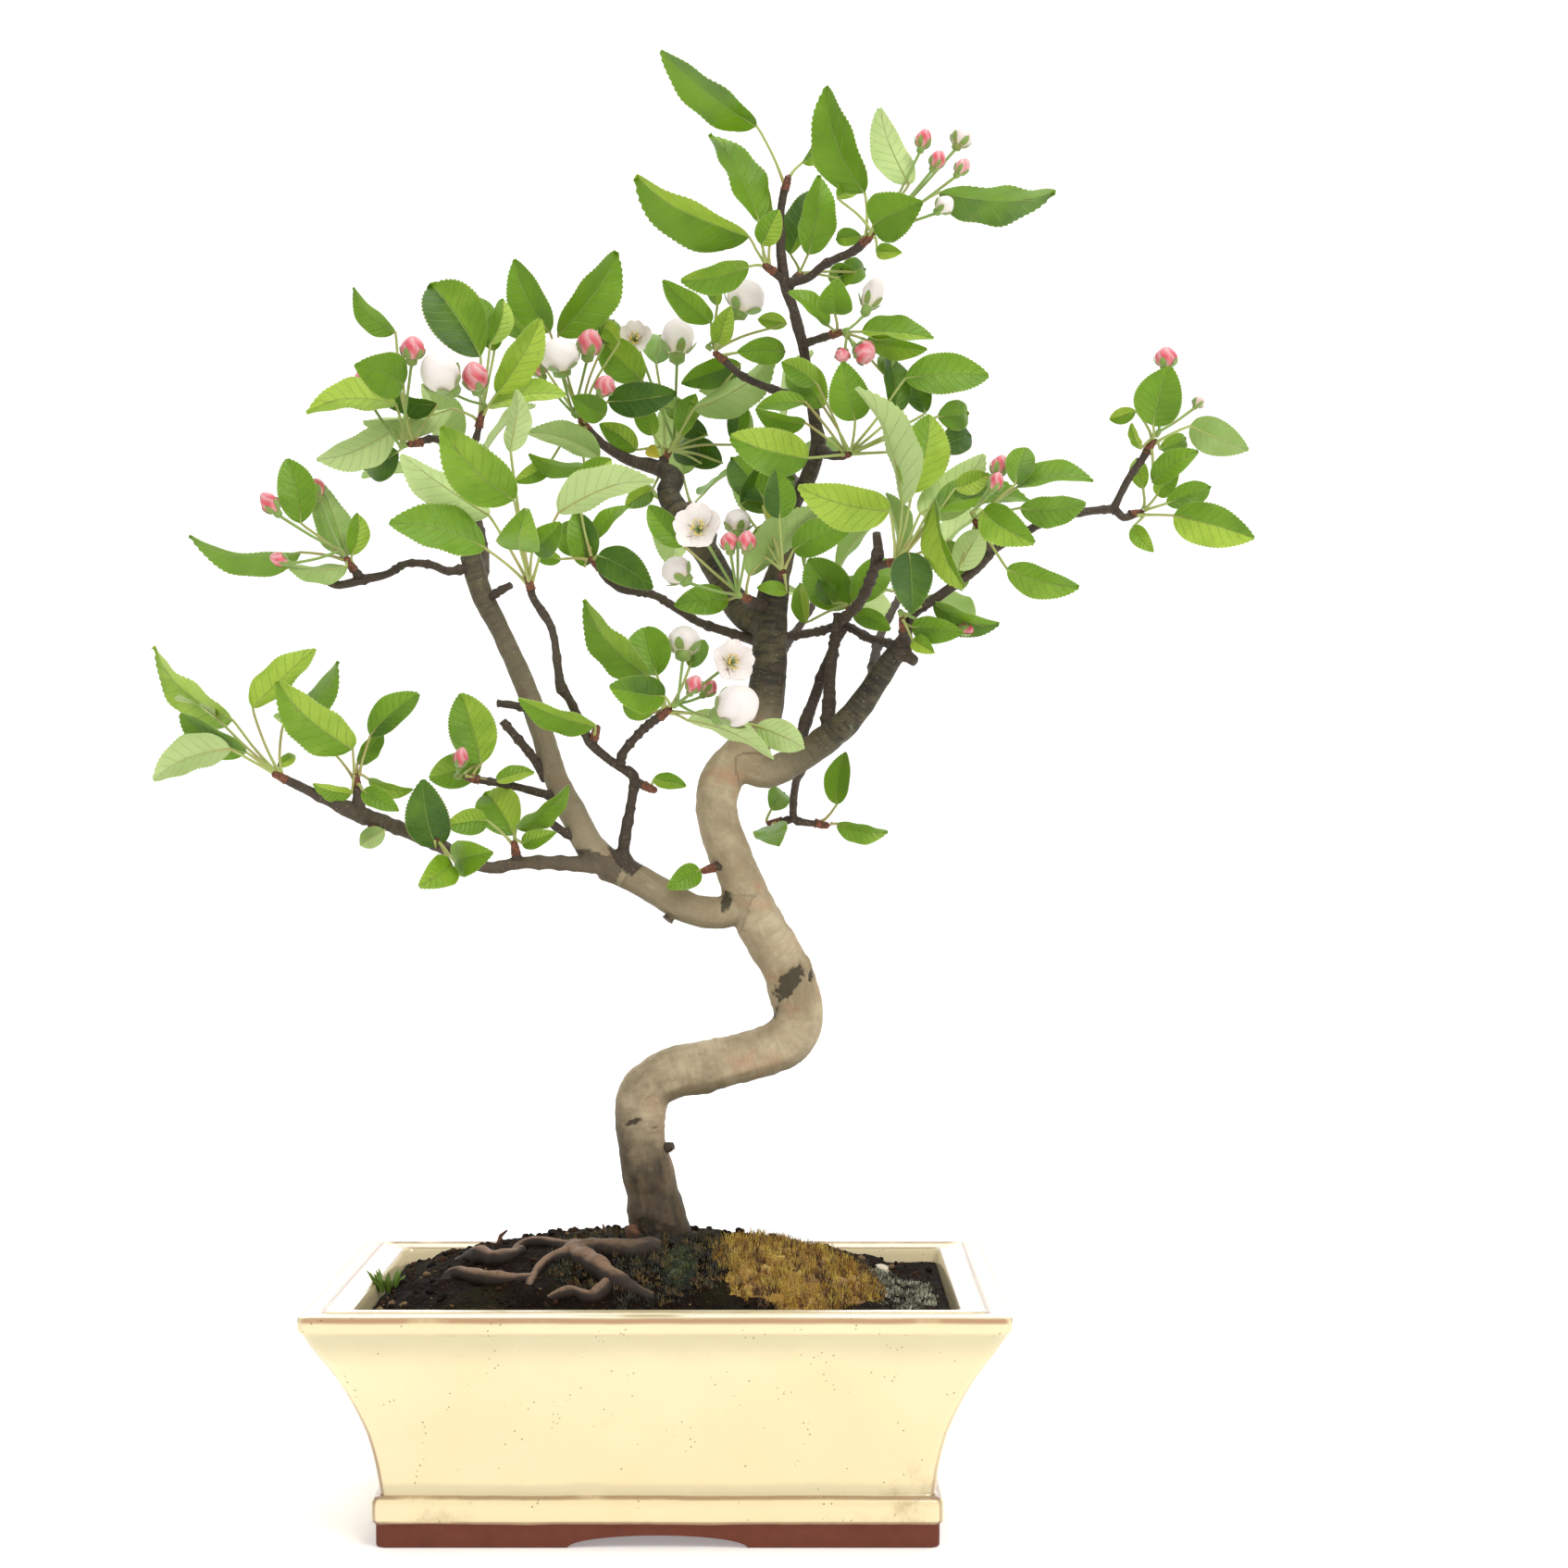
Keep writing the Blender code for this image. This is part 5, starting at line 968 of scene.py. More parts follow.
def glazeFinish():
    glaze = Finish("creamGlaze", roughness=0.2, **{"IOR": 1.5, "Coat Roughness": 0.08})
    place = glaze.shifted(glaze.place(), offset=tuple(-potMiddle))
    x, y, z = glaze.split(place)
    inset = glaze.least(
        potShape["rimLength"] / 2 - abs(x), potShape["rimDepth"] / 2 - abs(y),
    )
    inset = inset / mm
    height = z / mm
    drift = glaze.grain(38, detail=4) - 0.5
    fine = glaze.grain(240, detail=3) - 0.5

    # the glaze is thin and brown along every arris
    def band(value, middle, width):
        return 1 - glaze.ease(abs(value - middle), width * 0.25, width)

    wobble = inset + fine * 0.8
    onTop = glaze.ease(height, 85.2, 85.7)
    lip = band(height + drift * 0.9, 84.9, 1.5) * band(inset, 0.1, 1.3)
    underLip = band(height + drift * 0.8, 80.1, 0.8) * 0.15
    ridge = band(wobble, 8.3, 1.1) * onTop
    innerEdge = band(wobble, 17.7, 1.0) * onTop
    moulding = band(height + drift, 17.9, 0.9) * 0.75 + band(height + drift * 0.8, 9.2, 0.7) * 0.8
    corner = glaze.ease(glaze.number("corner"), 0.2, 0.55) * (1 - glaze.ease(height, 74, 80) * 0.5)
    worn = glaze.ease(drift + 0.5, 0.22, 0.45)
    brown = (underLip + ridge + innerEdge * 0.85 + moulding + corner) * worn + lip * (0.35 + worn * 0.45)
    brown = glaze.least(brown, 1)

    # it pools greenish under the lip and above the moulding
    pool = glaze.ease(height + drift * 7, 66, 79) * (1 - glaze.ease(height, 79.4, 80.4))
    pool = pool * 0.9 + band(height + drift * 3, 20.5, 3.2) * 0.6
    pool = pool + onTop * (0.35 + band(inset, 12.5, 4) * 0.25)
    cloud = glaze.grain(22, detail=5, roughness=0.6)
    cream = glaze.mix(cloud, tint(238, 218, 168), tint(250, 236, 196))
    cream = glaze.mix(glaze.ease(glaze.grain(9, detail=2), 0.4, 0.65) * 0.25, cream, tint(228, 206, 152))
    cream = glaze.mix(glaze.least(pool, 1) * 0.7, cream, tint(192, 186, 150))
    cream = glaze.mix(brown * 0.9, cream, glaze.mix(lip, tint(128, 78, 48), tint(158, 96, 54)))

    # iron specks, and stains towards the lower corners
    specks = glaze.cells(420)
    rare = glaze.ease(glaze.grain(95, detail=1), 0.56, 0.62)
    speck = (1 - glaze.ease(specks, 0.1, 0.2)) * rare
    cream = glaze.mix(speck * 0.7, cream, tint(120, 86, 52))
    stain = glaze.ease(glaze.grain(30, detail=5, roughness=0.7), 0.5, 0.7)
    stain = stain * (1 - glaze.ease(height, 18, 40)) * glaze.ease(abs(x), 50 * mm, 96 * mm)
    cream = glaze.mix(stain * 0.6, cream, tint(156, 120, 72))
    grime = glaze.ease(glaze.grain(260, detail=4, roughness=0.8), 0.6, 0.7)
    cream = glaze.mix(grime * glaze.least(stain * 2, 1) * 0.6, cream, tint(70, 54, 34))

    # the foot is bare clay
    bare = 1 - glaze.ease(height + drift * 1.6, 8.4, 9.2)
    bare = glaze.most(bare, glaze.ease(glaze.number("inner"), 0.2, 0.8) * glaze.ease(inset, 20, 24))
    clay = glaze.mix(glaze.grain(60, detail=6, roughness=0.7), tint(86, 38, 26), tint(126, 66, 46))
    glaze.colour(glaze.mix(bare, cream, clay))
    glaze.feed(glaze.shader.inputs["Roughness"], 0.16 + bare * 0.66 + brown * 0.14 + cloud * 0.08)
    glaze.feed(glaze.shader.inputs["Coat Weight"], (1 - bare) * 0.5)
    height = drift * 0.25 + fine * 0.04 + bare * glaze.grain(900, detail=3) * 0.25
    glaze.relief(height, 0.5 * mm)
    return glaze


dress(makePot(), "cream_glaze", "pot", finish=glazeFinish())
plastic = plainFinish("netPlastic", 0.5, 300, (38, 38, 38), (58, 57, 54), (1500, 0.1))
for netName in ("drain_net_left", "drain_net_right"):
    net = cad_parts[netName]
    for slot in net.material_slots:
        slot.material = plastic.material
print("pot ready")


# Soil and moss

soilShape = {
    "edge": 80.5 * mm,
    "mound": 21.5 * mm,
    "moundMiddle": (-8 * mm, 3 * mm),
    "moundReach": (96 * mm, 76 * mm),
    "halfLength": 105.4 * mm,
    "halfDepth": 72.9 * mm,
    "columns": 190,
    "rows": 130,
    "grains": 820,
}
# moss: middle, half sizes and thickness, from the pot's middle; a cushion's rings and lumps; its
# tufts, with the height and width of a strand, how they flare and how many are wiry stalks
mosses = {
    "goldenMoss": {
        "middle": (50 * mm, -27 * mm), "spread": (33 * mm, 43 * mm), "thickness": 3.5 * mm,
        "pad": (16, 150), "node": "moss_golden", "slot": "golden_moss",
        "count": 860, "strand": (4.2 * mm, 0.24 * mm), "flare": 1.1, "seed": 31, "stalks": 0.09,
        "finish": "goldenMoss", "colours": ((92, 54, 12), (182, 134, 28), (236, 208, 92)),
    },
    "greenMoss": {
        "middle": (7 * mm, -38 * mm), "spread": (6 * mm, 16 * mm), "thickness": 2.5 * mm,
        "pad": (12, 220), "node": "moss_green", "slot": "green_moss",
        "count": 240, "strand": (1.9 * mm, 0.3 * mm), "flare": 0.8, "seed": 57, "stalks": 0,
        "finish": "greenMoss", "colours": ((34, 44, 14), (58, 76, 26), (96, 112, 46)),
    },
    "darkMoss": {
        "middle": (-6 * mm, -26 * mm), "spread": (38 * mm, 42 * mm), "thickness": 1.6 * mm,
        "slot": "green_moss",
        "count": 900, "strand": (2.3 * mm, 0.3 * mm), "flare": 1.1, "seed": 83, "stalks": 0,
        "finish": "darkMoss", "colours": ((24, 26, 8), (58, 58, 20), (126, 98, 36)),
    },
    "lichen": {
        "middle": (88 * mm, -12 * mm), "spread": (14 * mm, 40 * mm), "thickness": 1.2 * mm,
        "slot": "soil",
        "count": 300, "strand": (1.9 * mm, 0.42 * mm), "flare": 1.3, "seed": 97, "stalks": 0,
        "finish": "paleLichen", "colours": ((70, 68, 50), (142, 146, 118), (216, 216, 190)),
    },
}

# what lies on the soil, by pixel; a stick's last number is its radius in mm
litter = {
    "sticks": [
        [(539, 1342, 0.9), (541, 1335, 0.8), (548, 1329, 0.4)],
        [(655, 1336, 1.1), (653, 1328, 0.7), (651, 1322, 0.2)],
    ],
    "weed": (420, 1396),
    "weedBlades": 22,
}


def soilHeight(x, y):
    # from the pot's middle, as the packed soil has it
    middle, reach = soilShape["moundMiddle"], soilShape["moundReach"]
    across = max(0.0, 1 - ((x - middle[0]) / reach[0]) ** 2)
    along = max(0.0, 1 - ((y - middle[1]) / reach[1]) ** 2)
    lumps = math.sin(x * 210 + 1.3) * math.sin(y * 260 + 0.4) + 0.6 * math.sin(x * 390 + y * 310)
    return soilShape["edge"] + soilShape["mound"] * (across * along) ** 0.8 + 0.7 * mm * lumps


def onSoil(u, v, lift):
    # where the view through this pixel meets the soil
    for step in range(141):
        point = seen(u, v, -66 + step)
        x, y = point.x - potMiddle.x, point.y - potMiddle.y
        if point.z <= soilHeight(x, y) + lift:
            return point
    return point


def roughSoil(x, y):
    # the same mound with crumbs and hollows
    place = Vector((x, y, 0))
    crumbs = noise.fractal(place * 160, 1.0, 2.0, 4) * 0.9 * mm
    hollows = noise.noise(place * 45) * 1.4 * mm
    towardsWall = max(abs(x) / soilShape["halfLength"], abs(y) / soilShape["halfDepth"])
    ease = 1 - max(0.0, (towardsWall - 0.94) / 0.06)
    flat = soilShape["edge"] - 0.6 * mm
    return flat + (soilHeight(x, y) - flat) * ease + (crumbs + hollows) * (0.4 + 0.6 * ease)


def makeSoil():
    deselect()
    bpy.ops.mesh.primitive_grid_add(
        x_subdivisions=soilShape["columns"], y_subdivisions=soilShape["rows"], size=2,
    )
    soil = bpy.context.object
    co = points(soil)
    co[:, 0] *= soilShape["halfLength"]
    co[:, 1] *= soilShape["halfDepth"]
    for i, (x, y, z) in enumerate(co):
        co[i, 2] = roughSoil(x, y)
    setPoints(soil, co)
    editAll(soil)
    bpy.ops.mesh.region_to_loop()
    bpy.ops.mesh.extrude_region_move(TRANSFORM_OT_translate={"value": (0, 0, -58 * mm)})
    bpy.ops.transform.resize(value=(0.874, 0.818, 0), center_override=(0, 0, 14.9 * mm))
    bpy.ops.mesh.edge_face_add()
    faceOut(soil)
    soil.data.transform(Matrix.Translation(potMiddle))
    soil.name = soil.data.name = "pottedSoil"
    smoothShade(soil, 60)
    return soil


def earthFinish():
    earth = Finish("darkSoil", roughness=0.95, **{"Specular IOR Level": 0.12})
    patches = earth.grain(55, detail=5, roughness=0.65)
    crumbs = earth.cells(750)
    base = earth.mix(patches, tint(20, 13, 8), tint(44, 29, 18))
    base = earth.mix(earth.ease(crumbs, 0.15, 0.6) * 0.6, base, tint(11, 7, 5))
    pale = earth.ease(earth.grain(420, detail=2), 0.62, 0.7)
    base = earth.mix(pale * 0.35, base, tint(96, 68, 44))
    film = earth.ease(earth.grain(34, detail=4), 0.5, 0.66)
    earth.colour(earth.mix(film * 0.5, base, tint(42, 42, 14)))
    earth.relief(crumbs * 0.8 + earth.grain(1600, detail=3) * 0.5, 1.2 * mm)
    return earth


def chip(seed, radius, rings=2):
    # one small uneven crumb
    deselect()
    bpy.ops.mesh.primitive_ico_sphere_add(subdivisions=rings, radius=radius)
    crumb = bpy.context.object
    co = points(crumb)
    for i, point in enumerate(co):
        swell = 1 + 0.45 * noise.noise(Vector(point) / radius * 1.1 + Vector((seed * 7.3, 0, 0)))
        co[i] = point * swell * (1, 0.86, 0.72)
    setPoints(crumb, co)
    return crumb


def copiedOnto(name, templates, places):
    # one mesh of many turned and sized copies; places holds (template number, matrix, tone)
    made = []
    for number, matrix, tone in places:
        copy = copyOf(templates[number])
        copy.data.transform(matrix)
        mark(copy, "tone", tone)
        made.append(copy)
    for template in templates:
        bpy.data.objects.remove(template, do_unlink=True)
    return joined(name, made)


def turned(place, spin, lean, size):
    # a placing matrix: leaned, spun about the vertical, sized and moved
    turn = Matrix.Rotation(spin, 4, "Z") @ Matrix.Rotation(lean, 4, "X")
    return Matrix.Translation(place) @ turn @ Matrix.Diagonal((*size, 1))


def insideCushion(x, y, cushion):
    dx = (x - cushion["middle"][0]) / cushion["spread"][0]
    dy = (y - cushion["middle"][1]) / cushion["spread"][1]
    return dx * dx + dy * dy < 0.9 ** 2


def makeGrains():
    dice = random.Random(11)
    templates = [chip(seed, 1.0) for seed in range(5)]
    places = []
    while len(places) < soilShape["grains"]:
        x = dice.uniform(-0.97, 0.97) * soilShape["halfLength"]
        y = dice.uniform(-0.97, 0.97) * soilShape["halfDepth"]
        if any(insideCushion(x, y, mosses[name]) for name in ("goldenMoss", "greenMoss")):
            continue
        size = (0.55 + 1.5 * dice.random() ** 2.6) * mm
        place = potMiddle + Vector((x, y, roughSoil(x, y) + size * 0.2))
        matrix = turned(place, dice.uniform(0, 6.3), dice.uniform(-0.5, 0.5), (size, size, size))
        places.append((dice.randrange(5), matrix, dice.random()))
    return copiedOnto("soilGrains", templates, places)


def grainFinish():
    grit = Finish("soilGrit", roughness=0.9, **{"Specular IOR Level": 0.15})
    tone = grit.number("tone")
    base = grit.mix(grit.ease(tone, 0.2, 0.9), tint(20, 13, 8), tint(70, 46, 30))
    base = grit.mix(grit.ease(tone, 0.95, 0.97), base, tint(140, 116, 84))
    grit.colour(grit.mix(grit.grain(900, detail=2) * 0.5, base, tint(14, 9, 6)))
    grit.relief(grit.grain(2200, detail=2), 0.3 * mm)
    return grit


def makeCushion(name, cushion, columns, lumps):
    # a closed mound of moss that follows the soil
    deselect()
    bpy.ops.mesh.primitive_circle_add(vertices=64, radius=1, fill_type="NGON")
    pad = bpy.context.object
    editAll(pad)
    for ring in range(columns):
        bpy.ops.mesh.inset(thickness=0.94 / columns, depth=0)
    bpy.ops.mesh.select_all(action="SELECT")
    bpy.ops.mesh.quads_convert_to_tris()
    bpy.ops.object.mode_set(mode="OBJECT")
    co = points(pad)
    for i, (u, v, w) in enumerate(co):
        turn = math.atan2(v, u)
        edge = 1.02 + 0.07 * math.sin(3 * turn + 1) + 0.05 * math.sin(7 * turn)
        x = cushion["middle"][0] + u * cushion["spread"][0] * edge
        y = cushion["middle"][1] + v * cushion["spread"][1] * edge
        out = math.hypot(u, v)
        dome = max(0.0, 1 - out ** 2.6)
        swell = 0.75 + 0.55 * noise.fractal(Vector((x, y, 0)) * lumps, 1.0, 2.0, 3)
        lift = dome * (0.8 * mm + cushion["thickness"] * swell)
        x = min(max(x, -soilShape["halfLength"]), soilShape["halfLength"])
        y = min(max(y, -soilShape["halfDepth"]), soilShape["halfDepth"])
        co[i] = (x, y, soilHeight(x, y) - 0.8 * mm + lift)
    setPoints(pad, co)
    thick = pad.modifiers.new("Thickness", "SOLIDIFY")
    thick.thickness = 1.2 * mm
    thick.offset = -1
    applyModifiers(pad)
    faceOut(pad)
    mark(pad, "tone", 0.5)
    pad.data.transform(Matrix.Translation(potMiddle))
    pad.name = pad.data.name = name
    smoothShade(pad, 70)
    return pad


def tuft(seed, blades, height, width, flare):
    # a little bunch of pointed strands, each of three sides
    dice = random.Random(seed)
    made = []
    for n in range(blades):
        deselect()
        bpy.ops.mesh.primitive_cone_add(vertices=3, radius1=width, radius2=width * 0.2, depth=height)
        strand = bpy.context.object
        strand.data.transform(Matrix.Translation((0, 0, height / 2)))
        place = (dice.uniform(-1, 1) * flare * 1.2 * mm, dice.uniform(-1, 1) * flare * 1.2 * mm, 0)
        size = dice.uniform(0.55, 1.15)
        strand.data.transform(turned(
            Vector(place), dice.uniform(0, 6.3), dice.uniform(-0.5, 0.5) * flare, (1, 1, size),
        ))
        made.append(strand)
    return joined("tuft", made)


def mossTufts(name, cushion):
    seed, flare, stalks = (cushion[key] for key in ("seed", "flare", "stalks"))
    height, width = cushion["strand"]
    dice = random.Random(seed)
    templates = [tuft(seed + n, 7, height, width, flare) for n in range(4)]
    if stalks:
        # a few wiry stalks stand over the cushion
        templates.append(tuft(seed + 9, 4, height * 2.1, width * 0.42, flare * 0.5))
    places = []
    while len(places) < cushion["count"]:
        u, v = dice.uniform(-1, 1), dice.uniform(-1, 1)
        out = math.hypot(u, v)
        if out > 0.98:
            continue
        x = cushion["middle"][0] + u * cushion["spread"][0]
        y = cushion["middle"][1] + v * cushion["spread"][1]
        if abs(x) > soilShape["halfLength"] - 1 * mm or abs(y) > soilShape["halfDepth"] - 1 * mm:
            continue
        swell = 0.75 + 0.55 * noise.fractal(Vector((x, y, 0)) * 150, 1.0, 2.0, 3)
        lift = (1 - out ** 2.6) * (0.8 * mm + cushion["thickness"] * swell) - 1.0 * mm
        place = potMiddle + Vector((x, y, soilHeight(x, y) + lift))
        size = dice.uniform(0.6, 1.2)
        number = 4 if dice.random() < stalks else dice.randrange(4)
        lean = dice.uniform(-0.35, 0.35) * (0.4 if number == 4 else 1)
        matrix = turned(place, dice.uniform(0, 6.3), lean, (size, size, size))
        places.append((number, matrix, dice.random()))
    return copiedOnto(name, templates, places)


def makeLitter():
    # what lies on the soil: a pale stone, broken twigs, an old knob and a small weed
    stone = chip(3, 1.0, 3)
    stone.data.transform(turned(onSoil(948, 1371, 0), 0.4, 0.1, (4.6 * mm, 3.6 * mm, 2.2 * mm)))
    knob = chip(8, 1.0, 3)
    knob.data.transform(turned(onSoil(684, 1334, 1.5 * mm), 0.9, 0.3, (3.6 * mm, 3.4 * mm, 5 * mm)))
    sticks = []
    for rows in litter["sticks"]:
        start = onSoil(*rows[0][:2], 0)
        depth = (start.y - potMiddle.y) / mm
        run = [(start - Vector((0, 0, 1.5 * mm)), rows[0][2] * mm)]
        run += [(seen(u, v, depth + 0.4), radius * mm) for u, v, radius in rows]
        sticks.append(run)
    wood = tubes("sticks", sticks, 2)
    weed = []
    foot = onSoil(*litter["weed"], 0)
    dice = random.Random(21)
    for n in range(litter["weedBlades"]):
        side = Vector((dice.uniform(-1, 1), dice.uniform(-0.6, 0.6), 0))
        root = foot + side * 3.5 * mm
        top = root + side * dice.uniform(2, 6) * mm + Vector((0, 0, dice.uniform(4, 9) * mm))
        middle = root.lerp(top, 0.5) + Vector((0, 0, 1.2 * mm))
        run = [(root, 0.3 * mm), (middle, 0.75 * mm), (top, 0.08 * mm)]
        weed.append(smoothRun(run, 1.5 * mm))
    grass = tubes("weed", weed, 1)
    paint(stone, plainFinish("paleStone", 0.75, 500, (176, 158, 132), (236, 226, 206), (900, 0.3), 4))
    deadWood = plainFinish("deadWood", 0.8, 380, (40, 28, 20), (138, 92, 64), (1200, 0.3), 5)
    paint(knob, deadWood)
    paint(wood, deadWood)
    paint(grass, plainFinish("weedGreen", 0.5, 260, (62, 92, 26), (134, 166, 66), (1500, 0.1)))
    found = joined("soilLitter", [stone, knob, wood, grass])
    smoothShade(found, 60)
    return found


def mossFinish(name, dark, middle, light):
    moss = Finish(name, roughness=0.95, **{"Sheen Weight": 0.25, "Sheen Roughness": 0.5})
    tone = moss.number("tone") + (moss.grain(120, detail=4) - 0.5) * 1.5
    base = moss.mix(moss.ease(tone, 0.1, 0.55), tint(*dark), tint(*middle))
    moss.colour(moss.mix(moss.ease(tone, 0.5, 1.0), base, tint(*light)))
    moss.relief(moss.cells(1400) + moss.grain(2600, detail=2) * 0.5, 0.8 * mm)
    return moss


dress(makeSoil(), "soil", "soil", finish=earthFinish())
dress(makeGrains(), "soil", finish=grainFinish())
for name, moss in mosses.items():
    finish = mossFinish(moss["finish"], *moss["colours"])
    if "pad" in moss:
        pad = makeCushion(name + "Pad", moss, *moss["pad"])
        dress(pad, moss["slot"], moss["node"], finish=finish)
    dress(mossTufts(name + "Strands", moss), moss["slot"], finish=finish)
dress(makeLitter(), "soil")
print("soil ready")


# Wood

bark = {
    "thick": 7 * mm,
    "voxel": 0.95 * mm,
    "swell": 0.05,
    "ridges": 0.3 * mm,
    "ripples": 0.14 * mm,
    "darkFrom": 0.272,
    "darkTo": 0.312,
    "rootSlim": 0.84,
    "budSpacing": 11 * mm,
}
# how dark the bark is where a branch starts and where it ends; twigs are dark all along
shades = {
    "left_main": (0.3, 0.55), "branch_a": (0.4, 0.85), "right_main": (0.25, 1.7),
    "left_back": (1.0, 1.0),
    "branch_b": (0.75, 1.0), "left_knob": (0.4, 0.9),
}


def woodRoute(name):
    return [seen(u, v, depth) for u, v, depth, width in wood[name]]


def rootRoute(name):
    rows = roots[name]
    route = [onSoil(u, v, 0.12 * width * mm) for u, v, width in rows]
    if name == "root_1":
        route[0] = seen(*rootStart)
    route[-1] = route[-1] - Vector((0, 0, 3 * mm))
    return route


def uneven(stations, seed, slim):
    # a branch swells and narrows, and a twig has a ring at each old bud
    made = []
    along = seed * 4 * mm
    for n, (point, radius) in enumerate(stations):
        swell = 1 + bark["swell"] * noise.noise(point * 150 + Vector((seed * 3.1, 0, 0)))
        if seed >= len(wood):
            swell = bark["rootSlim"] * (swell + 0.4 * noise.noise(point * 130))
        swell += 0.05 * noise.noise(point * 480)
        along += (point - stations[max(n - 1, 0)][0]).length
        if slim:
            spacing = bark["budSpacing"] * (0.8 + 0.5 * noise.noise(point * 60))
            phase = (along / spacing) % 1
            swell += 0.3 * math.exp(-((phase - 0.5) / 0.1) ** 2) - 0.06
        made.append((point, radius * swell))
    return made


def allRuns():
    runs = {}
    for number, (name, rows) in enumerate(list(wood.items()) + list(roots.items())):
        route = woodRoute(name) if name in wood else rootRoute(name)
        stations = [(point, row[-1] * mm / 2) for point, row in zip(route, rows)]
        slim = max(row[-1] for row in rows) <= 8
        step = (1.2 if slim else 2.4) * mm
        runs[name] = uneven(smoothRun(stations, step), number, slim and name in wood)
    return runs


def shadeAt(name, share, height):
    if name == "trunk":
        climb = (height - bark["darkFrom"]) / (bark["darkTo"] - bark["darkFrom"])
        return min(1.0, max(0.0, climb))
    first, last = shades.get(name, (1, 1))
    return first + (last - first) * share


def straighten(obj, runs):
    # where each point lies along its branch and round it, so that the bark can follow the wood
    stations, tree = [], KDTree(sum(len(run) for run in runs.values()))
    offset = 0.0
    for name, run in runs.items():
        along = offset
        for n, (point, radius) in enumerate(run):
            after, before = run[min(n + 1, len(run) - 1)][0], run[max(n - 1, 0)][0]
            shade = shadeAt(name, n / len(run), point.z)
            stations.append((point, (after - before).normalized(), along, radius, shade))
            tree.insert(point, len(stations) - 1)
            if n + 1 < len(run):
                along += (run[n + 1][0] - point).length
        offset += 0.31
    tree.balance()
    straight = np.empty((len(obj.data.vertices), 3))
    sizes = np.empty(len(obj.data.vertices))
    shade = np.empty(len(obj.data.vertices))
    below = np.empty(len(obj.data.vertices))
    for i, vert in enumerate(obj.data.vertices):
        number = tree.find(vert.co)[1]
        point, way, along, radius, shade[i] = stations[number]
        below[i] = max(0.0, -vert.normal.z)
        off = vert.co - point
        ahead = off.dot(way)
        side = way.cross(Vector((0.31, 0.95, 0.05))).normalized()
        lift = way.cross(side)
        straight[i] = (off.dot(side), off.dot(lift), along + ahead)
        sizes[i] = radius
    attribute = obj.data.attributes.new("straight", "FLOAT_VECTOR", "POINT")
    attribute.data.foreach_set("vector", straight.astype(np.float32).ravel())
    mark(obj, "girth", sizes / mm)
    mark(obj, "shade", shade)
    mark(obj, "below", below)
    return straight, sizes


# marks on the trunk: pixel, half width and half height in mm, lean to the right in degrees, how
# deep the hollow is and how high its lip stands in mm, and how dark it is: partly the scar's own
# colour, partly painted shade in its hollow
scars = {
    "fork": {
        "pixel": (852, 1062), "size": (4.2, 8.8), "lean": 38, "depth": 0.9, "lip": 0.5, "dark": 1.0,
    },
    "forkEdge": {
        "pixel": (876, 1054), "size": (1.4, 3.4), "lean": 10, "depth": 0.5, "lip": 0.2, "dark": 0.8,
    },
    "bend": {"pixel": (836, 1096), "size": (2.2, 4.4), "lean": 30, "depth": 0.2, "lip": 0, "dark": 0.6},
    "crack": {
        "pixel": (687, 1208), "size": (4.2, 1.3), "lean": -20, "depth": 0.8, "lip": 0.3, "dark": 1.0,
    },
    "crackEnd": {
        "pixel": (706, 1215), "size": (3.6, 0.9), "lean": 5, "depth": 0.5, "lip": 0.5, "dark": 0.5,
    },
    "healed": {
        "pixel": (702, 1167), "size": (3.0, 4.6), "lean": 40, "depth": 0.4, "lip": 0.6, "dark": 0.3,
    },
    "pit": {"pixel": (768, 1163), "size": (0.9, 1.6), "lean": 20, "depth": 0.3, "lip": 0.1, "dark": 0.6},
    "collar": {
        "pixel": (784, 974), "size": (2.6, 5.4), "lean": 12, "depth": 0.3, "lip": 0.2, "dark": 0.85,
    },
    "foot": {"pixel": (700, 1318), "size": (5.4, 3.2), "lean": 0, "depth": 0.4, "lip": 0.2, "dark": 0.7},
}


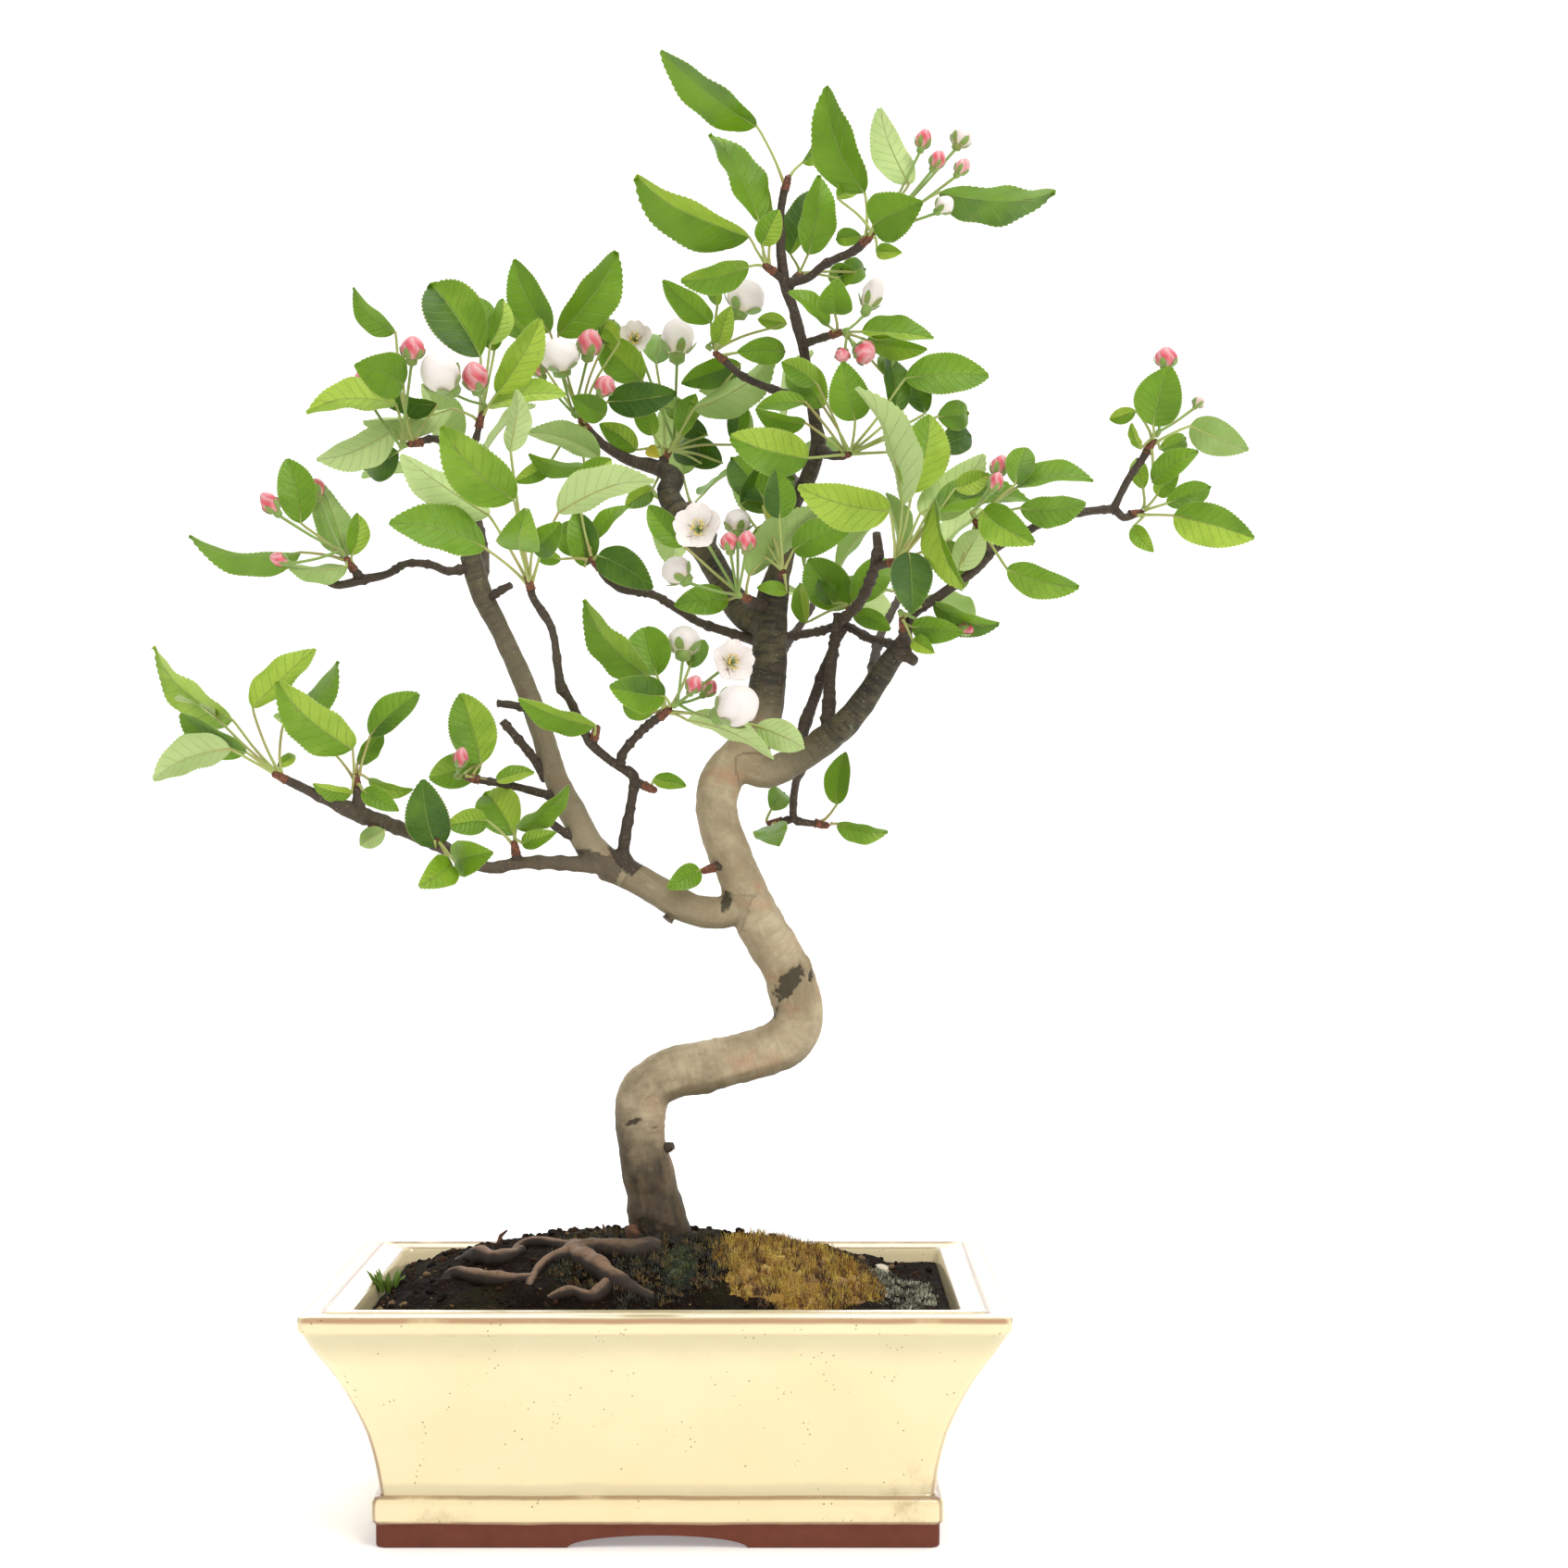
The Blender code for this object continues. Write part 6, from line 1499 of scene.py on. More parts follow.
def makeWood():
    thick, thin = {}, {}
    for name, run in allRuns().items():
        widest = max(radius for point, radius in run) * 2
        (thick if widest > bark["thick"] else thin)[name] = run
    trunk = tubes("trunkWood", thick.values(), 4)
    melt = trunk.modifiers.new("Remesh", "REMESH")
    melt.mode = "VOXEL"
    melt.voxel_size = bark["voxel"]
    even = trunk.modifiers.new("Smooth", "SMOOTH")
    even.factor = 0.5
    even.iterations = 5
    applyModifiers(trunk)
    straight, sizes = straighten(trunk, thick)
    normals = normalsOf(trunk)
    co = points(trunk)
    marks = [(seen(*scar["pixel"], 0), scar, math.radians(scar["lean"])) for scar in scars.values()]
    hollow = np.zeros(len(co))
    for i in range(len(co)):
        place = Vector(straight[i])
        radius = sizes[i]
        stretched = Vector((place.x * 230, place.y * 230, place.z * 75))
        ridges = noise.fractal(stretched, 0.9, 2.1, 3) * min(1.0, radius / (7 * mm))
        wrinkles = noise.noise(Vector((place.x * 110, place.y * 110, place.z * 420)))
        knots = max(0.0, noise.noise(Vector(co[i]) * 95) - 0.28)
        push = ridges * bark["ridges"] + wrinkles * bark["ripples"] * radius / (8 * mm)
        push = push + knots * 1.5 * mm
        for spot, scar, lean in marks:
            away = Vector(co[i]) - spot
            if normals[i][1] > -0.1:
                continue
            across = away.x * math.cos(lean) - away.z * math.sin(lean)
            upwards = away.x * math.sin(lean) + away.z * math.cos(lean)
            reach = math.hypot(across / (scar["size"][0] * mm), upwards / (scar["size"][1] * mm))
            if reach < 1.7:
                reach += 0.3 * noise.noise(Vector(co[i]) * 700)
                dip = max(0.0, 1 - reach ** 2)
                lip = math.exp(-((reach - 1.1) / 0.25) ** 2)
                push += (lip * scar["lip"] - dip * scar["depth"]) * mm
                # darker in the dip: partly the scar's own colour, partly painted shade
                hollow[i] = max(hollow[i], dip ** 0.6 * scar["dark"])
        co[i] += normals[i] * push
    setPoints(trunk, co)
    mark(trunk, "scar", hollow)

    twigs = tubes("twigWood", thin.values(), 3)
    straighten(twigs, thin)
    co = points(twigs)
    for i, normal in enumerate(normalsOf(twigs)):
        co[i] += normal * noise.fractal(Vector(co[i]) * 420, 1.0, 2.0, 2) * 0.16 * mm
    setPoints(twigs, co)
    mark(twigs, "scar", 0.0)
    tree = joined("barkedWood", [trunk, twigs])
    smoothShade(tree, 75)
    return tree


def barkFinish():
    skin = Finish("crabappleBark", roughness=0.8)
    straight = skin.node("ShaderNodeAttribute", {"attribute_name": "straight"}, output="Vector")
    girth, shade, below, scar = (skin.number(name) for name in ("girth", "shade", "below", "scar"))
    height = skin.split(skin.place())[2]
    lengthwise = skin.shifted(straight, scale=(1, 1, 0.3))
    crosswise = skin.shifted(straight, scale=(0.3, 0.3, 1.6))
    plates = skin.grain(300, detail=6, roughness=0.65, vector=lengthwise, distortion=0.4)
    rings = skin.grain(420, detail=4, vector=crosswise)
    patches = skin.grain(36, detail=5, roughness=0.6)
    thick = skin.ease(girth, 2.2, 5)

    # smooth beige bark, with faint rings and pinkish patches, and painted olive shade on the undersides
    # of thick wood
    old = skin.mix(skin.ease(patches, 0.34, 0.66), tint(146, 129, 98), tint(192, 176, 144))
    old = skin.mix(skin.ease(rings, 0.4, 0.7) * 0.3, old, tint(140, 122, 92))
    old = skin.mix(skin.ease(plates, 0.52, 0.72) * 0.3, old, tint(208, 194, 166))
    blush = skin.ease(skin.grain(70, detail=3), 0.56, 0.7)
    old = skin.mix(blush * 0.4, old, tint(176, 126, 96))
    crack = 1 - skin.ease(plates, 0.26, 0.36)
    old = skin.mix(crack * 0.35, old, tint(96, 80, 56))
    blotches = skin.ease(patches + (rings - 0.5) * 0.6, 0.36, 0.66)
    dark = skin.mix(blotches, tint(32, 29, 17), tint(84, 75, 50))
    dark = skin.mix(skin.ease(plates, 0.5, 0.7) * 0.35, dark, tint(112, 100, 72))
    young = skin.mix(rings, tint(34, 27, 22), tint(84, 68, 52))
    aged = skin.ease(shade + (patches - 0.5) * 0.9 * skin.ease(shade, 0, 0.3), 0.1, 1.0)
    base = skin.mix(aged, old, skin.mix(thick, young, dark))
    # painted shade: thick wood is darker and olive where it faces down
    shadow = skin.ease(below + (patches - 0.5) * 0.8, 0.3, 1.0) * thick
    base = skin.mix(shadow * 0.6, base, tint(74, 68, 40))
    lenticels = skin.cells(520, vector=skin.shifted(straight, scale=(0.7, 0.7, 1.9)))
    base = skin.mix((1 - skin.ease(lenticels, 0.08, 0.2)) * 0.3, base, tint(196, 180, 148))
    lichen = skin.ease(skin.grain(120, detail=5, roughness=0.7), 0.62, 0.72) * thick
    base = skin.mix(lichen * 0.3, base, tint(158, 160, 132))
    # the bark is darker towards the soil
    darkerLow = 1 - skin.ease(height + (patches - 0.5) * 0.09, 0.112, 0.176)
    streak = skin.ease(plates + (patches - 0.5), 0.3, 0.8)
    base = skin.mix(darkerLow * 0.92, base, skin.mix(streak, tint(38, 27, 16), tint(98, 78, 52)))
    # the roots are reddish, with a painted highlight on their upper faces and painted shade below, and
    # mossy in their hollows
    root = 1 - skin.ease(height, 0.1, 0.108)
    top = skin.split(skin.node("ShaderNodeNewGeometry", output="Normal"))[2]
    top = skin.ease(top + (patches - 0.5) * 1.4 + (plates - 0.5) * 0.8, 0.5, 1.0)
    rootLitAndShaded = skin.mix(top, tint(40, 25, 17), tint(132, 102, 78))
    base = skin.mix(root, base, skin.mix(skin.ease(rings, 0.45, 0.7) * 0.4, rootLitAndShaded, tint(58, 52, 20)))
    # the scars are darker in their hollows: partly their own colour, partly painted shade
    stain = skin.ease(scar + (skin.grain(330, detail=4) - 0.5) * 1.1, 0.32, 0.66)
    base = skin.mix(stain * skin.ease(scar, 0, 0.2) * 0.9, base, tint(50, 44, 24))
    skin.colour(base)
    skin.feed(skin.shader.inputs["Roughness"], 0.56 + plates * 0.3)
    skin.relief(plates * 0.5 + rings * 0.35 + skin.grain(1700, detail=3) * 0.12, 0.6 * mm)
    return skin


dress(makeWood(), "bark", "wood", finish=barkFinish())
print("wood ready")


# Leaves

leafShape = {
    "rows": 44,
    "columns": 8,
    "thickness": 0.36 * mm,
    "teeth": 0.055,
    "full": 1.08,
    "arch": 0.06,
    "fold": (0.18, 0.44),
    "ripple": 0.5 * mm,
    "lengthToWidth": 2.1,
    "spurLength": 6 * mm,
    "spurDiameter": 4 * mm,
    "petiole": 1.2 * mm,
    "fit": 0.6 * mm,
    "backStalk": 12 * mm,
    "backLength": 40 * mm,
    "backWidth": 17 * mm,
}


class Blade:
    # where a blade lies: its base, tip, face direction and true width

    def __init__(self, base, tip, width, turn):
        self.base, self.tip, self.width = base, tip, width
        self.length = (tip - base).length
        self.axis = (tip - base).normalized()
        towards = (view["eye"] + potMiddle - (base + tip) / 2).normalized()
        facing = (towards - towards.dot(self.axis) * self.axis).normalized()
        across = self.axis.cross(facing)
        self.face = (math.cos(turn) * facing + math.sin(turn) * across).normalized()
        self.across = self.axis.cross(self.face)

    def spine(self, along):
        lift = 4 * along * (1 - along) * leafShape["arch"] * self.length
        return self.base + self.axis * self.length * along + self.face * lift


shifts = sorted(
    [(tip, base) for tip in range(-35, 36, 7) for base in (-15, -10, -5, 0, 5, 10, 15)],
    key=lambda shift: (abs(shift[0]) + 1.5 * abs(shift[1]), shift),
)


def bladePlaces(row, spurDepth, number):
    # the places a blade may take, all alike in the front view
    baseU, baseV, tipU, tipV, seenWidth, lean, side = row
    shown = (seen(tipU, tipV, 0) - seen(baseU, baseV, 0)).length
    width = seenWidth * mm
    full = max(shown, leafShape["lengthToWidth"] * width)
    slant = lean * math.sqrt(max(0.0, (1.12 * full) ** 2 - shown ** 2))
    trueWidth = max(width, full / leafShape["lengthToWidth"])
    turn = math.acos(min(1.0, width / trueWidth)) * (1 if number % 2 else -1)
    if side < 0:
        turn = math.pi - turn
    for tipShift, baseShift in shifts:
        baseDepth = spurDepth + slant / mm * 0.35 + baseShift
        tipDepth = baseDepth + slant / mm + tipShift
        yield Blade(seen(baseU, baseV, baseDepth), seen(tipU, tipV, tipDepth), trueWidth, turn)


def backPlaces(spur, number, count, firstAngle):
    end, way = spur
    helper = way.orthogonal().normalized()
    for extra in (0, 18, -18, 36, -36, 54):
        angle = math.radians(firstAngle + 360 * number / count + extra)
        out = Matrix.Rotation(angle, 3, way) @ helper
        aim = (way * 0.45 + out * 0.9 + Vector((0, 0.25, 0.15))).normalized()
        base = end + way * leafShape["spurLength"] + aim * leafShape["backStalk"]
        tip = base + aim * leafShape["backLength"] * (0.85 + 0.15 * math.sin(number * 2.1))
        blade = Blade(base, tip, leafShape["backWidth"], 0)
        up = Vector((0, 0, 1)) + way * 0.6
        blade.face = (up - up.dot(blade.axis) * blade.axis).normalized()
        blade.across = blade.axis.cross(blade.face)
        yield blade


def meshTree(*objects):
    spots, faces = [], []
    for obj in objects:
        first = len(spots)
        spots += [vert.co for vert in obj.data.vertices]
        faces += [[first + number for number in face.vertices] for face in obj.data.polygons]
    return BVHTree.FromPolygons(spots, faces)


def away(tree, point):
    return tree.find_nearest(point)[3]


def packedBlade(places, tree):
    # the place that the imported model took, or None where it has no such leaf
    best = None
    for blade in places:
        off = max(away(tree, blade.spine(along)) for along in (0.3, 0.5, 0.7, 1))
        if best is None or off < best[0]:
            best = (off, blade)
        if off < 0.42 * mm:
            break
    return best[1] if best[0] < leafShape["fit"] else None


def spurEnd(name):
    route = woodRoute(name)
    return route[-1], (route[-1] - route[-2]).normalized()


def leafFoot(spur, target, share):
    end, way = spur
    middle = end + way * (gap + leafShape["spurLength"] * (0.22 + 0.6 * share))
    aim = target - middle
    sideways = aim - aim.dot(way) * way
    return middle + sideways.normalized() * leafShape["spurDiameter"] * 0.24


def shapeLeaf(sheet, blade, seed, tone):
    # a serrate, folded, arched and waved blade
    dice = random.Random(seed)
    leaf = copyOf(sheet)
    co = points(leaf)
    u, v, side = co[:, 0], (co[:, 1] + 1) / 2, np.sign(co[:, 2])
    row = np.rint(v * leafShape["rows"]).astype(int)
    low, high = dice.uniform(0.5, 0.6), dice.uniform(0.7, 0.86)
    peak = low / (low + high)
    outline = v ** low * (1 - v) ** high / (peak ** low * (1 - peak) ** high)
    outline = np.maximum(outline, 0.05 * (1 - v) + 0.012)
    out = (row % 2 == 1) & (np.abs(u) > 0.99) & (row > 3)
    teeth = np.where(out, leafShape["teeth"], 0)
    half = outline * blade.width / 2 * leafShape["full"] * (1 + teeth)
    forward = np.where(out, 0.7 / leafShape["rows"], 0)
    size = min(1.0, blade.length / (40 * mm))
    phase, waves = dice.uniform(0, 6.3), dice.uniform(1.6, 2.6)
    wide = np.abs(u) * outline
    fold = dice.uniform(*leafShape["fold"]) * blade.width / 2 * np.abs(u) ** 1.25 * outline
    ripple = np.sin(6.28 * waves * v + phase + (u > 0) * dice.uniform(0.6, 2.2)) * wide ** 2
    puckers = np.cos(2 * np.pi * 7 * (v - 0.16 * np.abs(u))) * np.sin(np.pi * np.abs(u)) * outline
    curl = -dice.uniform(-0.03, 0.16) * blade.length * np.maximum(0, v - 0.55) ** 2 * 4
    curl = curl * (1 - 0.55 * (v > 0.999))
    rise = 4 * v * (1 - v) * leafShape["arch"] * blade.length + fold
    rise += ripple * leafShape["ripple"] * (1.1 + dice.random()) * size + puckers * 0.1 * mm * size
    rise += curl + side * leafShape["thickness"] / 2 * (0.55 + 0.45 * (1 - np.abs(u) ** 3))
    sway = dice.uniform(-0.05, 0.05) * blade.length * 4 * v * (1 - v)
    setPoints(leaf, placedAlong(
        blade.base, (blade.length * (v + forward), blade.axis),
        (u * half + sway, blade.across), (rise, blade.face),
    ))
    mark(leaf, "under", side < 0)
    mark(leaf, "tone", tone)
    mark(leaf, "kind", dice.random())
    spine = []
    for step in range(11):
        t = step / 10
        lift = 4 * t * (1 - t) * leafShape["arch"] * blade.length
        aside = float(sway[np.argmin(np.abs(v - t))])
        down = blade.face * -0.12 * mm
        spine.append(blade.base + blade.axis * blade.length * t + blade.face * lift
                     + blade.across * aside + down)
    return leaf, spine


def stalkRun(foot, way, spine):
    # a petiole that leaves the spur along it, bends to the blade and tapers out as its midrib
    radius = leafShape["petiole"] / 2
    reach = (spine[0] - foot).length
    lift = foot.lerp(spine[0], 0.5) + way * reach * 0.04
    run = [(foot - way * 0.6 * mm, radius * 1.25), (foot.lerp(lift, 0.4), radius * 0.95),
           (lift, radius * 0.85), (spine[0], radius * 0.85)]
    for step, point in enumerate(spine[1:9]):
        run.append((point, radius * (0.62 - 0.065 * step)))
    return smoothRun(run, 3.2 * mm)


def leafFinish():
    leaf = Finish("crabappleLeaf", roughness=0.42)
    across, along, flat = leaf.split(leaf.unwrapped())
    kind = leaf.number("kind")
    # painted light and shade: one half of a blade is often lighter than the other, as a fold lit on one
    # side
    half = (leaf.ease(across, 0.47, 0.53) - 0.5) * (kind - 0.35) * 1.4
    across = abs(across * 2 - 1)
    tone = leaf.number("tone") + (kind - 0.5) * 0.6 + half
    tone = tone + (leaf.grain(70, detail=2) - 0.5) * 1.1 - (1 - along) * 0.12
    under = leaf.number("under")
    upper = leaf.mix(leaf.ease(tone, -1.0, 0.0), tint(42, 84, 12), tint(120, 164, 24))
    upper = leaf.mix(leaf.ease(tone, -0.1, 0.9), upper, tint(186, 214, 74))
    upper = leaf.mix(leaf.ease(tone, 1.4, 1.8), upper, tint(228, 206, 62))
    lower = leaf.mix(leaf.ease(tone, -0.8, 0.9), tint(136, 170, 78), tint(212, 232, 158))
    # side veins run out and forward from the midrib
    vein = abs((along * 8.5 - across * 1.5 + (leaf.grain(60, detail=1) - 0.5) * 0.5) % 1 - 0.5)
    vein = (1 - leaf.ease(vein, 0.0, 0.1)) * leaf.ease(1 - across, 0.0, 0.25)
    net = leaf.cells(900, feature="DISTANCE_TO_EDGE")
    net = 1 - leaf.ease(net, 0.0, 0.14)
    rib = 1 - leaf.ease(across, 0.01, 0.05)
    upper = leaf.mix(vein * 0.3, upper, tint(164, 190, 84))
    upper = leaf.mix(net * 0.12, upper, tint(60, 104, 24))
    # painted highlight: the blade is lighter along its edge
    edge = leaf.ease(across, 0.93, 1.0)
    upper = leaf.mix(edge * 0.45, upper, tint(190, 196, 112))
    upper = leaf.mix(rib * 0.6, upper, tint(160, 186, 92))
    lower = leaf.mix(vein * 0.4, lower, tint(158, 176, 120))
    lower = leaf.mix(rib * 0.7, lower, tint(196, 202, 150))
    base = leaf.mix(under, upper, lower)
    spots = leaf.ease(leaf.grain(260, detail=2), 0.7, 0.76)
    base = leaf.mix(spots * 0.3, base, tint(150, 140, 62))
    leaf.colour(base)
    leaf.feed(leaf.shader.inputs["Roughness"], 0.36 + under * 0.3 + leaf.grain(300) * 0.12)
    leaf.relief(0 - vein * (1 - under * 1.6) * 0.8 - rib * (1 - under * 2) + net * -0.25, 0.25 * mm)
    leaf.letThrough(0.25, tint(182, 210, 40))
    return leaf


def petioleFinish():
    stalk = Finish("leafStalk", roughness=0.5)
    blush = stalk.ease(stalk.grain(60, detail=3), 0.45, 0.7)
    stalk.colour(stalk.mix(blush * 0.5, tint(164, 176, 98), tint(166, 128, 84)))
    stalk.relief(stalk.grain(900), 0.15 * mm)
    return stalk


def spurFinish():
    scale = Finish("spurScales", roughness=0.6)
    plates = scale.cells(900)
    base = scale.mix(scale.grain(300, detail=4), tint(84, 44, 28), tint(160, 92, 58))
    scale.colour(scale.mix(scale.ease(plates, 0.3, 0.7) * 0.6, base, tint(38, 26, 20)))
    scale.relief(plates, 0.4 * mm)
    return scale


def spurRun(end, way):
    # overlapping bud scales make rings round the spur's tip
    run = []
    length, radius = leafShape["spurLength"], leafShape["spurDiameter"] / 2
    for step in range(17):
        t = step / 16
        ring = 0.17 * (1 - (t * 4.6) % 1)
        taper = 0.9 - 0.3 * t - 0.5 * max(0.0, t - 0.86) / 0.14
        sway = noise.noise_vector(end * 500 + Vector((0, 0, t * 2))) * 0.3 * mm
        run.append((end + way * (t * length - 1.2 * mm) + sway, radius * (taper * (0.9 + ring))))
    return run


# how light a leaf is next to the others: -1 dark, 1 pale; partly the leaf's own colour, partly painted
# light and shade
tones = {
    "leaves_low_tip": {0: 0.6, 1: 0.8, 3: 0.5, 4: 0.7},
    "leaves_low_mid": {0: 0.3, 1: 0.7},
    "leaves_middle_top": {0: 0.3, 2: 1.0, 3: 1.0, 4: 0.8},
    "leaves_left_crown": {2: -0.7, 3: 0.7, 4: 0.8, 5: -0.6},
    "leaves_left_top": {0: -0.6, 2: 0.8, 3: 0.6, 4: 0.6},
    "leaves_right_front": {0: 0.9, 1: 1.0, 2: 0.3, 3: 0.8, 6: -0.6},
    "leaves_top_right": {2: 0.8},
    "leaves_blossom": {4: 0.8, 5: 0.8},
    "leaves_right_twig": {4: 0.8},
    "leaves_low_right": {0: -0.6, 1: 0.35, 2: 0.35},
    "leaves_centre_left": {7: -0.7},
    "leaves_centre_back": {2: -0.5},
    "leaves_top_back": {0: -0.5},
    "leaves_right_crown": {1: -0.6},
    "leaves_thin_left": {0: -0.5},
    "leaves_trunk_front": {1: -0.5, 2: -0.6},
}


def clearBlade(places, others):
    # the first place that keeps off the leaves already there, or else the roomiest
    best = None
    for blade in places:
        spots = [blade.spine(along) for along in (0.25, 0.5, 0.75, 0.98)]
        room = min(away(crown, spot) for spot in spots)
        room = min([room] + [(spot - other).length for spot in spots for other in others])
        if best is None or room > best[0] + 0.2 * mm:
            best = (room, blade)
        if room > 1.6 * mm:
            break
    others += [best[1].spine(along) for along in (0.2, 0.4, 0.6, 0.8, 0.98)]
    return best[1]


def makeSpray(name, twig, candidates, tiny, sheet, finishes):
    tree = meshTree(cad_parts[name])
    spur = spurEnd(twig)
    blades = [packedBlade(list(places), tree) for places in candidates]
    firsts = [next(iter(places)) for places in candidates]
    forward = [(first.base - spur[0]).normalized().dot(spur[1]) for first in firsts]
    leaves, runs, missing = [], [spurRun(*spur)], []
    for number, blade in enumerate(blades):
        if blade is None:
            missing.append(number)
            continue
        share = sum(other < forward[number] for other in forward) / max(1, len(blades) - 1)
        tone = tones.get(name, {}).get(number, 0.0)
        leaf, spine = shapeLeaf(sheet, blade, number * 7.7 + len(name), tone)
        leaves.append(leaf)
        runs.append(stalkRun(leafFoot(spur, blade.base, share), spur[1], spine))
    for number, (blade, tone) in enumerate(tiny):
        leaf, spine = shapeLeaf(sheet, blade, 500 + number * 3.3 + len(name), tone)
        leaves.append(leaf)
        runs.append(stalkRun(leafFoot(spur, blade.base, 0.95), spur[1], spine))
    stalks = tubes("stalks", runs[1:], 2)
    stub = tubes("stub", runs[:1], 4)
    for piece, finish in [(leaf, "leaf") for leaf in leaves] + [(stalks, "stalk"), (stub, "spur")]:
        paint(piece, finishes[finish])
    spray = joined(name + "_dressed", leaves + [stalks, stub])
    smoothShade(spray, 55)
    dress(spray, "leaf", name)
    if missing:
        print("not in the packed model:", name, missing)
    return spray


leafFinishes = {"leaf": leafFinish(), "stalk": petioleFinish(), "spur": spurFinish()}
sheet = sheetOf(leafShape["columns"], leafShape["rows"])
crown = meshTree(*[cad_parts[name] for name in [*sprays, *backSprays, *flowers]])
extraSpots = []
for name, (twig, rows) in sprays.items():
    depth = wood[twig][-1][2]
    candidates = [list(bladePlaces(row, depth, number)) for number, row in enumerate(rows)]
    extras = [row + (0.35,) for row in tinyLeaves.get(name, [])] + moreLeaves.get(name, [])
    small = [
        (clearBlade(bladePlaces(row[:7], depth, number), extraSpots), row[7])
        for number, row in enumerate(extras)
    ]
    makeSpray(name, twig, candidates, small, sheet, leafFinishes)
for name, (twig, count, firstAngle) in backSprays.items():
    candidates = [list(backPlaces(spurEnd(twig), n, count, firstAngle)) for n in range(count)]
    makeSpray(name, twig, candidates, [], sheet, leafFinishes)
bpy.data.objects.remove(sheet, do_unlink=True)
print("leaves ready")


# Flowers

flowerShape = {
    "pedicel": 1.2 * mm,
    "budSides": 30,
    "budRings": 16,
    "petalRows": 9,
    "petalColumns": 8,
    "stamens": 16,
}


# how pink a bud is where it isn't as pink as the others
pinks = {"flowers_top_right": {3: 0.15, 4: 0.1, 2: 0.7}, "flowers_far_right": {1: 0.4}}


def upright(up):
    # two directions at right angles to up
    side = up.cross(Vector((0.1, 1, 0.2))).normalized()
    return side, up.cross(side).normalized()


def makeBud(template, middle, up, height, width, kind, seed, pink):
    # petals wrapped round each other: each edge stands a little over the next
    bud = copyOf(template)
    co = points(bud)
    side, front = upright(up)
    z = np.clip(co[:, 2], -1, 1)
    turn = np.arctan2(co[:, 1], co[:, 0])
    full = np.sqrt(np.maximum(0, 1 - z ** 2))
    top = 0.14 if kind == "ball" else 0.3
    # a bud is fuller below the middle and drawn to a blunt point
    half = full ** 0.82 * (1 - top * np.maximum(0, z) ** 1.4)
    twist = turn * 5 / (2 * np.pi) + z * 0.75 + seed
    step = 1 - (twist % 1)
    overlap = (0.1 if kind == "ball" else 0.075) * step * (1 - np.abs(z) ** 4)
    radius = width / 2 * half * (0.95 + overlap)
    setPoints(bud, placedAlong(
        middle, (z * height / 2, up), (radius * np.cos(turn), side), (radius * np.sin(turn), front),
    ))
    mark(bud, "level", (z + 1) / 2)
    mark(bud, "step", step)
    mark(bud, "pink", pink)
    return bud


def makeCalyx(petal, middle, up, height, width, kind, seed):
    # five pointed sepals on a small urn
    side, front = upright(up)
    made = []
    reach = 0.34 if kind == "ball" else 0.5
    for n in range(5):
        turn = math.radians(72 * n + seed * 40)
        out = math.cos(turn) * side + math.sin(turn) * front
        across = up.cross(out)
        sepal = copyOf(petal)
        co = points(sepal)
        u, v, face = co[:, 0], (co[:, 1] + 1) / 2, np.sign(co[:, 2])
        level = -0.5 + 0.06 + v * reach * 0.92
        wrap = np.sqrt(np.maximum(0.02, 1 - (2 * np.minimum(level, 0.46)) ** 2)) ** 0.82
        radius = width / 2 * wrap * 1.07 + 0.12 * mm + face * 0.14 * mm
        if kind == "ball":
            radius = radius + v ** 2 * 0.8 * mm
        half = width * 0.23 * (1 - v) ** 0.8 * (0.75 + 0.6 * v) + 0.04 * mm
        bend = u * half / (width / 2)
        setPoints(sepal, placedAlong(
            middle, (level * height, up), (radius * np.cos(bend), out), (radius * np.sin(bend), across),
        ))
        made.append(sepal)
    return made


def makeBlossom(petal, ball, middle, facing, size, seed):
    # five cupped petals that overlap, with a brush of stamens
    dice = random.Random(seed)
    side = facing.cross(Vector((0, 0, 1))).normalized()
    lift = side.cross(facing).normalized()
    petals = []
    for n in range(5):
        angle = math.radians(72 * n + 18)
        out = math.cos(angle) * side + math.sin(angle) * lift
        run = (out * 0.86 + facing * 0.42).normalized()
        across = facing.cross(run).normalized()
        face = run.cross(across).normalized()
        if face.dot(facing) < 0:
            face = -face
        piece = copyOf(petal)
        co = points(piece)
        u, v, layer = co[:, 0], (co[:, 1] + 1) / 2, np.sign(co[:, 2])
        half = np.sin(np.pi * (0.1 + 0.83 * v) ** 1.25) ** 0.6
        half = size * 0.3 * np.maximum(half, 0.14)
        wave = 0.02 * size * np.sin(5 * v + dice.uniform(0, 6)) * u
        rise = 0.08 * size * v ** 2 + 0.1 * size * np.abs(u) ** 2 * (1 - 0.5 * v) + wave
        rise += layer * 0.13 * mm + (0.3 * mm if n % 2 else 0)
        rise -= 0.07 * size * np.maximum(0, v - 0.7) ** 2 * 8 * (1 - u ** 2)
        notch = 1 - 0.05 * np.exp(-(u / 0.22) ** 2) * (v > 0.9)
        setPoints(piece, placedAlong(
            middle + out * 0.9 * mm, (v * size * 0.57 * notch, run), (u * half, across), (rise, face),
        ))
        mark(piece, "level", v)
        mark(piece, "step", np.abs(u))
        mark(piece, "pink", 0.06)
        petals.append(piece)
    threads, anthers = [], []
    for n in range(flowerShape["stamens"]):
        angle = n * 2.4
        spread = 0.16 + 0.2 * (n % 4) / 3
        aim = facing + (math.cos(angle) * side + math.sin(angle) * lift) * spread * 2.2
        tip = middle + aim.normalized() * size * dice.uniform(0.24, 0.33)
        threads.append([(middle, 0.16 * mm), (middle.lerp(tip, 0.6), 0.13 * mm), (tip, 0.11 * mm)])
        anther = copyOf(ball)
        anther.data.transform(Matrix.Translation(tip) @ Matrix.Diagonal((0.42 * mm,) * 3 + (1,)))
        anthers.append(anther)
    return petals, threads, anthers


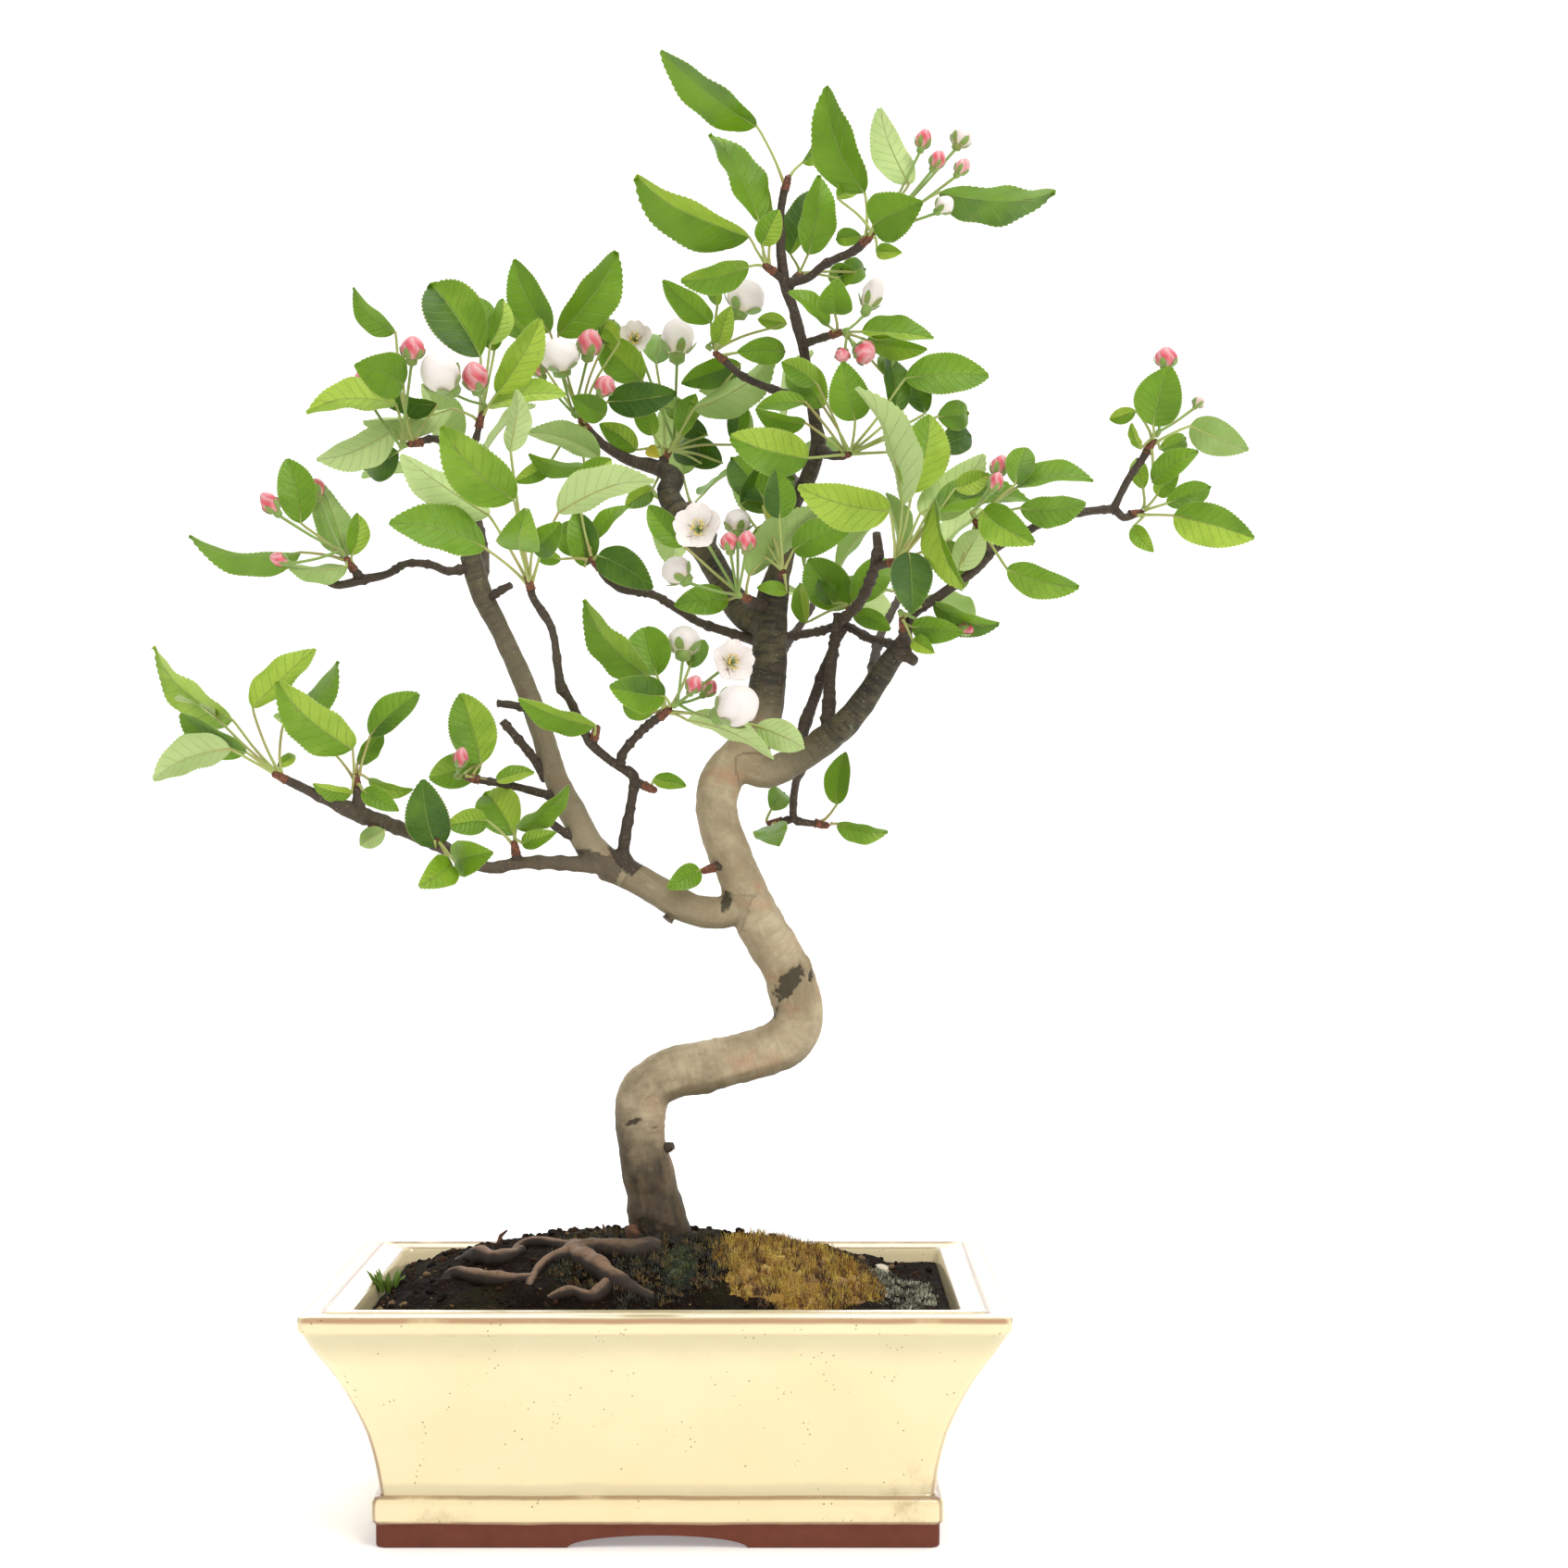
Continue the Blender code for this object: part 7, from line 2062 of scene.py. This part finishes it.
def petalFinish():
    petal = Finish("petalBlush", roughness=0.5, **{"Sheen Weight": 0.12})
    level, step, pink = (petal.number(name) for name in ("level", "step", "pink"))
    streaks = petal.grain(900, detail=3, vector=petal.shifted(petal.place(), scale=(1, 1, 0.22)))
    white = petal.mix(petal.ease(level, 0.0, 0.4), tint(238, 234, 204), tint(252, 251, 247))
    blush = petal.mix(petal.ease(streaks, 0.35, 0.65), tint(238, 100, 116), tint(204, 36, 66))
    pale = petal.mix(petal.ease(level, 0.05, 0.6), tint(244, 158, 158), blush)
    # the bud is paler towards its top: partly its own colour, partly a painted highlight
    paleTopAndHighlight = petal.ease(level + (streaks - 0.5) * 0.5, 0.6, 0.95) * 0.5
    pale = petal.mix(paleTopAndHighlight, pale, tint(252, 190, 196))
    share = petal.least(pink * (0.62 + petal.ease(step, 0.0, 0.9) * 0.5), 1)
    base = petal.mix(share, white, pale)
    # painted shade: a darker line in the crease where each petal tucks under the next
    creaseShade = (1 - petal.ease(step, 0.0, 0.07)) * (0.1 + pink * 0.35)
    base = petal.mix(creaseShade, base, tint(170, 60, 84))
    petal.colour(base)
    petal.relief(petal.grain(1500, detail=2), 0.12 * mm)
    petal.letThrough(0.2, tint(255, 232, 230))
    return petal


def calyxFinish():
    calyx = Finish("calyxGreen", roughness=0.6, **{"Sheen Weight": 0.3})
    blush = calyx.ease(calyx.grain(220, detail=3), 0.45, 0.7)
    calyx.colour(calyx.mix(blush * 0.35, tint(128, 158, 72), tint(150, 108, 70)))
    calyx.relief(calyx.grain(1400, detail=2), 0.15 * mm)
    return calyx


def flowerPlace(row, knob, depth, tree):
    # middle and up of a flower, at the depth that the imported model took
    u, v, height, width, back, kind = row
    best = None
    for shift in (0, -6, 6, -12, 12, -18, 18):
        middle = seen(u, v, depth + back + shift)
        rise = (middle - knob).normalized()
        if kind == "open":
            facing = ((view["eye"] + potMiddle - middle).normalized() + rise * 0.5).normalized()
            probe = middle - facing * 1.5 * mm + facing * 3.9 * mm
            aim = facing
        else:
            aim = (rise + Vector((0, 0, 0.5))).normalized()
            probe = middle + aim * (0.52 if kind == "ball" else 0.5) * height * mm
        off = away(tree, probe)
        if best is None or off < best[0]:
            best = (off, middle, aim)
    return best


def makeBunch(name, twig, rows, templates, finishes):
    ball, petal, tinyBall = templates
    tree = meshTree(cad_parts[name])
    end, way = spurEnd(twig)
    knob = end + way * (2 * gap + leafShape["spurLength"] + 1.2 * mm)
    depth = wood[twig][-1][2]
    groups = {"petal": [], "calyx": [], "pollen": []}
    green = [[(knob - way * 2.2 * mm, 1.0 * mm), (knob, 1.15 * mm), (knob + way * 0.6 * mm, 0.7 * mm)]]
    radius = flowerShape["pedicel"] / 2
    for number, row in enumerate(rows):
        height, width, kind = row[2] * mm, row[3] * mm, row[5]
        off, middle, aim = flowerPlace(row, knob, depth, tree)
        if off > 0.8 * mm:
            print("not in the packed model:", name, number)
            continue
        if kind == "open":
            heart = middle - aim * 1.5 * mm
            petals, threads, anthers = makeBlossom(petal, tinyBall, heart, aim, width, number + 3)
            groups["petal"] += petals
            groups["pollen"] += anthers
            green += threads
            foot = middle - aim * 3.4 * mm
            green.append([(foot - aim * 2.2 * mm, radius), (foot, 1.5 * mm), (heart, 1.1 * mm)])
            neck = foot - aim * 2.0 * mm
        else:
            pink = pinks.get(name, {}).get(number, 0.07 if kind == "ball" else 1.0)
            groups["petal"].append(
                makeBud(ball, middle, aim, height, width, kind, number * 0.37, pink)
            )
            groups["calyx"] += makeCalyx(petal, middle, aim, height, width, kind, number)
            foot = middle - aim * height * 0.5
            urn = width * 0.24
            green.append([
                (foot - aim * height * 0.26, radius), (foot - aim * height * 0.16, urn),
                (foot + aim * 0.4 * mm, urn * 1.1), (foot + aim * height * 0.12, urn * 0.9),
            ])
            neck = foot - aim * height * 0.2
        bend = knob.lerp(neck, 0.5) - aim * (neck - knob).length * 0.06
        green.append(smoothRun([(knob, radius), (bend, radius * 0.9), (neck, radius)], 2.2 * mm))
    stalks = tubes("pedicels", green, 2)
    groups["calyx"].append(stalks)
    pieces = []
    for finish, members in groups.items():
        for piece in members:
            paint(piece, finishes[finish])
        pieces += members
    bunch = joined(name + "_dressed", pieces)
    smoothShade(bunch, 60)
    dress(bunch, "petal", name)


flowerFinishes = {
    "petal": petalFinish(),
    "calyx": calyxFinish(),
    "pollen": plainFinish("pollenYellow", 0.7, 900, (226, 186, 70), (240, 214, 120), None),
}
petalSheet = sheetOf(flowerShape["petalColumns"], flowerShape["petalRows"])
deselect()
bpy.ops.mesh.primitive_uv_sphere_add(
    segments=flowerShape["budSides"], ring_count=flowerShape["budRings"], radius=1,
)
budBall = bpy.context.object
deselect()
bpy.ops.mesh.primitive_ico_sphere_add(subdivisions=1, radius=1)
antherBall = bpy.context.object
for name, (twig, rows) in flowers.items():
    makeBunch(name, twig, rows, (budBall, petalSheet, antherBall), flowerFinishes)
for template in (budBall, petalSheet, antherBall):
    bpy.data.objects.remove(template, do_unlink=True)
print("flowers ready")
